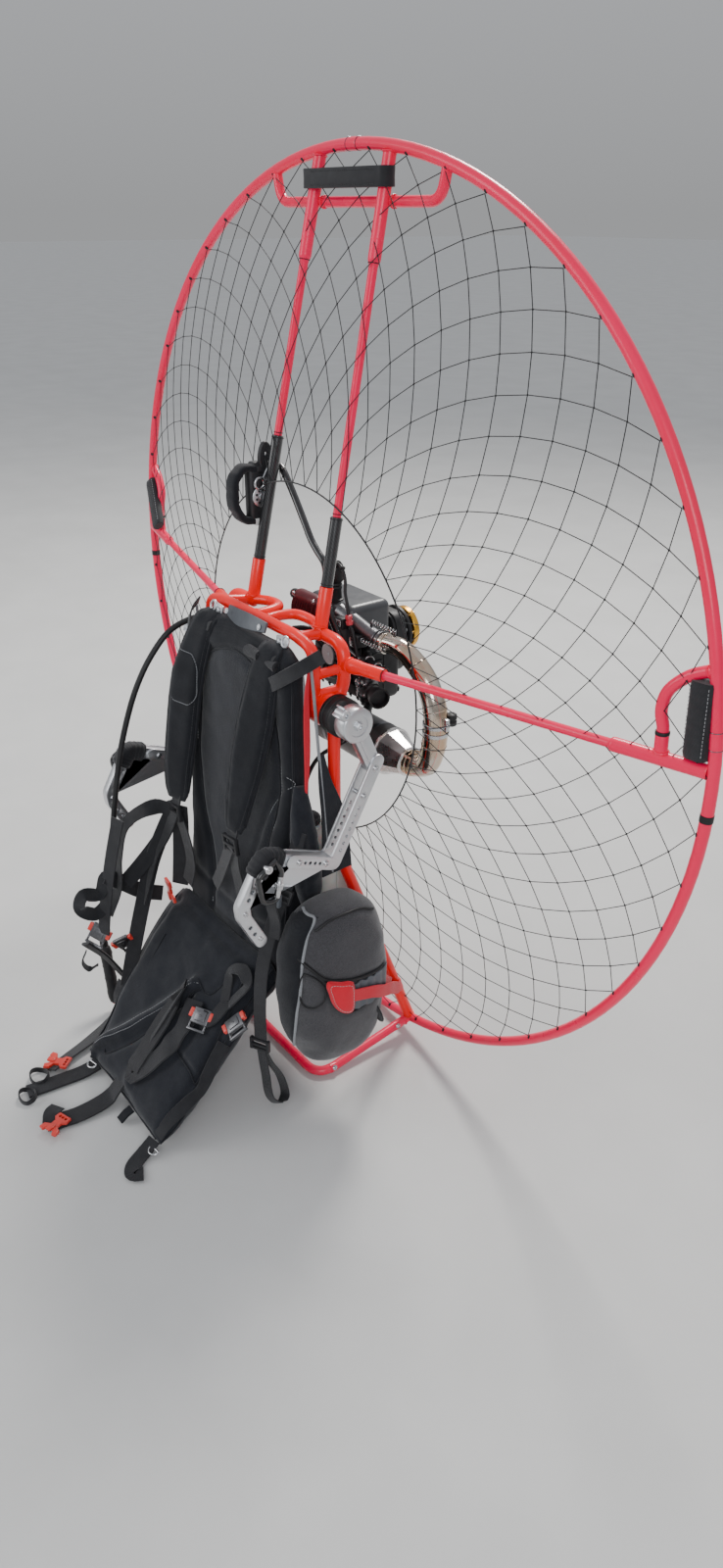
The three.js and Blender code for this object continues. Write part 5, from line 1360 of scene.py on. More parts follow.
cap = Shape()
cap.bar(at(-4, -40, 893), at(-4, -40, 894), [
    (-23, 15), (-18, 15), (-17, 12), (-2, 11), (2, 12.4), (5, 11), (8, 12.6), (11, 11.2), (14, 14),
    (18, 15.6), (30, 16.4), (38, 15.6), (44, 13), (48, 9), (50, 4),
], 24)
lead = course([(-1, -41, 934), (12, -44, 941), (28, -47, 936), (37, -48, 918), (42, -52, 899),
               (55, -57, 882), (62, -60, 868), (66, -60, 850), (74, -60, 838), (83, -62, 820), (91, -63, 800),
               (94, -60, 776), (88, -48, 752), (70, -38, 732), (58, -30, 724)], 70)
cap.tube(lead, 0.0029, 12, 0)
for share, radius in ((0.05, 0.0052), (0.11, 0.0046)):
    p, heading = along(lead, share)
    cap.ring(p, heading, radius, 0.0012, 20, 8, 0)
p, heading = along(lead, 0.43)
cap.bar(p - heading * 0.009, p + heading,
        [(0, 4.4), (1, 6), (6, 6.6), (7, 5), (10, 5), (11, 6.6), (17, 6), (18, 4.4)], 18, 1)
cap.done("spark_cap_and_lead", "frame", [RUBBER, PINK_SEAL], "rubber", ["plug_cap"])

# The wide box over the cylinder
airbox = Shape()
airbox.box((-76, -51, 797.5), (55, 42, 873), 0.014, segments=8)
airbox.box((-77, -52, 801), (56, 43, 804.5), 0.0014, segments=2)
for x in (-48, 28):
    airbox.box((x - 7, 40, 848), (x + 7, 45, 866), 0.0014, 1, segments=2)
    airbox.bolt(at(x, 45, 857), Y, 0.0028, 0.002, 1)
airbox.done("airbox_shell", "frame", [SATIN, DARK_STEEL], "black_plastic", ["airbox"])

starter = Shape()
starter.bar(at(0, -28.3, 775), at(0, -29, 775), [
    (0, 46), (0, 50), (12, 50), (14, 48.6), (16, 48.6), (18, 50), (24, 49.4), (28.5, 46),
    (30.5, 42), (30.8, 20),
], 56)
for a in angles(18):
    d = Vector((cos(a), 0, sin(a)))
    starter.block(at(0, -59.6, 775) + d * 0.031, (0.008, 0.0012, 0.0018), 0.0006, axes=[d, Y, d.cross(Y)])
starter.bar(at(0, -58.6, 775), at(0, -60, 775),
            [(0, 19), (1.4, 19), (1.8, 17.6), (2.6, 17.4), (2.6, 4), (3.4, 3.6)], 40, 1)
for a in angles(3, 0.2):
    starter.bolt(at(44 * cos(a), -56, 775 + 44 * sin(a)), -Y, 0.0034, 0.003, 2)
starter.tube(course([(-44, -46, 792), (-58, -52, 800), (-74, -60, 803), (-92, -74, 800)], 14), 0.005, 14)
starter.done("starter_housing", "frame", [CAST, ALLOY, STEEL], "black_metal", ["starter_cover"])

# Carburettor with its throat, air funnel, linkage and fuel hoses
carb = Shape()
carb.bar(at(98, -44, 706), at(98, -44, 707), [
    (0, 9), (2, 13), (8, 13), (9, 16), (16, 16), (17, 13.5), (40, 13.5), (41, 16.5), (54, 16.5), (55, 14),
    (62, 13), (66, 9), (70, 4),
], 24, 1)
carb.box((84, -60, 726), (112, -30, 756), 0.004, 1, segments=3)
carb.bar(at(88, -40, 744), at(60, -18, 746),
         [(0, 15), (4, 15), (5, 18), (9, 18), (10, 13.5), (22, 13.5), (23, 16), (27, 16), (28, 13), (38, 13)],
         24, 0)
carb.bar(at(108, -46, 741), at(150, -58, 738),
         [(0, 12), (6, 12), (8, 15.5), (14, 15.5), (16, 13), (22, 13), (30, 17), (44, 19),
          (45, 16), (34, 14)], 28, 0)
carb.bar(at(98, -62, 752), at(98, -63, 752), [(-6, 7), (0, 7), (1, 9), (4, 9), (5, 4), (8, 4)], 20, 2)
carb.block(at(98, -66, 744), (0.0022, 0.0016, 0.016), 0.0008, mat=2)
for x, z in ((89, 731), (107, 731), (89, 751), (107, 751)):
    carb.bolt(at(x, -60, z), -Y, 0.0024, 0.002, 2)
hoses = [
    [(78, -30, 792), (92, -40, 790), (112, -46, 787), (134, -48, 785), (152, -46, 783)],
    [(106, -52, 724), (120, -58, 712), (124, -60, 690), (112, -66, 664), (86, -90, 640), (64, -130, 612),
     (60, -158, 560), (60, -160, 496)],
    [(70, -34, 770), (84, -50, 772), (92, -56, 764), (95, -52, 752)],
    [(60, -30, 806), (72, -44, 806), (86, -54, 796), (88, -56, 778), (84, -48, 760)],
]
for path, radius in zip(hoses, (0.0078, 0.0038, 0.0042, 0.0036)):
    carb.tube(course(path, 36), radius, 14, 0)
carb.bar(at(140, -47.5, 784.5), at(152, -46, 783),
         [(0, 9.2), (2, 10.4), (9, 10.4), (10, 8.4), (14, 8.4), (15, 6)], 20, 0)
for c, axis, radius in (((100, -43, 789), (1, -0.3, -0.1), 8.6), ((128, -47, 786), (1, -0.1, -0.1), 8.6),
                        ((92, -44, 745), (-0.75, 0.6, 0), 15.8)):
    carb.ring(at(*c), Vector(axis), radius * MM, 0.0013, 24, 8, 2)
carb.box((62, -58, 808), (84, -34, 832), 0.003, 0, segments=3)
carb.box((66, -62, 812), (78, -56, 828), 0.002, 2, segments=2)
carb.box((34, -70, 838), (56, -53, 858), 0.003, 0, segments=3)
carb.box((37, -72, 843), (53, -68, 855), 0.0014, 2, segments=2)
carb.done("carburettor_and_hoses", "frame", [RUBBER, DARK_STEEL, STEEL], "black_metal", ["carburettor"])

case = Shape()
stadium = [(50 * bent(cos(a), 0.45) * MM, (778 + 58 * bent(sin(a), 0.62)) * MM) for a in angles(60)]
case.plate(stadium, at(0, 52, 0), -X, Z, 0.0005, 0.0310, 0.003)
case.plate([(x * 1.05, 0.778 + (z - 0.778) * 1.05) for x, z in stadium], at(0, 52, 0), -X, Z,
           0.006, 0.009, 0.0008)
for a in angles(10, 0.5):
    x = 44 * bent(cos(a), 0.5)
    z = 778 + 51 * bent(sin(a), 0.65)
    case.bar(at(x, 60, z), at(x, 61, z), [(0, 6), (22, 6), (23.6, 5)], 14)
    case.bolt(at(x, 83.6, z), Y, 0.003, 0.003, 1)
case.done("reduction_housing", "frame", [CAST, STEEL], "black_metal", ["reduction_case"])

hub = Shape()
hub.bar(at(0, 84.4, 789), at(0, 85, 789),
        [(0, 20), (8, 20), (8, 44), (9.4, 46), (14.6, 46), (16, 44.6), (16, 24), (26, 24)], 48, 1)
hub.bar(at(0, 110.4, 789), at(0, 111, 789),
        [(0, 23), (0, 38.6), (1.4, 40), (10.6, 40), (12, 38.6), (12, 20), (9.6, 19), (9.6, 12),
         (19.4, 12), (20, 11)], 48, 0)
for a in angles(6):
    x, z = 32 * cos(a), 789 + 32 * sin(a)
    hub.bar(at(x, 100, z), at(x, 101, z), [(0, 4), (10.8, 4)], 12, 2)
    hub.bolt(at(x, 122.2, z), Y, 0.0042, 0.0042, 2)
    mid = a + pi / 6
    hub.bar(at(35 * cos(mid), 100, 789 + 35 * sin(mid)), at(35 * cos(mid), 101, 789 + 35 * sin(mid)),
            [(0, 3.6), (2.6, 3.6), (3, 3)], 6, 2)
hub.done("propeller_hub_body", "propeller_hub", [GOLD, CAST, STEEL], "gold_alloy", ["prop_hub"])

# Exhaust: header, spring joint, bend, clamps and silencer
PIPE_STEPS = 120
PIPE_SPLIT = 26
PIPE_CLAMP = 83
pipe = Shape()
pipe_through = [(18.3, -46, 858), (44, -42, 850), (98, -25, 824), (156, -14, 820),
                (212, -8, 782), (237, -5, 724), (231, -3, 660), (213, -1, 622),
                (186, 0, 608), (166.3, 0, 606)]
pipe_path = course(pipe_through, PIPE_STEPS)
shares, sizes = (0, 0.3, 0.5, 0.75, 1), (15, 17, 20, 22, 21)
radii = [float(np.interp(i / PIPE_STEPS, shares, sizes)) * MM for i in range(PIPE_STEPS + 1)]
pipe_heads = headings(pipe_path)
pipe.tube(pipe_path[:PIPE_SPLIT + 1], radii[:PIPE_SPLIT + 1], 28, 1)
pipe.tube(pipe_path[PIPE_SPLIT:], radii[PIPE_SPLIT:], 32, 0)
for i in (24, 27, 30):
    pipe.ring(pipe_path[i], pipe_heads[i], radii[i] + 0.0008, 0.0018, 32, 10, 1 if i < 30 else 0)
for i in (52, 74, 92, 106):
    pipe.ring(pipe_path[i], pipe_heads[i], radii[i] - 0.0002, 0.0011, 32, 8, 0)


def spring(shape, start, end, radius, turns, wire, mat):
    """A coil of wire between two points."""
    heading = (end - start).normalized()
    a = heading.orthogonal().normalized()
    b = heading.cross(a)
    path = [start.lerp(end, k / (turns * 12)) + (a * cos(k * pi / 6) + b * sin(k * pi / 6)) * radius
            for k in range(turns * 12 + 1)]
    shape.tube(path, wire, 6, mat)


heading = pipe_heads[PIPE_SPLIT + 1]
a = heading.orthogonal().normalized()
for angle in (0.6, 2.5, 4.6):
    side = (a * cos(angle) + heading.cross(a) * sin(angle)) * (radii[PIPE_SPLIT + 1] + 0.007)
    spring(pipe, pipe_path[20] + side, pipe_path[34] + side, 0.0032, 9, 0.0008, 2)
    up = side.normalized()
    for i in (20, 34):
        pipe.block(pipe_path[i] + side * 0.86, (0.0022, 0.0022, 0.0045), 0.0008,
                   [heading, heading.cross(up), up], 1)
clamp, heading = pipe_path[PIPE_CLAMP], pipe_heads[PIPE_CLAMP]
for shift in (-0.008, 0.008):
    rows = [(0, 22.6), (0.6, 23.4), (6.4, 23.4), (7, 22.6)]
    pipe.bar(clamp + heading * (shift - 0.0035), clamp + heading, rows, 40, 2)
pipe.block(at(262, -4, 716), (0.006, 0.004, 0.011), 0.001, mat=2)
pipe.bolt(at(268, -4, 716), X, 0.003, 0.003, 2)
pipe.bar(at(252, 18, 728), at(252, 18, 700),
         [(0, 6), (2, 9), (9, 9.6), (10, 8), (13, 8), (14, 9.6), (21, 9), (23, 6)], 24, 3)
pipe.block(at(250, 8, 716), (0.002, 0.014, 0.005), 0.0008, mat=2)
pipe.bar(at(186, 0, 608), at(160, 0, 606),
         [(0, 22.4), (8, 22.4), (9, 24.4), (15, 24.4), (16, 22.4), (22, 22.4)], 36, 0)
pipe.done("exhaust_bend", "frame", [PIPE, DARK_STEEL, STEEL, RUBBER], "polished_pipe", ["exhaust_pipe"])

can = Shape()
can.bar(at(-72, 0, 606), at(0, 0, 606), [
    (4, 12), (4, 40), (0, 42), (0, 44), (2, 45), (5, 45), (6, 44), (150, 44), (152, 44.8),
    (158, 44.8), (160, 44), (174, 44), (175, 45.2), (183, 45.2),
], 56, 0)
can.bar(at(-68, 12, 622), at(-78, 12, 622), [(0, 11), (12, 11), (12, 9), (2, 8.6)], 24, 0)
for x in (-40, 80):
    can.bar(at(x - 5, 0, 606), at(x, 0, 606), [(0, 44.2), (0.6, 45), (9.4, 45), (10, 44.2)], 56, 1)
    can.block(at(x, -40, 628), (0.005, 0.010, 0.004), 0.001, mat=1)
can.done("silencer_can", "frame", [CERAMIC, DARK_STEEL], "black_metal", ["silencer"])
cone = Shape()
cone.bar(at(111, 0, 606), at(112, 0, 606),
         [(0, 44.4), (2, 44.4), (3, 43), (54, 26), (56, 26), (57, 24.5)], 12, 0)
cone.bar(at(110.6, 0, 606), at(112, 0, 606), [(0, 45.6), (3.4, 45.6), (4, 44)], 56, 0)
cone.bar(at(162, 0, 606), at(163, 0, 606), [(0, 26.6), (1, 27.8), (4, 27.8), (5, 26)], 36, 0)
cone.done("silencer_cone", "frame", CHROME, "polished_pipe", angle=15)

# Fuel tank, blow moulded, with its cap
tank = Shape()
rings = []
TANK_ROWS = [(190, 0.86, 0.62), (193, 0.93, 0.76), (200, 0.975, 0.90), (214, 1, 1), (268, 1, 1),
             (276, 0.986, 0.93), (284, 1, 1), (336, 1, 1), (344, 0.986, 0.93), (352, 1, 1), (404, 1, 1),
             (412, 0.986, 0.93), (420, 1, 1), (462, 1, 1), (476, 0.975, 0.90),
             (484, 0.93, 0.76), (488, 0.86, 0.62)]
for z, wide, deep in TANK_ROWS:
    ring = []
    for a in angles(72):
        c, s = cos(a), sin(a)
        ring.append(at(159.5 * wide * bent(c, 0.30), -160 + 45.5 * deep * bent(s, 0.42), z))
    rings.append(ring)
tank.sections(rings)
for sign in (1, -1):
    tank.box((sign * 159.8 - 1, -161.2, 212), (sign * 159.8 + 1, -158.8, 466), 0.0008, segments=2)
tank.bar(at(70, -160, 486), at(70, -160, 487), [(0, 24), (3, 24), (4, 20), (6, 20)], 36, 0)
tank.bar(at(70, -160, 491), at(70, -160, 492),
         [(0, 22), (1, 23), (13, 23), (15, 21), (16, 12), (17, 11)], 24, 1)
for a in angles(24):
    d = Vector((cos(a), sin(a), 0))
    tank.block(at(70, -160, 498) + d * 0.0228, (0.0012, 0.0014, 0.0055), 0.0005,
               axes=[d, d.cross(Z), Z], mat=1)
tank.bar(at(-40, -160, 486), at(-40, -160, 487), [(0, 11), (3, 11), (4, 7), (10, 7), (11, 4), (16, 4)], 20, 1)
tank.done("tank_body", "frame", [TANK, PLASTIC], "tank_plastic", ["fuel_tank"], angle=50)

# Harness: helpers for padded forms and for what is sewn or buckled to them
PAD_BACK = -213.2
PAD_ROWS = [(872, 128, 14), (850, 168, 17), (838, 176, 20), (650, 182, 24), (450, 182, 34), (260, 182, 46),
            (224, 172, 42), (214, 160, 34)]


def oval(centre, x_axis, y_axis, half_x, half_y, power_x=0.5, power_y=0.5, count=56):
    """A rounded-off rectangle of points round a centre, in millimetres along two directions."""
    out = []
    for a in angles(count):
        c, s = cos(a), sin(a)
        out.append(centre + x_axis * (half_x * MM * bent(c, power_x))
                   + y_axis * (half_y * MM * bent(s, power_y)))
    return out


def row_at(rows, key):
    """A row of values read off between the rows by their first value."""
    table = sorted(rows)
    keys = [r[0] for r in table]
    return [float(np.interp(key, keys, [r[k] for r in table])) for k in range(1, len(rows[0]))]


def frame_of(down, look):
    """Across, along and outward directions for a piece that hangs along down and faces look."""
    down = Vector(down).normalized()
    across = down.cross(Vector(look)).normalized()
    return across, down, across.cross(down)


def ladder(shape, centre, down, look, wide=34, tall=26, mat=0):
    """A ladder-lock buckle: two rails and three bars."""
    axes = frame_of(down, look)
    across, down, out = axes
    for side in (-1, 1):
        shape.block(centre + across * side * wide * 0.0005,
                    (0.0028, tall * 0.0005, 0.0042), 0.0016, axes, mat)
    for step, rise in ((-1, 0.0), (0, 0.0022), (1, 0.0)):
        where = centre + down * step * (tall / 2 - 3) * MM + out * rise
        shape.block(where, (wide * 0.0005, 0.0026, 0.0030), 0.0014, axes, mat)


def quick_lock(shape, centre, down, look, metal=0, red=1):
    """A metal leg buckle: a plate with two red levers and a bar for its webbing."""
    axes = frame_of(down, look)
    across, down, out = axes
    shape.block(centre, (0.0175, 0.0150, 0.0036), 0.0022, axes, metal, 3)
    shape.block(centre + out * 0.0040, (0.0105, 0.0095, 0.0016), 0.0012, axes, metal)
    for side in (-1, 1):
        shape.block(centre + across * side * 0.0200 - down * 0.003, (0.0042, 0.0085, 0.0042),
                    0.0018, axes, red, 3)
        shape.block(centre + across * side * 0.0155 + down * 0.019,
                    (0.0020, 0.0075, 0.0022), 0.0010, axes, metal)
    shape.block(centre + down * 0.026, (0.0185, 0.0024, 0.0030), 0.0014, axes, metal)
    shape.bolt(centre + out * 0.0050, out, 0.0026, 0.0016, metal)


def t_hook(shape, centre, down, look, mat=0):
    """A flat red hook with two horns and a slot for its webbing."""
    across, down, out = frame_of(down, look)
    outline = [(-14, -24), (14, -24), (15, -12), (8, -6), (8, 4), (19, 9), (21, 20),
               (12, 22), (8, 14), (-8, 14), (-12, 22), (-21, 20), (-19, 9), (-8, 4), (-8, -6), (-15, -12)]
    bend = [(a * MM, b * MM) for a, b in outline]
    shape.plate(bend, centre, across, down, -0.0032, 0.0032, 0.0012,
                [(x, -0.0175, 0.0028) for x in (-0.007, 0.0, 0.007)], mat)
    shape.block(centre + down * 0.012 + out * 0.004, (0.0055, 0.0080, 0.0022), 0.0014,
                (across, down, out), mat)


def d_ring(shape, centre, down, look, half, mat=0):
    """A ring of wire with one straight side."""
    across, down, _ = frame_of(down, look)
    arc = [(cos(radians(a)), sin(radians(a))) for a in range(0, 181, 20)]
    loop = [centre + across * half * a + down * half * 0.9 * b for a, b in arc]
    loop += [centre + across * half * s - down * 0.002 for s in (-0.98, -0.5, 0, 0.5, 0.98)]
    shape.tube(loop, 0.0019, 10, mat, closed=True)


def before_pad(rows, count):
    """A path in front of the back pad, from points given as x and z."""
    return smooth([at(x, -300, z) for x, z in rows], count)


# Back pad: side bolsters, a spacer mesh middle with an arched top, and a pocket low on the left
pad_form = Shape()
rings = []
for z in np.linspace(870, 217, 46):
    half_x, deep = row_at(PAD_ROWS, z)
    rings.append(oval(at(0, -212 - deep, z), X, Y, half_x - 4, deep - 3.5, 0.26, 0.5, 64))
pad_form.sections(rings)
pad = Stuffed(pad_form, 0.006, 4.0, 0.006, 6)
pad.keep(1, high=(PAD_BACK + HOOP_PLANE) * MM)
MESH_EDGE = [(58, 300), (70, 402), (117, 501), (134, 613), (124, 727), (100, 786), (50, 815), (0, 824)]
mesh_rim = [(-x, z) for x, z in MESH_EDGE] + [(x, z) for x, z in MESH_EDGE[-2::-1]]
pad_arch = before_pad(mesh_rim, 150)
for sign in (1, -1):
    bolster = before_pad([(sign * 152, 800), (sign * 158, 613), (sign * 146, 480), (sign * 112, 380)], 40)
    pad.press(pad.laid(bolster, Y)[0], -0.0055, 0.017)
pad.press(pad.laid(pad_arch, Y)[0], 0.0075, 0.009)
POCKET = [(178, 652), (131, 611), (96, 530), (75, 470), (60, 432)]
pocket_path = before_pad(POCKET, 60)
pocket_bulge = before_pad([(150, 520), (118, 440), (104, 380)], 20)
pad.press(pad.laid(pocket_bulge, Y)[0], -0.009, 0.034)
pad.press(pad.laid(pocket_path, Y)[0], 0.0050, 0.007)
side_seams = []
for sign in (1, -1):
    front_edge = []
    back_edge = []
    for z in np.linspace(846, 232, 60):
        half_x, deep = row_at(PAD_ROWS, z)
        front_edge.append(at(sign * half_x * 0.93, -212 - deep * 1.75, z))
        back_edge.append(at(sign * (half_x - 1), -219, z))
    side_seams.append((front_edge, back_edge))
    pad.press(settled([pad.tree().find_nearest(p)[0] for p in front_edge]), 0.0030, 0.006)
for z, drop, depth in ((334, 16, 0.0050), (262, 10, 0.0060), (838, -8, 0.0030)):
    crease = before_pad([(-150, z + drop), (0, z), (150, z + drop)], 40)
    pad.press(pad.laid(crease, Y)[0], depth, 0.009)
pad.rumple(0.0022, 0.11, 3.1)
pad.keep(1, high=(PAD_BACK + HOOP_PLANE) * MM)
back = pad.done("back_pad_cushion", "frame", [FABRIC, MESH], "fabric", ["back_pad"], 0.7)

# The middle of the pad is mesh, inside its arched seam
arch_z = [z for x, z in MESH_EDGE]
arch_x = [x for x, z in MESH_EDGE]
for face in back.data.polygons:
    c = face.center
    inside = abs(c.x * 1000) < np.interp(c.z * 1000, arch_z, arch_x)
    if inside and face.normal.y < -0.3 and 300 < c.z * 1000 < 824:
        face.material_index = 1

trim = Shape()
for low, high in ((0, 62), (88, 150)):
    spots, looks = pad.laid(pad_arch[low:high + 1], Y, 0.0008)
    outward = [look.cross((b - a).normalized()) for look, a, b in zip(looks, spots, spots[1:] + spots[-1:])]
    stitches(trim, [p + n * 0.006 for p, n in zip(spots[:-1], outward)], looks[:-1], 1)
spots, looks = pad.laid(pocket_path, Y, 0.0010)
stitches(trim, [p + Vector((0.005, 0, -0.003)) for p in spots], looks, 1)
spots, looks = pad.laid(pad_arch, Y, 0.0004)
trim.tube(spots, 0.0022, 8, 2)
for front_edge, back_edge in side_seams:
    for edge, mat, radius in ((back_edge, 0, 0.0026), (front_edge, 2, 0.0020)):
        found = [pad.tree().find_nearest(p) for p in edge]
        trim.tube(smooth(settled([p + n * 0.0008 for p, n, _, _ in found], 8)[::4], 90), radius, 10, mat)
trim.done("back_pad_trim", "frame", [PIPING, THREAD, FABRIC], "fabric")

# Red lining on the pad's left side, the black bands and piping at both sides, and the side pocket
SIDE_RED = [(181, -226, 842), (184, -233, 800), (185.5, -235, 740), (186.0, -236, 690), (185.5, -240, 620)]
SIDE_RED_LOW = [(185.5, -244, 612), (186.5, -240, 570), (187, -236, 530)]
SIDE_PIPING = [(181, -222, 850), (185, -219, 790), (186.5, -214, 705), (187.5, -206, 600),
               (188, -199, 505), (188, -190, 456)]
SIDE_BAND = [(187, -209, 690, 12), (188, -203, 640, 26), (188.5, -187, 567, 50), (188.5, -182, 500, 60),
             (188.5, -180, 454, 64)]
lining = Shape()
for rows, wide in ((SIDE_RED, 0.013), (SIDE_RED_LOW, 0.010)):
    lining.ribbon(course(rows, 40), [wide * (0.35 + 0.65 * sin(pi * i / 40)) for i in range(41)],
                  0.0030, X, 0)
lining.done("pad_side_lining", "frame", RED_STRAP, "red_webbing")
bands = Shape()
band_widths = [float(np.interp(-p.z, [-r[2] * MM for r in SIDE_BAND], [r[3] * MM for r in SIDE_BAND]))
               for p in smooth([at(*r[:3]) for r in SIDE_BAND], 50)]
for sign in (1, -1):
    bands.ribbon(smooth([at(sign * r[0], r[1], r[2]) for r in SIDE_BAND], 50), band_widths, 0.0030, X, 0)
    bands.tube(course([(sign * r[0], *r[1:]) for r in SIDE_PIPING], 60), 0.0027, 10, 1)
bands.done("pad_side_bands", "frame", [LINING, PIPING], "fabric")

wing_form, rings = Shape(), []
WING_ROWS = [(640, 176, -246, 9, 12), (600, 186, -250, 15, 21), (540, 190, -250, 19, 27),
             (480, 191, -246, 20, 27), (430, 190, -242, 17, 22), (398, 188, -238, 12, 13)]
for z in np.linspace(640, 398, 22):
    x, y, half_x, half_y = row_at(WING_ROWS, z)
    rings.append(oval(at(x, y, z), X, Y, half_x, half_y, 0.7, 0.7, 36))
wing_form.sections(rings)
wing = Stuffed(wing_form, 0.005, 3.0, 0.005)
fold = wing.laid(course([(260, -262, 620), (260, -246, 540), (260, -256, 470), (260, -244, 410)], 40), -X)[0]
wing.press(fold, 0.0035, 0.007)
wing.rumple(0.0035, 0.06, 6.4)
wing.done("side_pocket", "frame", LINING, "fabric", (), 0.5)

# Top of the pad: slate plate, silver clips and the rolled webbing below them
top_set = Shape()
plate_path = course([(-66, -222, 874), (-20, -232, 876), (24, -236, 880), (66, -230, 880)], 24)
top_set.ribbon(plate_path, swelling(0.018, 0.010, 24), 0.0040, (0, -0.92, 0.4), 0)
for x in (-50, 52):
    top_set.bolt(at(x, -236, 879), (0, -0.9, 0.4), 0.0034, 0.002, 1)
for sign, x, z in ((-1, -94, 868), (1, 108, 868)):
    axes = frame_of((0.12 * sign, -0.15, -1), (0, -1, 0.2))
    top_set.block(at(x, -226, z), (0.0150, 0.0095, 0.0030), 0.0022, axes, 1, 3)
    top_set.ring(at(x + sign * 12, -229, z + 4), (0, -1, 0.3), 0.0085, 0.0023, 28, 10, 1)
    top_set.bolt(at(x - sign * 5, -230, z), (0, -1, 0.2), 0.0036, 0.0024, 1)
top_set.done("pad_top_plate", "frame", [SLATE, ALLOY], "alloy")

rolls = Shape()
for x0, x1, z, y in ((44, 84, 842, -254), (92, 128, 836, -250)):
    rolls.bar(at(x0, y, z), at(x1, y, z), [(0, 6), (1, 9.5), ((x1 - x0) - 1, 9.5), (x1 - x0, 6)], 24, 0)
    for x, out in ((x0, -1), (x1, 1)):
        for r in (2.6, 5.0, 7.4):
            rolls.ring(at(x + out * 0.2, y, z), X, r * MM, 0.0009, 24, 6, 0)
for start, end in (((-96, -232, 858), (-100, -254, 838)), ((108, -232, 858), (104, -256, 836))):
    rolls.ribbon(course([start, ((start[0] + end[0]) / 2, -248, 852), end], 16), 0.034,
                 0.0030, (0, -1, 0.5), 0)
LIFTERS = [(1, [(112, -262, 800), (140, -259, 818), (172, -244, 842), (186, -226, 856), (190, -206, 864)]),
           (-1, [(-134, -262, 798), (-156, -254, 822), (-176, -236, 846), (-186, -214, 858)])]
for sign, rows in LIFTERS:
    rolls.ribbon(course(rows, 24), 0.024, 0.0026, (sign * 0.5, -1, 0.3), 0)
rolls.done("pad_top_webbing", "frame", STRAP, "fabric")


# Shoulder straps: thick padded straps that hang in front of the pad
LEFT_STRAP = [(97, -222, 862, 24, 7), (98, -240, 858, 30, 8), (97, -256, 818, 37, 10),
              (96, -276, 742, 40, 11), (92, -296, 660, 37, 11), (86, -308, 600, 31, 11),
              (80, -316, 552, 25, 10), (77, -319, 530, 19, 7)]
RIGHT_STRAP = [(-97, -222, 862, 24, 7), (-99, -240, 858, 30, 8), (-116, -254, 820, 37, 10),
               (-127, -281, 738, 40, 11), (-129, -301, 635, 38, 11), (-128, -314, 560, 34, 11),
               (-127, -319, 522, 30, 10), (-127, -321, 504, 22, 7)]
# The straps' faces turn towards the pilot's left
STRAP_TURN = radians(-20)
STRAP_STEPS = 60


def strap_frame(rows, share):
    """Where the strap is at a share of its length, its width's direction and its face's."""
    through = smooth([at(*r[:3]) for r in rows], STRAP_STEPS)
    heading = headings(through)
    i = min(int(round(share * STRAP_STEPS)), STRAP_STEPS)
    across = squared(X, heading[i])
    across = Quaternion(heading[i], STRAP_TURN * sin(pi * min(1.0, 1.4 * share + 0.02) / 2)) @ across
    return through[i], across, heading[i].cross(across).normalized()


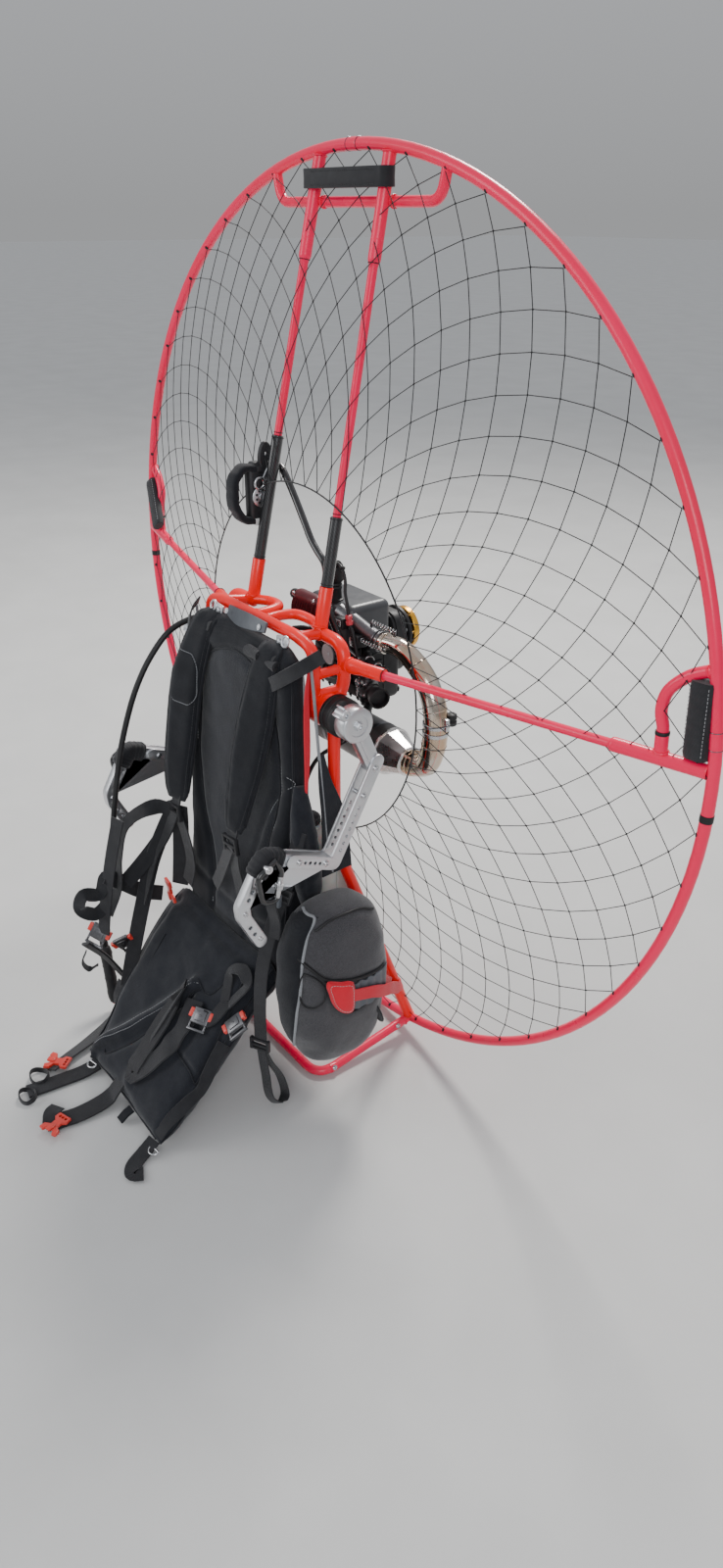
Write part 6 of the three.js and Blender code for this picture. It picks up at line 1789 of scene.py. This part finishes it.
for name, rows in (("left", LEFT_STRAP), ("right", RIGHT_STRAP)):
    form, rings = Shape(), []
    lengths = np.concatenate([[0], np.cumsum([(at(*b[:3]) - at(*a[:3])).length
                                              for a, b in zip(rows, rows[1:])])])
    shares = [i / STRAP_STEPS for i in range(STRAP_STEPS + 1)]
    halves, depths = ([float(np.interp(t * lengths[-1], lengths, [r[k] for r in rows])) for t in shares]
                      for k in (3, 4))
    for i, share in enumerate(shares):
        centre, across, face = strap_frame(rows, share)
        rings.append(oval(centre, across, face, halves[i] - 1, depths[i] - 2.5, 0.3, 0.4, 48))
    form.sections(rings)
    strap = Stuffed(form, 0.0045, 2.0, 0.0025, 3)
    edges = []
    for sign in (1, -1):
        edge = []
        for i in range(2, STRAP_STEPS - 1):
            centre, across, face = strap_frame(rows, shares[i])
            edge.append(centre + across * sign * (halves[i] - 9) * MM + face * 0.012)
        edges.append(edge)
    facing = strap_frame(rows, 0.5)[2]
    if facing.y > 0:
        facing = -facing
    for edge in edges:
        spots, _ = strap.laid(edge, -facing)
        strap.press(spots, 0.0024, 0.005)
    strap.rumple(0.0014, 0.08, 5.0 if name == "left" else 8.0)
    strap.done(f"shoulder_pad_{name}", "frame", FABRIC, "fabric", [f"shoulder_strap_{name}"], 0.8)
    trim = Shape()
    for edge in edges:
        spots, looks = strap.laid(edge, -facing, 0.0006)
        stitches(trim, spots, looks, 0)
    for sign in (1, -1):
        rim = []
        for i in range(1, STRAP_STEPS, 2):
            centre, across, _ = strap_frame(rows, shares[i])
            rim.append(strap.tree().find_nearest(centre + across * sign * (halves[i] + 10) * MM)[0])
        trim.tube(smooth(settled(rim, 6)[::2], 80), 0.0030, 10, 1)
    if name == "right":
        patch_rows = [(at(-150, -280, 790), at(-112, -280, 790)), (at(-164, -280, 775), at(-98, -280, 775)),
                      (at(-165, -280, 745), at(-95, -280, 745)), (at(-160, -290, 712), at(-94, -290, 712)),
                      (at(-146, -290, 697), at(-108, -290, 697))]
        rim = strap.panel(trim, patch_rows, -facing, 0.0016, 1, 13, 17)
        stitches(trim, settled(rim + rim[:1], 2), [facing] * (len(rim) + 1), 2, 0.0046,
                 0.0034, 0.0007, 0.0009)
    trim.done(f"shoulder_pad_trim_{name}", "frame", [DARK_THREAD, FABRIC, PIPING], "fabric")
    # Buckle at the strap's lower end, with its webbing in and out
    foot, _, _ = strap_frame(rows, 1.0)
    tails = Shape()
    look = (0, -1, 0.12)
    lock = foot + Vector((0, -0.008, -0.022))
    ladder(tails, lock, (0.1, 0.05, -1), look, 38, 32, 1)
    tails.ribbon(smooth([foot + Vector((0, 0.001, 0.020)), foot + Vector((0, -0.003, -0.002)),
                         lock + Vector((0, 0, 0.011))], 12), 0.030, 0.0030, look, 0)
    if name == "left":
        runs = [[lock + Vector((0, -0.001, 0.0)), at(44, -322, 458), at(4, -312, 405), at(-26, -308, 362)],
                [lock + Vector((0.002, 0.003, -0.008)), at(72, -318, 455),
                 at(80, -314, 400), at(86, -316, 352)]]
        widths = (0.028, 0.034)
    else:
        runs = [[lock + Vector((0, -0.001, 0.0)), at(-140, -342, 440), at(-152, -362, 400),
                 at(-150, -384, 352), at(-158, -402, 290)],
                [lock + Vector((0.004, 0.003, -0.006)), at(-118, -318, 440), at(-112, -312, 370),
                 at(-120, -318, 322)],
                [lock + Vector((-0.006, 0.002, -0.002)), at(-158, -352, 486), at(-172, -408, 464),
                 at(-172, -432, 400), at(-168, -442, 335), at(-166, -468, 284)]]
        widths = (0.030, 0.036, 0.030)
    for path, wide in zip(runs, widths):
        tails.ribbon(smooth(path, 40), wide, 0.0026, look, 0)
    tails.done(f"strap_tail_{name}", "frame", [STRAP, PLASTIC], "fabric")

# Seat, laid down in front of the pad
SEAT_ROWS = [(-296, 180, -180, 226, 306), (-340, 183, -182, 192, 276), (-400, 186, -176, 132, 210),
             (-480, 190, -152, 56, 128), (-540, 192, -124, 14, 66), (-572, 186, -112, 0, 26)]
form, rings = Shape(), []
for y in np.linspace(-298, -568, 30):
    x_left, x_right, low, high = row_at(SEAT_ROWS, y)
    centre = at((x_left + x_right) / 2, y, (low + high) / 2)
    rings.append(oval(centre, X, Z, (x_left - x_right) / 2 - 5, (high - low) / 2 - 4, 0.24, 0.5, 64))
form.sections(rings)
seat = Stuffed(form, 0.006, 3.0, 0.008, 6)


def over_seat(rows, count=50):
    """A path laid on the seat from points above it, given as x and y."""
    path = smooth([at(x, y, 400) for x, y in rows], count)
    return seat.laid(path, -Z)


SEAT_FOLD = [(-104, -556), (-56, -522), (0, -462), (30, -424), (52, -400)]
SEAT_LEDGE = [(-92, -566), (-40, -536), (16, -476), (46, -434), (66, -404)]
SEAT_STRAP = [(60, -396), (78, -420), (92, -452), (88, -492), (66, -528), (34, -558), (24, -570)]
SEAT_SEAM = [(96, -478), (140, -480), (184, -480)]
SEAT_CORNER = [(52, -400), (90, -398), (112, -340)]
seat.press(over_seat(SEAT_FOLD)[0], -0.0105, 0.013)
seat.press(over_seat(SEAT_LEDGE)[0], 0.0080, 0.009)
seat.press(over_seat(SEAT_STRAP)[0], -0.0085, 0.017)
seat.press(over_seat([(x + 22, y + 3) for x, y in SEAT_STRAP[1:-1]])[0], 0.0045, 0.006)
seat.press(over_seat(SEAT_SEAM)[0], 0.0055, 0.006)
seat.press(over_seat([(166, -420), (168, -500), (166, -560)])[0], 0.0045, 0.007)
seat.press(over_seat([(-150, -330), (-142, -420), (-120, -500), (-96, -540)])[0], 0.0045, 0.008)
seat.press(over_seat([(-160, -330), (0, -336), (160, -330)])[0], 0.0060, 0.010)
seat.press(over_seat(SEAT_CORNER)[0], 0.0040, 0.007)
seat.rumple(0.0030, 0.10, 1.7)
seat.keep(2, low=0.0006)
seat.done("seat_cushion", "frame", LINING, "fabric", ["seat"], 0.5)

seat_trim = Shape()
for rows in (SEAT_LEDGE, SEAT_SEAM, SEAT_CORNER):
    seat_trim.tube(settled(over_seat(rows)[0]), 0.0020, 8, 1)
for shift in (-9, 9):
    spots, looks = over_seat([(x + shift, y - 2) for x, y in SEAT_FOLD])
    stitches(seat_trim, spots, looks, 0)
for side in (1, 2):
    for rise in (0.5, 0.94):
        rim = []
        for y in np.linspace(-306, -566, 40):
            row = row_at(SEAT_ROWS, y)
            rim.append(seat.tree().find_nearest(at(row[side - 1] * (1.0 if rise < 0.9 else 0.97), y,
                                                   row[2] + (row[3] - row[2]) * rise))[0])
        seat_trim.tube(smooth(settled(rim, 8)[::3], 60), 0.0022, 10, 1)
rim = [seat.tree().find_nearest(at(x, -575, 24))[0] for x in range(-100, 176, 12)]
seat_trim.tube(smooth(settled(rim, 6)[::2], 60), 0.0024, 10, 1)
pull_tab = at(70, -577, 18)
seat_trim.ribbon([pull_tab + Vector((0, 0.012, 0.004)), pull_tab, pull_tab + Vector((0, -0.014, -0.010))],
                 0.020, 0.0050, Z, 1)
seat_trim.done("seat_trim", "frame", [THREAD, FABRIC], "fabric")

# Leg bands: one over the seat and on to the ground, one from its right side
LEG_LEFT = [(14, -574, 24), (12, -592, 13), (10, -640, 7), (2, -680, 6), (-4, -700, 6)]
LEG_RIGHT = [(-86, -560, 14), (-90, -590, 6), (-96, -640, 5), (-101, -680, 5), (-104, -698, 5)]
SIDE_BAND_LOW = [(-170, -404, 122), (-172, -440, 72), (-170, -486, 30), (-164, -540, 9),
                 (-146, -600, 7), (-132, -640, 7)]
spots, looks = over_seat(SEAT_STRAP[1:], 40)
band = Shape()
over = settled([p + n * 0.0022 for p, n in zip(spots, looks)], 6)
band.ribbon(over + course(LEG_LEFT, 30)[1:], 0.040, 0.0034, looks + [Z] * 30, 0)
band.ribbon(course([(-2, -694, 7), (-20, -684, 12), (-30, -668, 9)], 12), 0.030, 0.0026, Z, 0)
band.done("leg_band_left", "frame", STRAP, "fabric", ["leg_strap_left"])
band = Shape()
band.ribbon(course(LEG_RIGHT, 30), 0.036, 0.005, Z, 0)
band.done("leg_band_right", "frame", STRAP, "fabric", ["leg_strap_right"])
band = Shape()
band.ribbon(course(SIDE_BAND_LOW, 40), narrowing(0.052, 0.020, 40), 0.0034, (-0.35, -0.25, 1), 0)
for centre, size in ((at(-128, -664, 8), 0.021), (at(-92, -702, 8), 0.019)):
    loop = [centre + Vector((cos(a) * size, sin(a) * size * 0.8, 0.003 * sin(2 * a)))
            for a in np.linspace(0, 2 * pi, 33)[:-1]]
    band.ribbon(loop, 0.011, 0.0024, [(p - centre).normalized() for p in loop], 0, closed=True)
band.done("side_band_low", "frame", STRAP, "fabric")

fittings = Shape()
t_hook(fittings, at(14, -690, 13), (0.35, -1, 0), (0, 0, 1), 1)
t_hook(fittings, at(-138, -622, 14), (-0.7, -0.6, 0), (0, 0, 1), 1)
d_ring(fittings, at(-84, -572, 22), (0.2, -1, -0.3), (0, -0.3, 1), 0.011, mat=0)
d_ring(fittings, at(176, -575, 14), (0.1, -1, -0.2), (0, -0.3, 1), 0.011, mat=0)
fittings.done("seat_fittings", "frame", [STEEL, RED_PLASTIC], "alloy")

# Buckles and webbing over the seat's left part
spots, looks = over_seat([(100, -426), (196, -402)], 10)
locks = Shape()
quick_lock(locks, spots[1] + looks[1] * 0.010, (0.35, -0.7, -0.6), looks[1], 0, 1)
quick_lock(locks, at(188, -404, 222), (0.9, -0.25, -0.1), (0, -0.6, 0.8), 0, 1)
locks.done("leg_buckles_left", "frame", [DARK_STEEL, RED_PLASTIC], "alloy")
webs = Shape()
loop_foot = seat.laid([at(138, -388, 400)], -Z)[0][0]
webs.ribbon(smooth([loop_foot + Vector(v) * MM
                    for v in ((-6, -2, 2), (-20, 14, 22), (-26, 26, 44), (2, 34, 56), (28, 26, 46),
                              (18, 10, 20), (8, -2, 2))], 40),
            0.024, 0.0026, [Vector((-0.2, -0.5, 0.9))] * 41, 0)
webs.ribbon(smooth([loop_foot + Vector((0.002, 0, 0.003)), spots[3] + looks[3] * 0.006,
                    spots[1] + looks[1] * 0.011], 20), 0.028, 0.0028, (0, -0.7, 0.7), 0)
right_edge = over_seat([(170, -418), (176, -470), (174, -520), (168, -560)], 30)
webs.ribbon([p + n * 0.0028 for p, n in zip(*right_edge)], 0.024, 0.0028, right_edge[1], 0)
webs.ribbon(course([(198, -262, 566), (203, -290, 490), (203, -322, 420), (202, -350, 330), (200, -358, 250),
                    (200, -360, 172)], 50), 0.026, 0.0028, (0.5, -1, 0.2), 0)
webs.ribbon(course([(200, -360, 150), (204, -356, 90), (208, -350, 30), (212, -334, 12), (206, -318, 14),
                    (200, -322, 60), (198, -344, 110), (199, -357, 146)], 50),
            0.022, 0.0026, (0.3, -1, 0.1), 0)
webs.ribbon(course([(160, -566, 20), (166, -592, 8), (180, -618, 6), (198, -626, 7), (206, -612, 6)], 30),
            0.030, 0.0028, Z, 0)
ladder(webs, at(200, -362, 160), (0, 0, -1), (0.5, -1, 0.1), 34, 26, 1)
ladder(webs, at(203, -306, 462), (0, -0.4, -1), (0.5, -1, 0.2), 34, 26, 1)
webs.done("seat_webbing_left", "frame", [STRAP, PLASTIC], "fabric")

# Bunch of webbing and buckles that lies beside the seat's right edge
bunch = Shape()
BUNCH_X = -172
for rows, wide, look in (
    ([(0, -432, 336), (-2, -462, 362), (-2, -478, 330), (0, -512, 340), (0, -522, 316), (0, -492, 290),
      (0, -470, 300)], 0.026, (0.5, -0.6, 0.6)),
    ([(0, -462, 364), (-2, -432, 338), (-3, -392, 302), (4, -352, 284)], 0.030, (0.6, -0.5, 0.6)),
    ([(8, -398, 290), (-4, -406, 240), (-6, -420, 180), (-4, -446, 104), (0, -462, 40)],
     0.028, (0.3, -0.9, 0.2)),
    ([(-4, -520, 212), (-4, -530, 190), (-4, -518, 168), (-4, -500, 170)], 0.012, (-0.5, -0.8, 0.2)),
    ([(0, -458, 112), (-4, -472, 70), (-2, -466, 24), (2, -480, 8)], 0.020, (0.2, -0.8, 0.2)),
    ([(38, -324, 488), (24, -340, 446), (20, -372, 380), (22, -404, 290), (20, -430, 200), (22, -456, 112)],
     0.030, (0.7, -0.7, 0.1)),
    ([(12, -430, 484), (8, -452, 400), (6, -470, 320), (12, -486, 248)], 0.028, (0.4, -0.9, 0.1)),
    ([(40, -316, 488), (30, -312, 440), (24, -314, 370), (26, -322, 306)], 0.034, (0.6, -0.8, 0)),
    ([(42, -322, 492), (28, -330, 462), (20, -350, 420), (12, -392, 372), (8, -428, 340)],
     0.032, (0.5, -0.8, 0.3)),
):
    bunch.ribbon(course([(BUNCH_X + x, y, z) for x, y, z in rows], 40), wide, 0.0026, look, 0)
lever = course([(BUNCH_X - 2, -520, 232), (BUNCH_X - 2, -484, 184), (BUNCH_X, -450, 120),
                (BUNCH_X, -420, 66)], 24)
bunch.ribbon(lever, narrowing(0.020, 0.010, 24), 0.0055, (0.4, -0.8, 0.3), 1)
bunch.done("webbing_bunch_right", "frame", [STRAP, PLASTIC], "fabric")
locks = Shape()
quick_lock(locks, at(BUNCH_X, -490, 246), (0, -0.55, -0.8), (0.6, -0.6, 0.4), 0, 1)
quick_lock(locks, at(BUNCH_X + 2, -444, 204), (0, 0.6, -0.8), (0.5, -0.7, 0.4), 0, 1)
t_hook(locks, at(BUNCH_X + 10, -338, 288), (0.1, 0.1, -1), (-0.2, -1, 0.3), 1)
locks.block(lever[-1], (0.0048, 0.0062, 0.0052), 0.002, mat=1)
locks.done("leg_buckles_right", "frame", [DARK_STEEL, RED_PLASTIC], "alloy")


# Reserve container on the left side
RESERVE = (252.3, -238, 288)
RESERVE_ROWS = [(-1, 0.42), (-0.86, 0.70), (-0.45, 0.94), (0, 1), (0.45, 0.95), (0.86, 0.72), (1, 0.44)]
form, rings = Shape(), []
for share in np.linspace(-0.985, 0.985, 34):
    out = row_at(RESERVE_ROWS, share)[0]
    rings.append(oval(at(RESERVE[0], RESERVE[1], RESERVE[2] + 168 * share), X, Y, 70 * out - 5,
                      106 * out - 5, 0.62, 0.72, 56))
form.sections(rings)
reserve = Stuffed(form, 0.006, 4.0, 0.008, 6)


def over_reserve(rows, count=50):
    """A path laid on the container from points beside it, given as y and z."""
    return reserve.laid(smooth([at(420, y, z) for y, z in rows], count), -X)


ROUND_SEAM = [(296, -329, 358), (290, -334, 344), (291, -336, 321), (291, -337, 304), (299, -333, 291),
              (306, -326, 287), (311, -316, 288), (316, -305, 295), (318, -298, 304), (317, -296, 319),
              (314, -302, 338), (310, -311, 348), (303, -322, 356), (296, -329, 358)]
POCKET_SEAM = [(316, -296, 342), (317, -294, 325), (318, -290, 309), (320, -283, 287), (321, -270, 269),
               (321, -257, 259), (321, -244, 255), (321, -228, 256), (321, -210, 258), (318, -184, 262)]
waist, waist_looks = reserve.wrapped(course([
    (270, -338, 392), (282, -331, 383), (290, -327, 378), (301, -320, 371), (309, -311, 360),
    (315, -295, 344), (320, -268, 334), (321, -246, 326), (321, -225, 322), (320, -196, 318),
    (312, -164, 314)], 60))
pocket, pocket_looks = reserve.wrapped(course(POCKET_SEAM, 50))
around, around_looks = reserve.wrapped(course(ROUND_SEAM, 60))
reserve.press(waist, 0.0045, 0.006)
reserve.press(pocket, 0.0040, 0.006)
reserve.press(around, 0.0030, 0.005)
reserve.press(over_reserve([(-300, 400), (-238, 420), (-170, 404)])[0], -0.0050, 0.030)
reserve.press(over_reserve([(-282, 180), (-220, 158), (-180, 176)])[0], -0.0040, 0.026)
reserve.rumple(0.0018, 0.10, 2.3)
reserve.keep(0, low=0.1830)
reserve.done("reserve_bag", "frame", MELANGE, "melange", ["reserve_container"], 0.85)

reserve_trim = Shape()
flap_rows = [(at(206, -460, 446), at(276, -460, 446)), (at(200, -460, 380), at(284, -460, 392)),
             (at(198, -460, 290), at(284, -460, 296)), (at(200, -460, 210), at(272, -460, 224)),
             (at(208, -460, 150), at(250, -460, 172))]
rim = reserve.panel(reserve_trim, flap_rows, Y, 0.0050, 0)
reserve_trim.tube(smooth(settled([p + Vector((0, -0.0015, 0)) for p in rim], 3)[::2], 160), 0.0026, 10, 2)
for path, looks, radius in ((waist, waist_looks, 0.0028), (pocket, pocket_looks, 0.0020),
                            (around, around_looks, 0.0015)):
    reserve_trim.tube(settled([p + n * 0.0006 for p, n in zip(path, looks)]), radius, 10, 1)
top_seam, top_looks = over_reserve([(-296, 430), (-270, 441), (-238, 444), (-206, 441), (-178, 428)])
reserve_trim.tube([p + n * 0.0006 for p, n in zip(top_seam, top_looks)], 0.0026, 10, 1)
reserve_trim.done("reserve_trim", "frame", [FABRIC, RUBBER, PIPING], "fabric")
belt, belt_looks = over_reserve([(-256, 289), (-230, 288), (-205, 286), (-180, 286), (-158, 288)], 40)
straps = Shape()
straps.ribbon([p + n * (0.0016 + 0.0010 * sin(i * 0.9)) for i, (p, n) in enumerate(zip(belt, belt_looks))],
              [0.056 + 0.004 * sin(i * 0.7) for i in range(41)], 0.0026, belt_looks, 1)
small = at(308, -176, 214)
straps.ribbon(smooth([small + Vector(v) * MM
                      for v in ((-8, -4, 14), (6, -4, 6), (8, 0, -10), (-4, 2, -16), (-10, 0, -2))], 24),
                      0.012, 0.0024, Y, 0)
ladder(straps, at(212, -330, 470), (0, -0.1, -1), (0.3, -1, 0.1), 30, 24, 1)
straps.ribbon(course([(212, -330, 486), (214, -334, 456), (218, -330, 424), (222, -336, 396)], 16), 0.024,
              0.0026, (0.3, -1, 0.1), 0)
straps.done("reserve_webbing", "frame", [STRAP, SLATE], "fabric")

# Red handle pad on the container, and its webbing that goes round the rail and back
HANDLE_OUTLINE = [(-248, 326), (-256, 331), (-268, 333.5), (-284, 340), (-294, 343), (-296, 336),
                  (-292, 320), (-287, 300), (-280, 285), (-270.5, 273), (-259, 265.5), (-249.5, 265),
                  (-246, 275), (-245.4, 296), (-245.4, 312)]
ALONG_PAD = Vector((0.16, 0.987, 0)).normalized()
PAD_CORNER = at(325.5, -246, 300)
handle_rim = smooth([Vector(((y + 246) * MM, (z - 300) * MM, 0))
                     for y, z in HANDLE_OUTLINE + HANDLE_OUTLINE[:1]], 60)[:-1]
middle = sum(handle_rim, Vector()) / len(handle_rim)


def on_pad(share, out):
    """The pad's outline drawn in to a share of its size, at a height over its back."""
    return [PAD_CORNER + ALONG_PAD * q.x + Z * q.y + ALONG_PAD.cross(Z) * out
            for q in (middle.lerp(p, share) for p in handle_rim)]


handle = Shape()
handle.sections([on_pad(share, out) for share, out in (
    (0.02, -0.004), (0.90, -0.004), (0.97, -0.0025), (1.0, 0.0005), (0.985, 0.0034), (0.93, 0.0056),
    (0.84, 0.0070), (0.6, 0.0084), (0.3, 0.0092), (0.02, 0.0094))])
handle.tube(on_pad(1.0, 0.0012), 0.0016, 8, 0, closed=True)
stitches(handle, on_pad(0.86, 0.0069) + on_pad(0.86, 0.0069)[:1], [ALONG_PAD.cross(Z)] * 61, 1)
handle.done("reserve_handle_pad", "frame", [RED_STRAP, THREAD], "red_webbing", ["reserve_handle"])
pull_band = Shape()
rail_heading = (Vector(RAIL_FOOT) - Vector((*RAIL_LINE, 500))).normalized()
rail_side = squared(X, rail_heading)
rail_back = rail_side.cross(rail_heading)
rail_spot = at(183.8, -38, 128)
out_leg = course([(327, -250, 299), (327, -225, 292), (326, -200, 284), (321, -178, 271),
                  (315, -166, 264), (308, -154, 255), (297, -141, 243), (250, -97, 193), (204, -46, 138)], 44)
turn = [rail_side * cos(a) + rail_back * sin(a) for a in np.linspace(radians(50), radians(318), 22)]
back_leg = course([(206, -66, 160), (250, -112, 214), (288, -152, 262)], 16)
band_path = out_leg + [rail_spot + side * 0.0134 for side in turn] + back_leg
band_looks = [Vector((1, 0.1, 0)).lerp(Vector((0.77, 0.64, 0)), min(1.0, i / 26))
              for i in range(len(out_leg))] + turn
band_looks += [Vector((-0.70, -0.71, 0))] * len(back_leg)
pull_band.ribbon(band_path, 0.024, 0.0026, band_looks, 0)
pull_band.done("reserve_handle_band", "frame", RED_STRAP, "red_webbing")

# Throttle: hand grip with its strap, disc and hook, and the glossy cable
GRIP_X = -126
GRIP_STEPS = 40
grip = Shape()
grip.box((-137, -139, 996), (-115, -105, 1094), 0.008, segments=4)
GRIP_STRAP = [(-124, 1090), (-146, 1096), (-166, 1076), (-168, 1034), (-152, 1006), (-124, 1001)]
loop = spaced(rounded([at(GRIP_X, y, z) for y, z in GRIP_STRAP], 0.022, 8), GRIP_STEPS)
rings = []
for i, (p, heading) in enumerate(zip(loop, headings(loop))):
    out = X.cross(heading).normalized()
    wide = 13 + 2.5 * sin(pi * i / GRIP_STEPS)
    rings.append(oval(p, X, out, wide, 6.6 + 0.5 * sin(i * 1.3), 0.5, 0.7, 24))
grip.sections(rings, 1)
grip.bar(at(-114.6, -117, 1044), at(-114, -117, 1044),
         [(0, 18), (2, 18), (3, 16.6), (3.3, 6), (5.4, 5.4), (5.8, 3)], 36, 2)
for a in angles(9):
    hole = at(-112.2, -117 + 11.5 * cos(a), 1044 + 11.5 * sin(a))
    grip.bar(hole, hole + X * MM, [(0, 2.3), (0.9, 2.3)], 12, 0)
grip.ring(at(-112, -121, 1067), X, 0.009, 0.0032, 28, 10, 3)
grip.bar(at(-115, -121, 1067), at(-114, -121, 1067), [(0, 7), (4, 7), (5, 5)], 20, 0)
grip.box((-115.4, -131, 995), (-112.4, -106, 1007), 0.0008, 4, segments=2)
grip.box((-135, -130, 1084), (-117, -110, 1102), 0.004, 0, segments=3)
CLIP = [(15, -20), (13, 0), (4, 20), (-3, 28), (-9, 26), (-15, 12), (-16, 0), (-12, -14), (-4, -29), (6, -30)]
clip_rim = smooth([Vector((y * MM, z * MM, 0)) for y, z in CLIP + CLIP[:1]], 40)[:-1]
grip.plate([(p.x, p.y) for p in clip_rim], at(-119, -99, 1104), Y, Z, -0.0036, 0.0036, 0.0014,
           [(-0.004, 0.010, 0.0032), (0.002, -0.004, 0.0026)], 0)
grip.tube([at(-119, -99, 1104) + Y * p.x * 0.94 + Z * p.y * 0.96 for p in clip_rim],
          0.0042, 10, 0, closed=True)
grip.box((-128, -124, 1078), (-115, -98, 1096), 0.004, 0, segments=3)
grip.ribbon([at(-113.5, -112, 1070), at(-113.5, -106, 1080), at(-113.5, -99, 1092)], 0.0085, 0.0032, X, 2)
grip.done("throttle_grip_body", "frame", [PLASTIC, FABRIC, ALLOY, STEEL, LABEL],
          "black_plastic", ["throttle_grip"])

CABLE_ROUTE = [(-119, -98, 1090), (-121, -84, 1093), (-108, -80, 1092), (-93, -82, 1084), (-76, -84, 1069),
               (-50, -88, 1046), (-16, -94, 1015), (9, -98, 991), (31, -101, 977), (52, -102, 962),
               (54, -100, 940), (51, -98, 914), (50, -92, 879), (56, -84, 847), (68, -76, 818),
               (84, -64, 800), (96, -56, 790), (98, -54, 776.3)]
cable_path = course(CABLE_ROUTE, 90)
cable = Shape().tube(cable_path, 0.0062, 18)
for share, radius in ((0.02, 0.0066), (0.975, 0.0068)):
    p, heading = along(cable_path, share)
    cable.bar(p - heading * 0.010, p + heading,
              [(0, 5.4), (2, radius * 1000), (16, radius * 1000), (20, 5.4)], 20, 1)
cable.done("throttle_cable_body", "frame", [GLOSS, RUBBER], "black_plastic", ["throttle_cable"])


# Floor and light
def add_floor():
    bm = bmesh.new()
    bmesh.ops.create_grid(bm, x_segments=2, y_segments=2, size=60)
    mesh = bpy.data.meshes.new("floor")
    bm.to_mesh(mesh)
    bm.free()
    floor = bpy.data.objects.new("floor", mesh)
    bpy.context.scene.collection.objects.link(floor)
    f = Finish("floor_surface", specular=0.2)
    f.colour(f.blotched((0.55, 0.55, 0.54), (0.59, 0.59, 0.58), 3.0)).rough(0.8, 0.95, 12.0)
    mesh.materials.append(f.material)


def add_light(name, where, target, size, power, tint=(1, 1, 1)):
    data = bpy.data.lights.new(name, "AREA")
    data.shape = "DISK"
    data.size = size
    data.energy = power
    data.color = tint
    light = bpy.data.objects.new(name, data)
    bpy.context.scene.collection.objects.link(light)
    light.matrix_world = (Vector(target) - Vector(where)).to_track_quat("-Z", "Y").to_matrix().to_4x4()
    light.location = where


add_floor()
add_light("key", (-1.6, 2.6, 4.2), (0, 0, 0.6), 1.3, 250, (1.0, 0.97, 0.93))
add_light("fill", (3.6, -2.6, 2.6), (0, 0, 0.7), 2.4, 80, (0.95, 0.97, 1.0))
add_light("front", (-2.2, -3.4, 2.4), (0, 0, 0.5), 2.6, 60)
world = bpy.data.worlds.new("studio")
world.use_nodes = True

# The sky is as bright as the floor at the horizon, and brighter overhead
sky = world.node_tree
direction = sky.nodes.new("ShaderNodeTexCoord").outputs["Generated"]
split = sky.nodes.new("ShaderNodeSeparateXYZ")
rise = sky.nodes.new("ShaderNodeMapRange")
tone = sky.nodes.new("ShaderNodeMix")
tone.data_type = "RGBA"
rise.inputs["From Max"].default_value = 0.55
tone.inputs[6].default_value = (0.358, 0.363, 0.371, 1)
tone.inputs[7].default_value = (0.66, 0.68, 0.72, 1)
sky.links.new(direction, split.inputs[0])
sky.links.new(split.outputs[2], rise.inputs["Value"])
sky.links.new(rise.outputs["Result"], tone.inputs["Factor"])
sky.links.new(tone.outputs[2], sky.nodes["Background"].inputs["Color"])
bpy.context.scene.world = world
